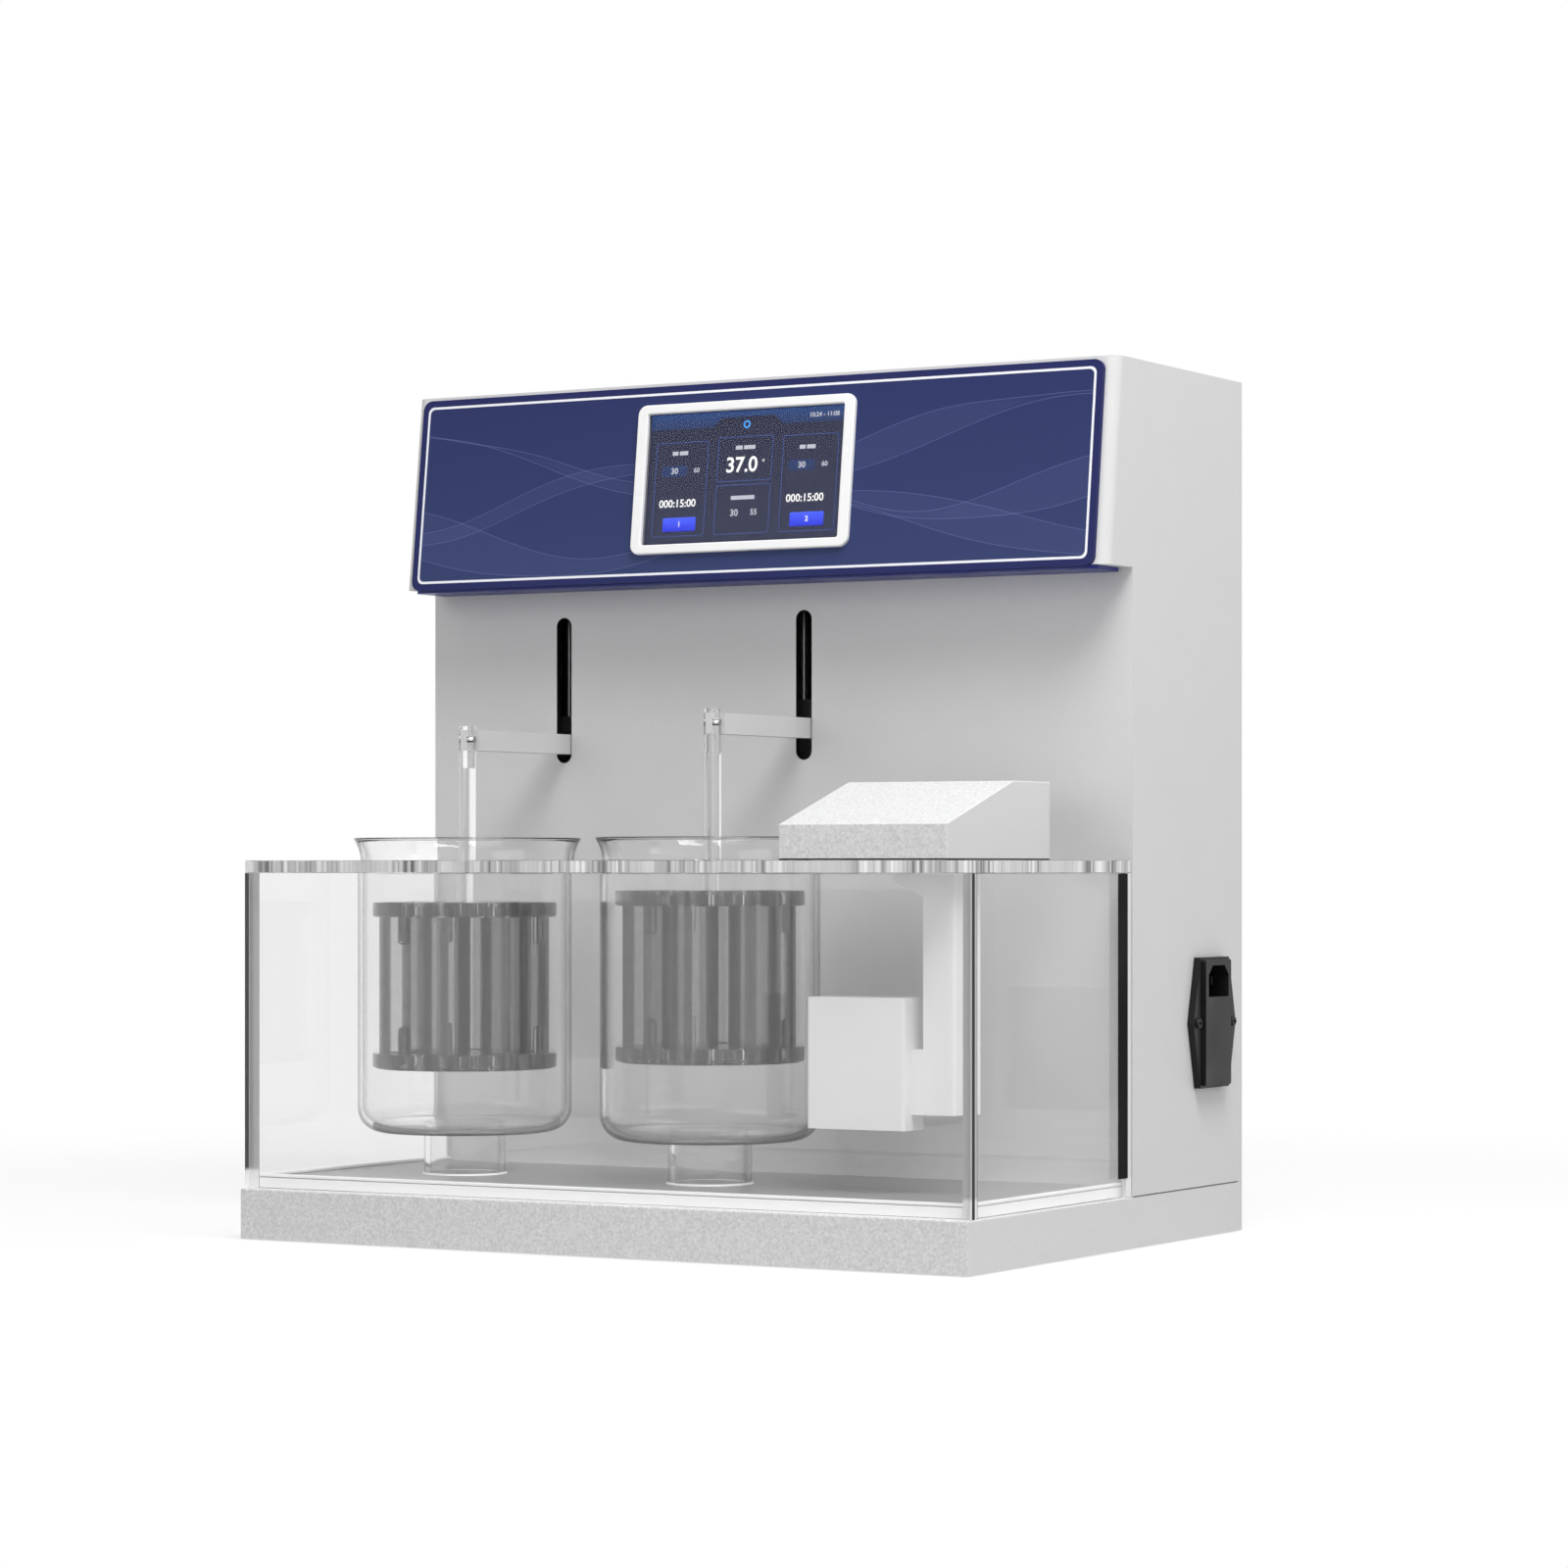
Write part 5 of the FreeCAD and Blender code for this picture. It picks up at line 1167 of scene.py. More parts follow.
def cut_sheet(
    name: str, outlines: Sequence[Sequence[Point]], thick: float, bevel: float = 0.0
) -> bpy.types.Object:
    """A flat sheet with holes, lying on z = 0 and growing upwards.

    Args:
        name: The object's name.
        outlines: The outer outline and then the holes, in millimetres.
        thick: Thickness in millimetres.
        bevel: Width of the polished edge in millimetres.

    Returns:
        The sheet, with its edges broken by the bevel.
    """
    curve = bpy.data.curves.new(name, "CURVE")
    curve.dimensions = "2D"
    curve.fill_mode = "BOTH"
    for outline in outlines:
        spline = curve.splines.new("POLY")
        spline.points.add(len(outline) - 1)
        spline.use_cyclic_u = True
        for point, (x, y) in zip(spline.points, outline):
            point.co = (x * MM, y * MM, 0, 1)
    curve.extrude = (thick / 2 - bevel) * MM
    curve.bevel_depth = bevel * MM
    curve.bevel_resolution = 1
    curve.offset = -bevel * MM
    holder = bpy.data.objects.new(name, curve)
    bpy.context.scene.collection.objects.link(holder)
    holder.location.z = thick / 2 * MM
    bpy.context.view_layer.update()
    sheet = plain(holder)
    grown = bmesh.new()
    grown.from_mesh(sheet.data)
    bmesh.ops.remove_doubles(grown, verts=grown.verts[:], dist=WELD)
    bmesh.ops.recalc_face_normals(grown, faces=grown.faces[:])
    grown.to_mesh(sheet.data)
    grown.free()
    sheet.data.materials.clear()
    return smooth(sheet, SHEET_ANGLE)


def ring_outline(middle: Point, radius: float, steps: int = 128) -> list[Point]:
    """A circle as an outline."""
    return arc(middle, radius, 0, 360 - 360 / steps, steps - 1)


def block(name: str, low: Sequence[float], high: Sequence[float], bevel: float) -> bpy.types.Object:
    """A block with broken edges.

    Args:
        name: The object's name.
        low: Lowest corner in millimetres.
        high: Highest corner in millimetres.
        bevel: Edge width in millimetres.

    Returns:
        The block.
    """
    grown = bmesh.new()
    bmesh.ops.create_cube(grown, size=1.0)
    for vert in grown.verts:
        for axis in range(3):
            share = vert.co[axis] + 0.5
            vert.co[axis] = (low[axis] + (high[axis] - low[axis]) * share) * MM
    bmesh.ops.bevel(
        grown, geom=grown.edges[:], offset=bevel * MM, segments=2, profile=0.5, affect="EDGES"
    )
    return from_bmesh(name, grown)


# ---- Geometry Nodes ----


def geometry_tree(name: str, sockets: dict[str, str]) -> tuple[bpy.types.NodeTree, bpy.types.Node]:
    """Start a geometry tree with named inputs.

    Args:
        name: The tree's name.
        sockets: The kind of each named input, after the geometry itself.

    Returns:
        The tree and its input node.
    """
    tree = bpy.data.node_groups.new(name, "GeometryNodeTree")
    tree.interface.new_socket("Geometry", in_out="INPUT", socket_type="NodeSocketGeometry")
    for socket, kind in sockets.items():
        tree.interface.new_socket(socket, in_out="INPUT", socket_type="NodeSocket" + kind)
    tree.interface.new_socket("Geometry", in_out="OUTPUT", socket_type="NodeSocketGeometry")
    return tree, add_node(tree, "NodeGroupInput")


def end_tree(
    tree: bpy.types.NodeTree, geometry: bpy.types.NodeSocket, finish: bpy.types.NodeSocket
) -> bpy.types.NodeTree:
    """Close a tree with Realize Instances and Set Material.

    Args:
        tree: The tree.
        geometry: What it has made.
        finish: The material's socket.

    Returns:
        The tree.
    """
    real = add_node(tree, "GeometryNodeRealizeInstances", inputs={0: geometry})
    dressed = add_node(
        tree, "GeometryNodeSetMaterial", inputs={"Geometry": real.outputs[0], "Material": finish}
    )
    add_node(tree, "NodeGroupOutput", inputs={0: dressed.outputs[0]})
    return tree


def grow(
    name: str, tree: bpy.types.NodeTree, values: dict[str, Any], start: bpy.types.Mesh | None = None
) -> bpy.types.Object:
    """Run a geometry tree once and keep its result as a plain mesh.

    Args:
        name: The new object's name.
        tree: The geometry tree.
        values: The tree's inputs by name.
        start: The mesh that the tree works on, if it needs one.

    Returns:
        An object with no modifier.
    """
    holder = mesh_object(name, start or bpy.data.meshes.new(name))
    live = holder.modifiers.new("build", "NODES")
    live.node_group = tree
    for item in tree.interface.items_tree:
        if item.in_out == "INPUT" and item.name in values:
            live[item.identifier] = values[item.name]
    bpy.context.view_layer.update()
    ready = holder.evaluated_get(bpy.context.evaluated_depsgraph_get())
    mesh = bpy.data.meshes.new_from_object(ready)
    holder.modifiers.clear()
    bpy.data.objects.remove(holder)
    return mesh_object(name, mesh)


def ring_tree() -> bpy.types.NodeTree:
    """Copies of one object at even steps round an upright axis.

    Returns:
        The tree.
    """
    tree, given = geometry_tree("ring_of_pieces", {
        "Piece": "Object",
        "Count": "Int",
        "Radius": "Float",
        "Centre": "Vector",
        "Start": "Vector",
        "Finish": "Material",
    })
    circle = add_node(tree, "GeometryNodeMeshCircle", inputs={
        "Vertices": given.outputs["Count"], "Radius": given.outputs["Radius"]
    })
    turned = add_node(tree, "GeometryNodeTransform", inputs={
        "Geometry": circle.outputs[0],
        "Translation": given.outputs["Centre"],
        "Rotation": given.outputs["Start"],
    })
    piece = add_node(
        tree, "GeometryNodeObjectInfo", inputs={"Object": given.outputs["Piece"], "As Instance": True}
    )
    copies = add_node(tree, "GeometryNodeInstanceOnPoints", inputs={
        "Points": turned.outputs[0], "Instance": piece.outputs["Geometry"]
    })
    return end_tree(tree, copies.outputs[0], given.outputs["Finish"])


def fastener_tree() -> bpy.types.NodeTree:
    """Copies of one screw on given points, all turned one way.

    Returns:
        The tree.
    """
    tree, given = geometry_tree("rows_of_screws", {
        "Screw": "Object", "Turn": "Vector", "Finish": "Material"
    })
    points = add_node(tree, "GeometryNodeMeshToPoints", inputs={0: given.outputs[0]})
    screw = add_node(
        tree, "GeometryNodeObjectInfo", inputs={"Object": given.outputs["Screw"], "As Instance": True}
    )
    turn = add_node(tree, "FunctionNodeEulerToRotation", inputs={0: given.outputs["Turn"]})
    copies = add_node(tree, "GeometryNodeInstanceOnPoints", inputs={
        "Points": points.outputs[0], "Instance": screw.outputs["Geometry"], "Rotation": turn.outputs[0]
    })
    return end_tree(tree, copies.outputs[0], given.outputs["Finish"])


def cloth_tree() -> bpy.types.NodeTree:
    """Plain-woven wire cloth cut to a disc.

    Returns:
        The tree.
    """
    tree, given = geometry_tree("woven_wire_disc", {
        "Radius": "Float",
        "Pitch": "Float",
        "Wire": "Float",
        "Swing": "Float",
        "Centre": "Vector",
        "Finish": "Material",
    })
    radius, pitch = given.outputs["Radius"], given.outputs["Pitch"]
    across = add_node(tree, "ShaderNodeMath", {"operation": "DIVIDE"}, {0: radius, 1: pitch})
    half = add_node(tree, "ShaderNodeMath", {"operation": "FLOOR"}, {0: across.outputs[0]})
    span = add_node(tree, "ShaderNodeMath", {"operation": "MULTIPLY"}, {0: half.outputs[0], 1: pitch})
    count = add_node(
        tree, "ShaderNodeMath", {"operation": "MULTIPLY_ADD"}, {0: half.outputs[0], 1: 2.0, 2: 1.0}
    )
    steps = add_node(
        tree, "ShaderNodeMath", {"operation": "MULTIPLY_ADD"}, {0: half.outputs[0], 1: 4.0, 2: 1.0}
    )
    low = add_node(tree, "ShaderNodeMath", {"operation": "MULTIPLY"}, {0: span.outputs[0], 1: -1.0})
    start = add_node(tree, "ShaderNodeCombineXYZ", inputs={0: low.outputs[0]})
    end = add_node(tree, "ShaderNodeCombineXYZ", inputs={0: span.outputs[0]})
    wire = add_node(tree, "GeometryNodeCurvePrimitiveLine", inputs={
        "Start": start.outputs[0], "End": end.outputs[0]
    })
    fine = add_node(
        tree, "GeometryNodeResampleCurve", inputs={"Curve": wire.outputs[0], "Count": steps.outputs[0]}
    )
    first = add_node(tree, "ShaderNodeCombineXYZ", inputs={1: low.outputs[0]})
    step = add_node(tree, "ShaderNodeCombineXYZ", inputs={1: pitch})
    rows = add_node(tree, "GeometryNodeMeshLine", {"mode": "OFFSET"}, {
        "Count": count.outputs[0], "Start Location": first.outputs[0], "Offset": step.outputs[0]
    })
    laid = add_node(tree, "GeometryNodeInstanceOnPoints", inputs={
        "Points": rows.outputs[0], "Instance": fine.outputs[0]
    })
    wires = add_node(tree, "GeometryNodeRealizeInstances", inputs={0: laid.outputs[0]})
    both = add_node(tree, "GeometryNodeJoinGeometry")
    for turn, sign in ((0.0, 1.0), (math.pi / 2, -1.0)):
        place = add_node(tree, "GeometryNodeInputPosition")
        split = add_node(tree, "ShaderNodeSeparateXYZ", inputs={0: place.outputs[0]})
        waves = []
        for socket in split.outputs[:2]:
            ratio = add_node(tree, "ShaderNodeMath", {"operation": "DIVIDE"}, {0: socket, 1: pitch})
            angle = add_node(
                tree, "ShaderNodeMath", {"operation": "MULTIPLY"}, {0: ratio.outputs[0], 1: math.pi}
            )
            waves.append(
                add_node(tree, "ShaderNodeMath", {"operation": "COSINE"}, {0: angle.outputs[0]})
            )
        lift = add_node(tree, "ShaderNodeMath", {"operation": "MULTIPLY"}, {
            0: waves[0].outputs[0], 1: waves[1].outputs[0]
        })
        swing = add_node(tree, "ShaderNodeMath", {"operation": "MULTIPLY"}, {
            0: lift.outputs[0], 1: given.outputs["Swing"]
        })
        signed = add_node(
            tree, "ShaderNodeMath", {"operation": "MULTIPLY"}, {0: swing.outputs[0], 1: sign}
        )
        offset = add_node(tree, "ShaderNodeCombineXYZ", inputs={2: signed.outputs[0]})
        woven = add_node(tree, "GeometryNodeSetPosition", inputs={
            "Geometry": wires.outputs[0], "Offset": offset.outputs[0]
        })
        turned = add_node(tree, "GeometryNodeTransform", inputs={
            "Geometry": woven.outputs[0], "Rotation": (0.0, 0.0, turn)
        })
        tree.links.new(turned.outputs[0], both.inputs[0])
    place = add_node(tree, "GeometryNodeInputPosition")
    far = add_node(tree, "ShaderNodeVectorMath", {"operation": "LENGTH"}, {0: place.outputs[0]})
    outside = add_node(
        tree, "ShaderNodeMath", {"operation": "GREATER_THAN"}, {0: far.outputs["Value"], 1: radius}
    )
    disc = add_node(tree, "GeometryNodeDeleteGeometry", {"domain": "POINT"}, {
        "Geometry": both.outputs[0], "Selection": outside.outputs[0]
    })
    section = add_node(tree, "GeometryNodeCurvePrimitiveCircle", inputs={
        "Resolution": 5, "Radius": given.outputs["Wire"]
    })
    solid = add_node(tree, "GeometryNodeCurveToMesh", inputs={
        "Curve": disc.outputs[0], "Profile Curve": section.outputs[0], "Fill Caps": True
    })
    moved = add_node(tree, "GeometryNodeTransform", inputs={
        "Geometry": solid.outputs[0], "Translation": given.outputs["Centre"]
    })
    return end_tree(tree, moved.outputs[0], given.outputs["Finish"])


def thread_tree() -> bpy.types.NodeTree:
    """The raised thread of a lead screw.

    Returns:
        The tree.
    """
    tree, given = geometry_tree("screw_thread", {
        "Turns": "Float",
        "Radius": "Float",
        "Length": "Float",
        "Ridge": "Float",
        "Foot": "Vector",
        "Finish": "Material",
    })
    spiral = add_node(tree, "GeometryNodeCurveSpiral", inputs={
        "Resolution": 20,
        "Rotations": given.outputs["Turns"],
        "Start Radius": given.outputs["Radius"],
        "End Radius": given.outputs["Radius"],
        "Height": given.outputs["Length"],
    })
    ridge = add_node(tree, "GeometryNodeCurvePrimitiveCircle", inputs={
        "Resolution": 4, "Radius": given.outputs["Ridge"]
    })
    solid = add_node(tree, "GeometryNodeCurveToMesh", inputs={
        "Curve": spiral.outputs[0], "Profile Curve": ridge.outputs[0], "Fill Caps": True
    })
    moved = add_node(tree, "GeometryNodeTransform", inputs={
        "Geometry": solid.outputs[0], "Translation": given.outputs["Foot"]
    })
    return end_tree(tree, moved.outputs[0], given.outputs["Finish"])


# ---- What every sub-assembly does ----


def dress(finish: Finish, *nodes: str) -> None:
    """Give CAD nodes a finish without touching their meshes."""
    for name in nodes:
        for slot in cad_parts[name].material_slots:
            slot.material = finish.material()


def wear(piece: bpy.types.Object, finish: Finish) -> bpy.types.Object:
    """Give a new piece one finish all over."""
    piece.data.materials.clear()
    piece.data.materials.append(finish.material())
    return piece


def settle(
    piece: bpy.types.Object, rider: Rider, replaces: Iterable[str] = ()
) -> bpy.types.Object:
    """Put a finished piece on its body.

    Args:
        piece: The piece, at the origin.
        rider: The body that it moves with.
        replaces: CAD nodes that it stands for.

    Returns:
        The piece.
    """
    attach(piece, rider.value)
    named = list(replaces)
    if named:
        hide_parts(*named)
    LOG.info("%s rides on %s", piece.name, rider.value)
    return piece


@dataclass
class Assembly:
    """A sub-assembly of the tester."""

    def build(self) -> None:
        """Make its pieces and dress its nodes."""
        raise NotImplementedError


@dataclass
class Fasteners(Assembly):
    """The pan-head screws of the covers and of the mains inlet."""

    head: float = 6.0
    inlet_head: float = 5.0
    head_height: float = 1.6
    dome: float = 0.7
    shank: float = 2.9
    cover_length: float = 9.0
    inlet_length: float = 12.0
    recess_edge: float = 0.05
    rear_face: float = 146.0
    base_face: float = 3.0
    slot_width: float = 0.9
    slot_share: float = 0.6
    slot_depth: float = 0.9
    rear_side: float = 189.5
    rear_levels: tuple[float, ...] = (32.5, 229.58, 411.5)
    base_side: float = 185.0
    base_reach: float = 131.0
    inlet_centre: tuple[float, float, float] = (203.5, 105.5, 105.2)
    inlet_pitch: float = 40.0

    def screw(self, name: str, length: float, head: float) -> bpy.types.Object:
        """One screw, its head upwards, with a cross recess.

        Args:
            name: The object's name.
            length: How far the shank reaches below the head, in millimetres.
            head: The head's width in millimetres.

        Returns:
            The screw, which stands at the origin.
        """
        edge = head / 2
        dome = arc((edge - self.dome, self.head_height - self.dome), self.dome, 0, 70, 4)
        profile = [(0, -length), (self.shank / 2, -length), (self.shank / 2, 0), (edge, 0)]
        profile += dome + [(0, self.head_height)]
        body = lathe(name, profile, (0, 0, 0), 32)
        for turn in (0, 1):
            reach = (self.slot_share * head / 2, self.slot_width / 2)
            across, along = reach if turn else reach[::-1]
            low = (-across, -along, self.head_height - self.slot_depth)
            high = (across, along, self.head_height + 1)
            tool = block("recess", low, high, self.recess_edge)
            cut = body.modifiers.new("recess", "BOOLEAN")
            cut.operation = "DIFFERENCE"
            cut.solver = "EXACT"
            cut.object = tool
            body = plain(body)
            bpy.data.objects.remove(tool)
        return smooth(body)

    def row(
        self,
        name: str,
        places: Sequence[Sequence[float]],
        turn: Sequence[float],
        length: float,
        head: float,
    ) -> bpy.types.Object:
        """Screws of one length on given seats.

        Args:
            name: The object's name.
            places: The seats under the heads, in millimetres.
            turn: How the screw is turned from head-up, as Euler angles.
            length: The shank's length in millimetres.
            head: The head's width in millimetres.

        Returns:
            All the screws as one mesh.
        """
        start = bpy.data.meshes.new(name)
        start.from_pydata([[c * MM for c in place] for place in places], [], [])
        screw = self.screw(name + "_one", length, head)
        values = {"Screw": screw, "Turn": turn, "Finish": SCREW_STEEL.material()}
        made = grow(name, fastener_tree(), values, start)
        bpy.data.objects.remove(screw)
        return made

    def build(self) -> None:
        """Make both rows of case screws and the inlet's pair."""
        rear = [(s * self.rear_side, self.rear_face, z) for z in self.rear_levels for s in (-1, 1)]
        base = [
            (s * self.base_side, y, self.base_face)
            for y in (-self.base_reach, 0.0, self.base_reach)
            for s in (-1, 1)
        ]
        rows = [
            self.row("rear_screws", rear, (-math.pi / 2, 0, 0), self.cover_length, self.head),
            self.row("base_screws", base, (math.pi, 0, 0), self.cover_length, self.head),
        ]
        settle(smooth(joined("cover_screws", rows)), Rider.CASE, ["case_screws"])
        x, y, z = self.inlet_centre
        pair = [(x, y + s * self.inlet_pitch / 2, z) for s in (-1, 1)]
        turn = (0, math.pi / 2, 0)
        made = self.row("inlet_screw_pair", pair, turn, self.inlet_length, self.inlet_head)
        wear(made, INLET_NYLON)
        settle(smooth(made), Rider.CASE, ["inlet_screws"])


@dataclass
class Housing(Assembly):
    """The base, the tall housing and everything closed up inside them."""

    slot_places: tuple[float, ...] = (-120.403, 20.496)
    slot_width: float = 9.0
    slot_low: float = 233.996
    slot_high: float = 307.993
    wall_front: float = 20.294
    wall_thick: float = 3.0
    liner: float = 0.2
    liner_gap: float = 0.02
    half: float = 200.0
    seam_level: float = 25.0
    seam_half: float = 0.28
    seam_proud: float = 0.03
    seam_deep: float = 1.0
    seam_back: float = 140.0

    def seam(self) -> None:
        """Draw the painted shadow line in the joint between housing and base along both sides."""
        strips = []
        for sign in (-1, 1):
            face = sorted((sign * (self.half - self.seam_deep), sign * (self.half + self.seam_proud)))
            low = (face[0], self.wall_front + self.seam_deep, self.seam_level - self.seam_half)
            high = (face[1], self.seam_back, self.seam_level + self.seam_half)
            strips.append(block("joint", low, high, self.seam_proud / 3))
        made = wear(joined("housing_joint", strips), JOINT_GREY)
        settle(made, Rider.CASE)

    def liners(self) -> None:
        """Line both arm slots with a thin sleeve in painted shade, flush with the wall."""
        sleeves = []
        for x in self.slot_places:
            outlines = []
            for inset in (self.liner_gap, self.liner):
                side = self.slot_width / 2 - inset
                low, high = self.slot_low + inset, self.slot_high - inset
                outlines.append(rounded(x - side, low, x + side, high, side))
            sleeves.append(cut_sheet("slot_liner", outlines, self.wall_thick - 2 * self.liner_gap))
        made = wear(joined("slot_liners", sleeves), SLOT_SHADE_BLACK)
        stand = Matrix.Rotation(math.pi / 2, 4, "X")
        rear = self.wall_front + self.wall_thick - self.liner_gap
        back = Matrix.Translation((0, rear * MM, 0))
        made.data.transform(back @ stand)
        settle(made, Rider.CASE)

    def build(self) -> None:
        """Dress the nodes, which have their final shapes."""
        dress(HOUSING_ABS, "housing_shell")
        dress(BASE_ABS, "base_shell")
        dress(COVER_PAINT, "rear_cover", "base_plate")
        dress(RUBBER, "rubber_feet")
        dress(SOLDER_RESIST, "control_board")
        dress(ALUMINIUM, "power_supply")
        dress(INLET_NYLON, "inlet_body", "switch_body")
        dress(PIN_NICKEL, "inlet_pins")
        dress(ROCKER_GLOSS, "power_rocker")
        self.liners()
        self.seam()


@dataclass
class ControlPanel(Assembly):
    """The fascia with its printed stripe, and the display with its picture."""

    lip: float = -7.5
    underside: float = 323.0
    lean: float = math.radians(6.87)
    fascia_front: float = 2.4
    stripe_inset: float = 3.4
    stripe_width: float = 1.2
    ink_thick: float = 0.06
    fascia_half: float = 194.0
    fascia_low: float = -1.0
    fascia_high: float = 97.7
    fascia_radius: float = 5.0
    screen_half: float = 56.0
    screen_low: float = 17.4
    screen_high: float = 83.4
    glass_over: float = 0.8
    glass_corner: float = 1.0
    glass_edge: float = 0.15
    glass_front: float = 2.4
    glass_back: float = 0.75
    picture_front: float = 0.42

    def to_face(self, piece: bpy.types.Object, out: float) -> bpy.types.Object:
        """Stand a flat piece, drawn in X and Y, up against the header's leaning face.

        Args:
            piece: The piece, lying on z = 0.
            out: How far its back stands out from the face, in millimetres.

        Returns:
            The piece, in place.
        """
        stand = Matrix.Rotation(math.pi / 2, 4, "X")
        move = Matrix.Translation((0, -out * MM, 0))
        lean = Matrix.Rotation(-self.lean, 4, "X")
        face = Matrix.Translation((0, self.lip * MM, self.underside * MM))
        piece.data.transform(face @ lean @ move @ stand)
        return piece

    def stripe(self) -> None:
        """Make the white pinstripe that follows the fascia's edge."""
        outlines = []
        for inset in (self.stripe_inset, self.stripe_inset + self.stripe_width):
            side = self.fascia_half - inset
            low, high = self.fascia_low + inset, self.fascia_high - inset
            outlines.append(rounded(-side, low, side, high, self.fascia_radius - inset / 2))
        ink = wear(cut_sheet("fascia_stripe", outlines, self.ink_thick), STRIPE_INK)
        settle(self.to_face(ink, self.fascia_front), Rider.CASE)

    def glass(self) -> None:
        """Make the display's cover glass, with ground edges."""
        side = self.screen_half + self.glass_over
        low, high = self.screen_low - self.glass_over, self.screen_high + self.glass_over
        outline = rounded(-side, low, side, high, self.glass_corner)
        thick = self.glass_front - self.glass_back
        sheet = wear(cut_sheet("display_window", [outline], thick, self.glass_edge), COVER_GLASS)
        settle(self.to_face(sheet, self.glass_back), Rider.CASE, ["display_glass"])

    def build(self) -> None:
        """Dress the panel and draw what the display shows."""
        dress(FASCIA_FILM, "fascia_panel")
        dress(NAVY_PAINT, "fascia_underplate")
        dress(BEZEL_ABS, "display_bezel")
        dress(MODULE_BLACK, "display_module")
        self.stripe()
        self.glass()
        Picture(self).build()


@dataclass
class Picture:
    """What the display shows: plain frames, figures and two buttons."""

    panel: ControlPanel
    layers: dict[str, list[bpy.types.Object]] = field(default_factory=dict)
    thick: float = 0.03
    stroke: float = 0.4
    corner: float = 1.2
    fatten_share: float = 0.02
    cards: tuple[float, ...] = (0.035, 0.685)
    frames: tuple[tuple[float, ...], ...] = (
        (0.035, 0.215, 0.305, 0.935),
        (0.355, 0.195, 0.635, 0.535),
        (0.355, 0.560, 0.635, 0.935),
        (0.685, 0.205, 0.965, 0.935),
    )

    def spot(self, across: float, down: float) -> Point:
        """Find a place on the screen from shares of its width and height.

        Args:
            across: Share of the width.
            down: Share of the height.

        Returns:
            The place in millimetres.
        """
        panel = self.panel
        x = (across * 2 - 1) * panel.screen_half
        y = panel.screen_high - down * (panel.screen_high - panel.screen_low)
        return (x, y)

    def box(self, span: Sequence[float]) -> tuple[float, float, float, float]:
        """Find a rectangle on the screen.

        Args:
            span: Left, top, right and low, as shares of the screen.

        Returns:
            Left, low, right and top in millimetres.
        """
        left, top, right, low = span
        return (*self.spot(left, low), *self.spot(right, top))

    def keep(self, layer: str, piece: bpy.types.Object) -> None:
        """Add a drawn shape to one of the picture's layers."""
        self.layers.setdefault(layer, []).append(piece)

    def frame(self, layer: str, span: Sequence[float]) -> None:
        """Draw a thin rounded frame.

        Args:
            layer: The layer that it belongs to.
            span: Left, top, right and low, as shares of the screen.
        """
        left, low, right, top = self.box(span)
        line = self.stroke
        outer = rounded(left, low, right, top, self.corner)
        inner = rounded(left + line, low + line, right - line, top - line, self.corner - line)
        self.keep(layer, cut_sheet("frame", [outer, inner], self.thick))

    def tile(self, layer: str, span: Sequence[float], radius: float) -> None:
        """Draw a filled rounded tile.

        Args:
            layer: The layer that it belongs to.
            span: Left, top, right and low, as shares of the screen.
            radius: The corners' radius in millimetres.
        """
        self.keep(layer, cut_sheet("tile", [rounded(*self.box(span), radius)], self.thick))

    def figures(self, layer: str, digits: str, across: float, down: float, height: float) -> None:
        """Plain figures, centred on a place.

        Args:
            layer: The layer that they belong to.
            digits: What they say.
            across: Share of the screen's width.
            down: Share of the screen's height.
            height: The size in millimetres.
        """
        curve = bpy.data.curves.new("figures", "FONT")
        curve.body = digits
        curve.align_x = "CENTER"
        curve.align_y = "CENTER"
        curve.size = height * MM
        curve.extrude = self.thick / 2 * MM
        curve.offset = self.fatten_share * height * MM
        curve.resolution_u = 4
        holder = bpy.data.objects.new("figures", curve)
        bpy.context.scene.collection.objects.link(holder)
        x, y = self.spot(across, down)
        holder.location = (x * MM, y * MM, self.thick / 2 * MM)
        bpy.context.view_layer.update()
        self.keep(layer, plain(holder))

    def build(self) -> None:
        """Draw the picture and put its layers on the display."""
        self.tile("screen_ground", (0.0, 0.0, 1.0, 1.0), 0.6)
        self.band()
        for span in self.frames:
            self.frame("screen_frames", span)
        for number, left in enumerate(self.cards, 1):
            self.card(left, str(number))
        self.middle()
        self.icon()
        for finish, rise in PICTURE_TONES:
            layer = wear(joined(finish.name, self.layers[finish.name]), finish)
            self.panel.to_face(layer, self.panel.picture_front + rise)
            settle(layer, Rider.CASE)

    def card(self, left: float, number: str) -> None:
        """Draw what one of the two outer frames shows.

        Args:
            left: The frame's left side, as a share of the screen's width.
            number: The station's number.
        """
        self.tile("screen_fields", (left + 0.035, 0.395, left + 0.165, 0.475), 0.6)
        self.tile("screen_buttons", (left + 0.055, 0.79, left + 0.225, 0.895), 0.5)
        for start, end in ((0.085, 0.115), (0.122, 0.165)):
            self.tile("screen_notes", (left + start, 0.285, left + end, 0.315), 0.25)
        self.figures("screen_notes", "30", left + 0.1, 0.436, 4.2)
        self.figures("screen_notes", "60", left + 0.215, 0.436, 3.4)
        self.figures("screen_figures", "000:15:00", left + 0.125, 0.685, 5.4)
        self.figures("screen_figures", number, left + 0.14, 0.843, 3.6)

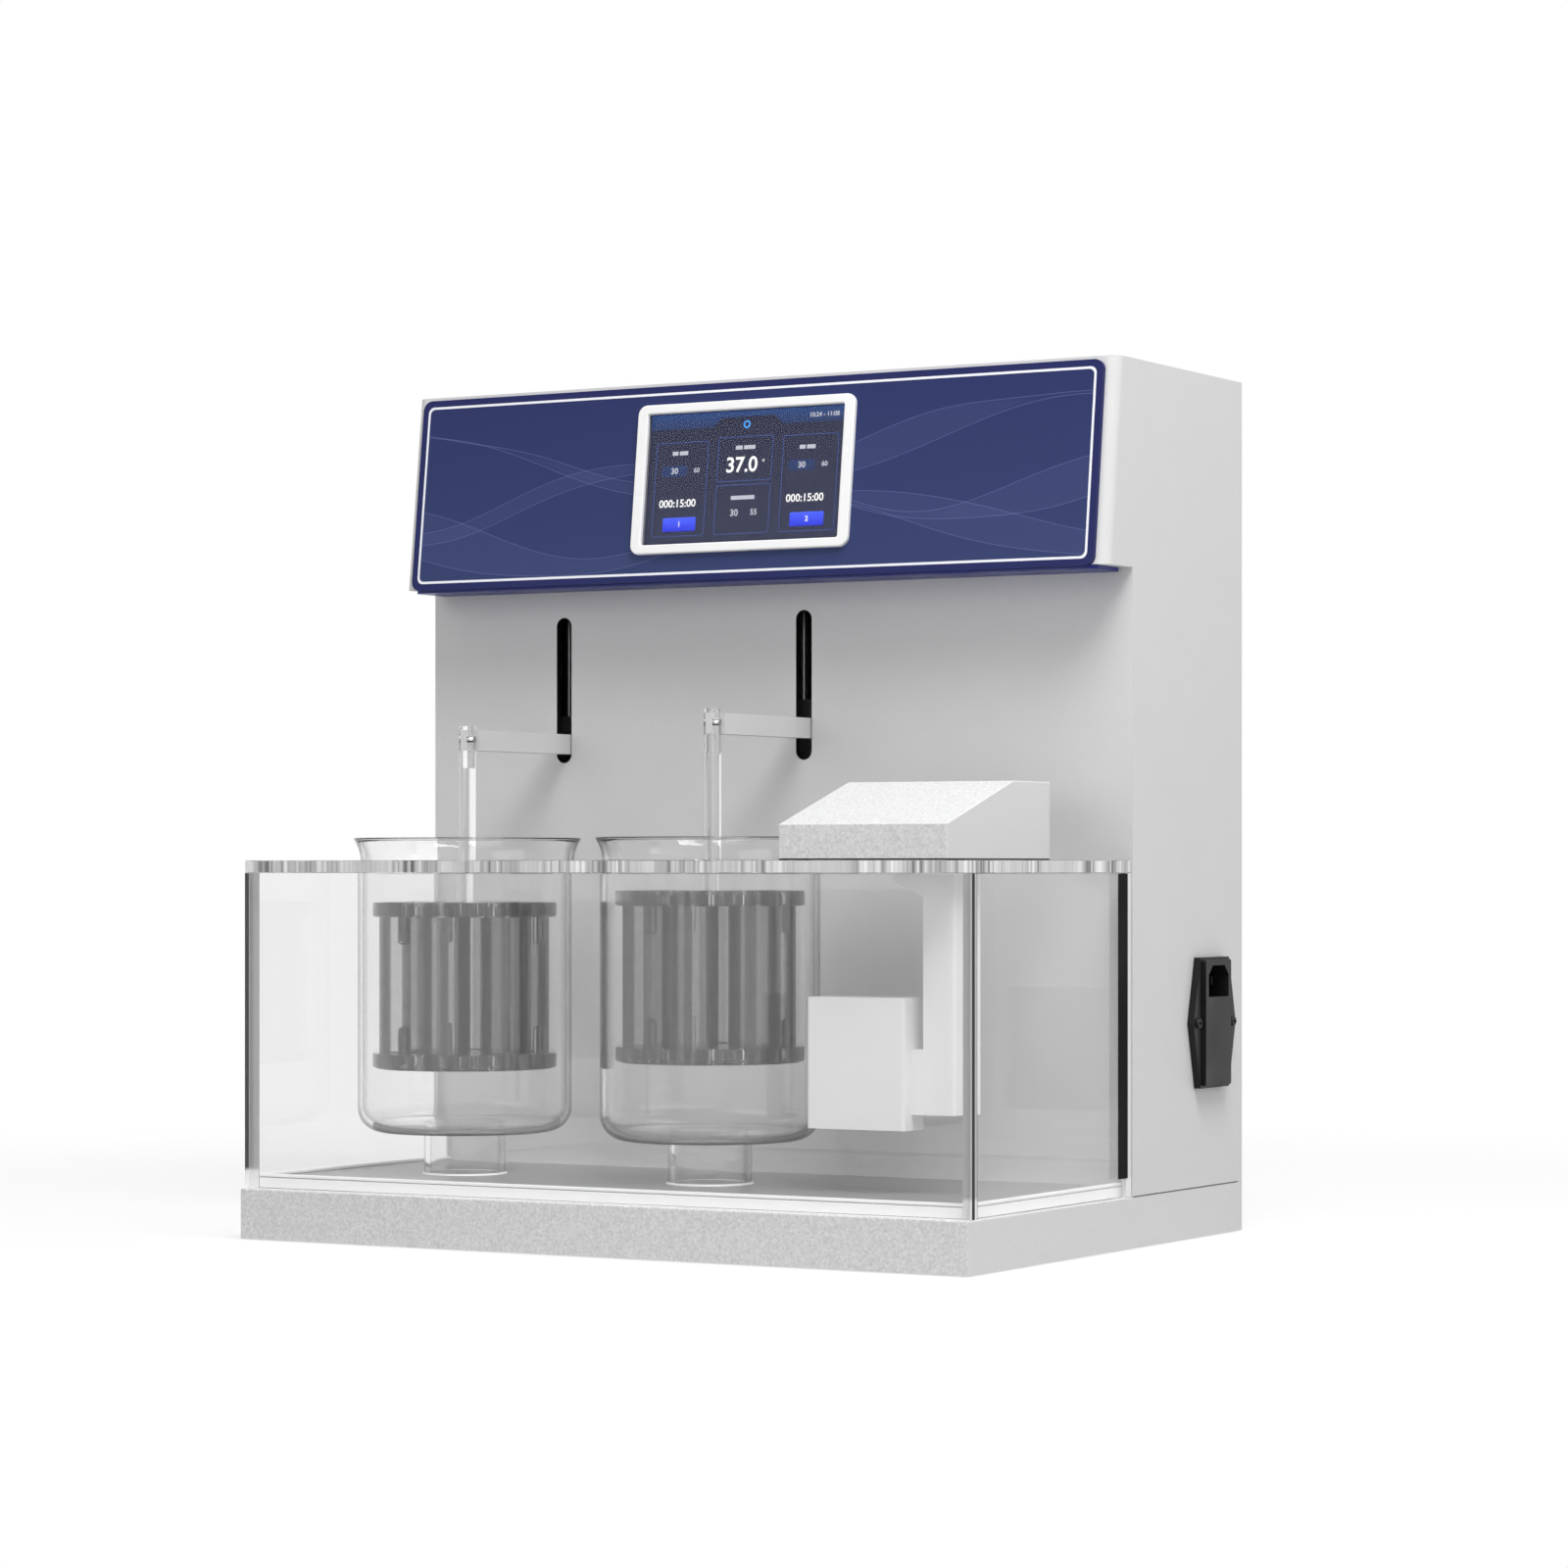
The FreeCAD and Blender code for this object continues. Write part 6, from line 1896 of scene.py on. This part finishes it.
    def middle(self) -> None:
        """Draw what the two middle frames and the top band show."""
        for start, end in ((0.445, 0.480), (0.487, 0.545)):
            self.tile("screen_notes", (start, 0.265, end, 0.295), 0.25)
            self.tile("screen_notes", (start - 0.01, 0.645, end + 0.01, 0.675), 0.25)
        self.figures("screen_figures", "37.0", 0.48, 0.415, 10.6)
        degree = self.spot(0.59, 0.385)
        outlines = [ring_outline(degree, 0.65, 24), ring_outline(degree, 0.38, 24)]
        self.keep("screen_figures", cut_sheet("degree", outlines, self.thick))
        self.figures("screen_notes", "30", 0.455, 0.775, 4.6)
        self.figures("screen_notes", "55", 0.555, 0.775, 4.0)
        self.figures("screen_notes", "10:24 - 11:08", 0.885, 0.062, 3.2)

    def band(self) -> None:
        """Draw the band along the top with a plain tab in its middle."""
        outline = [(0, 0), (1, 0), (1, 0.115), (0.68, 0.115), (0.635, 0.045), (0.365, 0.045)]
        outline += [(0.32, 0.115), (0, 0.115)]
        points = [self.spot(across, down) for across, down in reversed(outline)]
        self.keep("screen_band", cut_sheet("band", [points], self.thick))

    def icon(self) -> None:
        """Draw a plain ring."""
        middle = self.spot(0.495, 0.105)
        outlines = [ring_outline(middle, 2.0, 40), ring_outline(middle, 1.15, 40)]
        self.keep("screen_icon", cut_sheet("ring", outlines, self.thick))


@dataclass
class Bath(Assembly):
    """The acrylic bath with its lid and the rings that the beakers stand on."""

    half: float = 199.5
    wall: float = 6.0
    front: float = -143.0
    back: float = 20.0
    foot: float = 25.0
    floor: float = 30.5
    top: float = 178.3
    lid_thick: float = 6.0
    lid_corner: float = 0.8
    hole: float = 53.8
    stations: tuple[float, ...] = (-120.4, 20.5)
    station_y: float = -66.9
    well: tuple[float, ...] = (86.0, -92.0, 167.0, -53.0)
    well_corner: float = 1.5
    ring_inner: float = 17.0
    ring_outer: float = 20.0
    ring_height: float = 20.5
    ring_bead: float = 1.0
    bead_top: float = 32.0
    bead_wide: float = 3.0
    seal_front: float = 5.6
    seal_back: float = 15.6
    seal_foot: float = 34.2
    seal_proud: float = 0.25
    joint: float = 0.05
    edge: float = 0.3
    facing: float = 0.9
    upright: float = 0.3

    def pane(
        self,
        name: str,
        low: Sequence[float],
        high: Sequence[float],
        ends: dict[tuple[int, int], Finish],
    ) -> bpy.types.Object:
        """A pane with polished edges and bonded ends, the ends painted in light and shade.

        Args:
            name: The object's name.
            low: Lowest corner in millimetres.
            high: Highest corner in millimetres.
            ends: The finish of the face that points along (axis, sign).

        Returns:
            The pane.
        """
        made = wear(block(name, low, high, self.edge), ACRYLIC)
        for number, ((axis, sign), finish) in enumerate(ends.items(), 1):
            made.data.materials.append(finish.material())
            for face in made.data.polygons:
                if face.normal[axis] * sign > self.facing:
                    face.material_index = number
        return made

    def build(self) -> None:
        """Make panes, floor, lid and rings."""
        inner = self.half - self.wall
        top = self.top - self.joint
        foot = self.foot + self.joint
        front_in, back_in = self.front + self.wall, self.back - self.wall
        gap = self.joint
        ends: dict[tuple[int, int], Finish] = {(0, -1): FRONT_END_LEFT, (0, 1): FRONT_END_RIGHT}
        low, high = (-self.half, self.front, foot), (self.half, front_in - gap, top)
        pane = self.pane("bath_front_pane", low, high, ends)
        settle(pane, Rider.CASE, ["tank_front_pane"])
        low, high = (-self.half, back_in + gap, foot), (self.half, self.back, top)
        pane = self.pane("bath_back_pane", low, high, {(0, 1): BACK_END})
        settle(pane, Rider.CASE, ["tank_back_pane"])
        sides = []
        for x, back_end in ((-self.half, BACK_END), (inner, SIDE_END_BACK)):
            low, high = (x, front_in, foot), (x + self.wall, back_in, top)
            ends = {(1, -1): SIDE_END_FRONT, (1, 1): back_end}
            sides.append(self.pane("side_pane", low, high, ends))
        settle(joined("bath_side_panes", sides), Rider.CASE, ["tank_side_panes"])
        low = (-inner + gap, front_in + gap, self.foot + gap)
        high = (inner - gap, back_in - gap, self.floor)
        floor = wear(block("bath_floor", low, high, self.edge), FLOOR_GREY)
        # Painted light: the floor's sawn rim is plain white.
        self.edged(floor, EDGE_WHITE)
        settle(floor, Rider.CASE, ["tank_floor"])
        self.glue()
        self.seal()
        self.lid()
        self.rings()

    def glue(self) -> None:
        """Lay glue beads, painted plain white as painted light, along the panes' feet and round the
        rings' feet.
        """
        inner = self.half - self.wall - self.joint
        front = self.front + self.wall + self.joint
        back = self.back - self.wall - self.joint
        low, high = self.floor + self.joint, self.bead_top
        wide = self.bead_wide
        beads = [
            block("bead", (-inner, front, low), (inner, front + wide, high), self.edge),
            block("bead", (-inner, front + wide, low), (wide - inner, back, high), self.edge),
            block("bead", (inner - wide, front + wide, low), (inner, back, high), self.edge),
        ]
        for x in self.stations:
            low, high = self.ring_outer + self.joint, self.ring_outer + self.ring_bead
            profile = [(low, 0.05), (high, 0.05), (high - 0.3, 0.5), (low, 0.9)]
            foot = (x * MM, self.station_y * MM, self.floor * MM)
            beads.append(lathe("bead", profile, foot, 96))
        worn = [wear(bead, EDGE_WHITE) for bead in beads]
        settle(joined("bath_glue_beads", worn), Rider.CASE)

    def seal(self) -> None:
        """Run a flat strip of painted shade up the right side where the pane meets the housing."""
        low = (self.half, self.seal_front, self.seal_foot)
        high = (self.half + self.seal_proud, self.seal_back, self.top - self.edge)
        made = wear(block("bath_corner_seal", low, high, self.joint), CORNER_SHADE_BLACK)
        settle(made, Rider.CASE)

    def lid(self) -> None:
        """Cut the lid with its two beaker holes and the circulator's well."""
        outlines = [rounded(-self.half, self.front, self.half, self.back, self.lid_corner)]
        outlines += [ring_outline((x, self.station_y), self.hole, 160) for x in self.stations]
        left, low, right, high = self.well
        outlines.append(rounded(left, low, right, high, self.well_corner))
        lid = wear(cut_sheet("bath_lid", outlines, self.lid_thick, self.edge), LID_ACRYLIC)
        lid.data.transform(Matrix.Translation((0, 0, self.top * MM)))
        self.edged(lid, LID_RIM)
        settle(lid, Rider.LID, ["lid_plate"])

    def edged(self, sheet: bpy.types.Object, finish: Finish) -> None:
        """Give the upright faces along a sheet's outer edge a finish of their own.

        Args:
            sheet: The sheet.
            finish: What its rim is like.
        """
        sheet.data.materials.append(finish.material())
        low = [min(vert.co[axis] for vert in sheet.data.vertices) for axis in (0, 1)]
        high = [max(vert.co[axis] for vert in sheet.data.vertices) for axis in (0, 1)]
        for face in sheet.data.polygons:
            ends = [
                min(face.center[axis] - low[axis], high[axis] - face.center[axis]) for axis in (0, 1)
            ]
            if abs(face.normal.z) < self.upright and min(ends) < self.edge * MM:
                face.material_index = 1

    def rings(self) -> None:
        """Turn the two rings with slightly broken rims."""
        rings = []
        for x in self.stations:
            low, high, edge = self.ring_inner, self.ring_outer, self.edge
            profile = [(low, edge), (low + edge, self.joint), (high - edge, self.joint), (high, edge)]
            rim = [(high, -edge), (high - edge, 0.0), (low + edge, 0.0), (low, -edge)]
            profile += [(radius, self.ring_height + drop) for radius, drop in rim]
            foot = (x * MM, self.station_y * MM, self.floor * MM)
            rings.append(wear(lathe("ring", profile, foot, 96), RING_ACRYLIC))
        settle(smooth(joined("beaker_stand_rings", rings)), Rider.CASE, ["beaker_rings"])


@dataclass
class Beaker(Assembly):
    """A one-litre low-form beaker: round foot, straight wall and a flared rim."""

    side: Side
    x: float
    y: float = -66.9
    foot: float = 51.1
    radius: float = 52.5
    wall: float = 2.4
    floor: float = 2.8
    height: float = 144.2
    flare_height: float = 11.2
    flare: float = 3.5
    round_foot: float = 12.0
    clear: float = 0.05
    rim_drop: float = 0.4
    lip_drop: float = 0.6
    steps: int = 10

    def build(self) -> None:
        """Blow the beaker from one profile."""
        start = self.height - self.flare_height
        inner = self.radius - self.wall
        middle = (self.radius - self.round_foot, self.round_foot + self.clear)
        outside = [(0.0, self.clear)] + arc(middle, self.round_foot, 270, 360, 14)
        shares = [step / self.steps for step in range(self.steps + 1)]
        levels = [start + self.flare_height * share - self.rim_drop for share in shares]
        outside += [
            (self.radius + self.flare * share**2, level) for share, level in zip(shares, levels)
        ]
        rim = self.radius + self.flare
        lip = arc((rim - self.wall / 2, self.height - self.lip_drop), self.wall / 2, 10, 170)
        inside = [
            (inner + self.flare * share**2, level)
            for share, level in reversed(list(zip(shares, levels)))
        ]
        round_in = self.round_foot - self.wall
        inside += arc((inner - round_in, self.floor + round_in), round_in, 360, 270, 12)
        lip = [(r, min(z, self.height)) for r, z in lip]
        profile = outside + lip + inside + [(0.0, self.floor)]
        centre = (self.x * MM, self.y * MM, self.foot * MM)
        name = self.side.node("glass_beaker")
        made = wear(lathe(name, profile, centre, 160), BEAKER_GLASS)
        made = smooth(made, GLASS_ANGLE)
        settle(made, self.side.rider("cup"), [self.side.node("beaker")])


@dataclass
class Basket(Assembly):
    """A tube basket: six glass tubes between two plates, wire cloth below, rod and pin above."""

    side: Side
    x: float
    rise: float
    y: float = -66.9
    circle: float = 30.0
    radius: float = 12.2
    wall: float = 1.4
    tube_low: float = 84.65
    tube_high: float = 162.15
    start: float = math.radians(45)
    cloth_radius: float = 42.6
    cloth_level: float = 82.6
    cloth_pitch: float = 2.4
    wire: float = 0.28
    swing_share: float = 0.55
    count: int = 6

    def tubes(self) -> None:
        """Stand six fire-polished tubes in a ring."""
        outer, inner = self.radius, self.radius - self.wall
        lip = self.wall / 2
        low, high = self.tube_low + self.rise, self.tube_high + self.rise
        profile = arc((outer - lip, low + lip), lip, 270, 360, 4)
        profile += arc((outer - lip, high - lip), lip, 0, 180, 8)
        profile += arc((inner + lip, low + lip), lip, 180, 260, 4)
        tube = lathe("one_tube", profile, (0, 0, 0), 64)
        values = {
            "Piece": tube,
            "Count": self.count,
            "Radius": self.circle * MM,
            "Centre": (self.x * MM, self.y * MM, 0.0),
            "Start": (0.0, 0.0, self.start),
            "Finish": TUBE_GLASS.material(),
        }
        made = grow(self.side.node("test_tubes"), ring_tree(), values)
        bpy.data.objects.remove(tube)
        made = smooth(made, GLASS_ANGLE)
        settle(made, self.side.rider("basket"), [self.side.node("glass_tubes")])

    def cloth(self) -> None:
        """Weave the wire cloth that the tablets lie on."""
        values = {
            "Radius": self.cloth_radius * MM,
            "Pitch": self.cloth_pitch * MM,
            "Wire": self.wire * MM,
            "Swing": self.wire * self.swing_share * MM,
            "Centre": (self.x * MM, self.y * MM, (self.cloth_level + self.rise) * MM),
            "Finish": CLOTH_STEEL.material(),
        }
        made = grow(self.side.node("wire_cloth"), cloth_tree(), values)
        made = smooth(made, WIRE_ANGLE)
        settle(made, self.side.rider("basket"), [self.side.node("mesh_screen")])

    def build(self) -> None:
        """Make tubes and cloth, and dress plates, rod and pin."""
        self.tubes()
        self.cloth()
        dress(BASKET_PLASTIC, self.side.node("upper_plate"), self.side.node("lower_plate"))
        dress(ROD_PLASTIC, self.side.node("hanging_rod"))
        dress(STEEL, self.side.node("hook_pin"))


@dataclass
class LiftDrive(Assembly):
    """What moves one basket: arm, carriage and lead screw."""

    side: Side
    x: float
    y: float = 62.0
    foot: float = 148.3
    top: float = 324.0
    radius: float = 4.0
    core: float = 3.45
    pitch: float = 2.0
    journal: float = 25.0
    tip: float = 3.0
    chamfer: float = 0.4
    run_out: float = 4.0

    def build(self) -> None:
        """Cut the thread and dress the rest."""
        length = self.top - self.foot
        threaded = length - self.journal - self.tip
        foot = (self.x * MM, self.y * MM, self.foot * MM)
        shoulder, upper = self.radius - self.chamfer, length - self.tip
        ends = [(0, 0), (shoulder, 0), (self.radius, self.chamfer), (self.radius, self.journal + 0.5)]
        ends += [(self.core, self.journal + 1.5), (self.core, upper), (0, upper)]
        core = wear(lathe("core", ends, foot, 32), STEEL)
        ridge = self.radius - self.core
        values = {
            "Turns": (threaded - self.run_out) / self.pitch,
            "Radius": self.core * MM,
            "Length": (threaded - self.run_out) * MM,
            "Ridge": ridge * MM,
            "Foot": (foot[0], foot[1], foot[2] + (self.journal + self.run_out / 2 + 0.5) * MM),
            "Finish": STEEL.material(),
        }
        thread = grow("thread", thread_tree(), values)
        made = joined(self.side.node("threaded_screw"), [core, thread])
        settle(smooth(made), self.side.rider("screw"), [self.side.node("lead_screw")])
        dress(ARM_PAINT, self.side.node("arm"))
        dress(ALUMINIUM, self.side.node("carriage"))
        dress(BRONZE, self.side.node("bushes"), self.side.node("lead_nut"))


@dataclass
class Drives(Assembly):
    """The fixed parts of both drives."""

    def build(self) -> None:
        """Dress frames, motors, rods and bearings."""
        dress(FRAME_PAINT, "drive_frames", "drive_motors")
        dress(STEEL, "guide_rods")
        dress(BRONZE, "screw_bearings")


@dataclass
class Circulator(Assembly):
    """The heater and pump that stand on the lid."""

    def build(self) -> None:
        """Dress the circulator's nodes."""
        dress(GRAINED_WHITE, "circulator_head")
        dress(WHITE_ABS, "immersion_column", "pump_block", "pump_grille")
        dress(RUBBER, "circulator_gasket")
        dress(STEEL, "heater_rod")
        dress(ALUMINIUM, "pump_motor")
        dress(NYLON, "pump_impeller")


@dataclass
class Lamp:
    """One soft area lamp."""

    name: str
    place: tuple[float, float, float]
    target: tuple[float, float, float]
    width: float
    height: float
    watts: float

    def build(self) -> None:
        """Hang the lamp and point it."""
        data = bpy.data.lights.new(self.name, "AREA")
        data.shape = "RECTANGLE"
        data.size = self.width
        data.size_y = self.height
        data.energy = self.watts
        lamp = bpy.data.objects.new(self.name, data)
        lamp.location = self.place
        aim = Vector(self.target) - Vector(self.place)
        lamp.rotation_euler = aim.to_track_quat("-Z", "Y").to_euler()
        bpy.context.scene.collection.objects.link(lamp)


@dataclass
class Studio(Assembly):
    """The camera, the pale floor, the white surroundings and the lamps."""

    eye: tuple[float, float, float] = (1112.3, -1875.1, 181.3)
    yaw: float = math.radians(30.2)
    focal_px: float = 4523.0
    horizon_px: float = 884.3
    frame_px: float = 1600.0
    sensor: float = 36.0
    sky: float = 0.38
    near_reach: float = 0.5
    far_reach: float = 1.0
    floor_reach: float = 12.0
    shadow_share: float = 0.25
    floor_level: float = 0.55
    view_depth: float = 50.0
    bounces: int = 32
    glossy_bounces: int = 8
    diffuse_bounces: int = 5
    clear_bounces: int = 48
    lamps: tuple[Lamp, ...] = (
        Lamp("key_softbox", (0.75, -0.55, 1.7), (0.0, 0.0, 0.15), 0.9, 0.9, 28.0),
        Lamp("right_softbox", (1.8, 0.6, 0.8), (0.1, 0.0, 0.2), 1.0, 1.0, 3.2),
        Lamp("front_fill", (-0.7, -2.2, 0.8), (0.0, 0.0, 0.2), 1.6, 1.2, 8.0),
    )

    def camera(self) -> None:
        """Stand the camera where the photograph was taken from."""
        data = bpy.data.cameras.new("camera")
        data.sensor_width = self.sensor
        data.lens = self.focal_px / self.frame_px * self.sensor
        data.shift_y = (self.horizon_px - self.frame_px / 2) / self.frame_px
        data.clip_end = self.view_depth
        made = bpy.data.objects.new("camera", data)
        made.location = [c * MM for c in self.eye]
        made.rotation_euler = (math.pi / 2, 0.0, self.yaw)
        bpy.context.scene.collection.objects.link(made)
        bpy.context.scene.camera = made

    def surroundings(self) -> None:
        """Make the world white to the eye and plain grey to the lamps' side."""
        world = bpy.data.worlds.new("surroundings")
        world.use_nodes = True
        tree = world.node_tree
        tree.nodes.clear()
        lit = add_node(
            tree, "ShaderNodeBackground", inputs={"Color": linear(WHITE), "Strength": self.sky}
        )
        shown = add_node(tree, "ShaderNodeBackground", inputs={"Color": linear(WHITE), "Strength": 1.0})
        both = add_node(tree, "ShaderNodeMixShader", inputs={
            0: seen_directly(tree), 1: lit.outputs[0], 2: shown.outputs[0]
        })
        add_node(tree, "ShaderNodeOutputWorld", inputs={"Surface": both.outputs[0]})
        bpy.context.scene.world = world

    def floor(self) -> None:
        """Lay the pale floor, which keeps the tester's shadow and turns plain white further out."""
        mesh = bpy.data.meshes.new("floor")
        edge = self.floor_reach
        corners = [(-edge, -edge, 0), (edge, -edge, 0), (edge, edge, 0), (-edge, edge, 0)]
        mesh.from_pydata(corners, [], [(0, 1, 2, 3)])
        floor = mesh_object("floor", mesh)
        material = bpy.data.materials.new("pale_floor")
        material.use_nodes = True
        tree = material.node_tree
        tree.nodes.clear()
        share = self.shadow_share
        paint = add_node(tree, "ShaderNodeBsdfDiffuse", inputs={"Color": (share, share, share, 1.0)})
        glow = add_node(
            tree, "ShaderNodeEmission", inputs={"Color": linear(WHITE), "Strength": 1.0 - share}
        )
        near = add_node(tree, "ShaderNodeAddShader", inputs={0: paint.outputs[0], 1: glow.outputs[0]})
        white = add_node(tree, "ShaderNodeEmission", inputs={"Color": linear(WHITE), "Strength": 1.0})
        place = add_node(tree, "ShaderNodeTexCoord").outputs["Object"]
        far = add_node(tree, "ShaderNodeVectorMath", {"operation": "LENGTH"}, {0: place})
        away = add_node(tree, "ShaderNodeMapRange", {"interpolation_type": "SMOOTHSTEP"}, {
            "Value": far.outputs["Value"], "From Min": self.near_reach, "From Max": self.far_reach
        })
        bright = add_node(tree, "ShaderNodeMixShader", inputs={
            0: away.outputs[0], 1: near.outputs[0], 2: white.outputs[0]
        })
        level = self.floor_level
        pale = add_node(tree, "ShaderNodeBsdfDiffuse", inputs={"Color": (level, level, level, 1.0)})
        both = add_node(tree, "ShaderNodeMixShader", inputs={
            0: seen_directly(tree), 1: pale.outputs[0], 2: bright.outputs[0]
        })
        add_node(tree, "ShaderNodeOutputMaterial", inputs={"Surface": both.outputs[0]})
        floor.data.materials.append(material)

    def build(self) -> None:
        """Set up the studio."""
        self.camera()
        self.surroundings()
        self.floor()
        for lamp in self.lamps:
            lamp.build()
        scene = bpy.context.scene
        scene.view_settings.view_transform = "Standard"
        scene.cycles.max_bounces = self.bounces
        scene.cycles.transmission_bounces = self.bounces
        scene.cycles.glossy_bounces = self.glossy_bounces
        scene.cycles.diffuse_bounces = self.diffuse_bounces
        scene.cycles.transparent_max_bounces = self.clear_bounces


def main() -> None:
    """Build every sub-assembly in order."""
    logging.basicConfig(level=logging.INFO, format="%(name)s: %(message)s")
    stations = ((Side.LEFT, -120.4, 0.0), (Side.RIGHT, 20.5, 6.1))
    parts: list[Assembly] = [Studio(), Housing(), Fasteners(), ControlPanel(), Bath(), Drives()]
    for side, x, rise in stations:
        parts += [Beaker(side, x), Basket(side, x, rise), LiftDrive(side, x)]
    parts.append(Circulator())
    for part in parts:
        LOG.info("building %s", type(part).__name__)
        part.build()


if __name__ == "__main__":
    main()
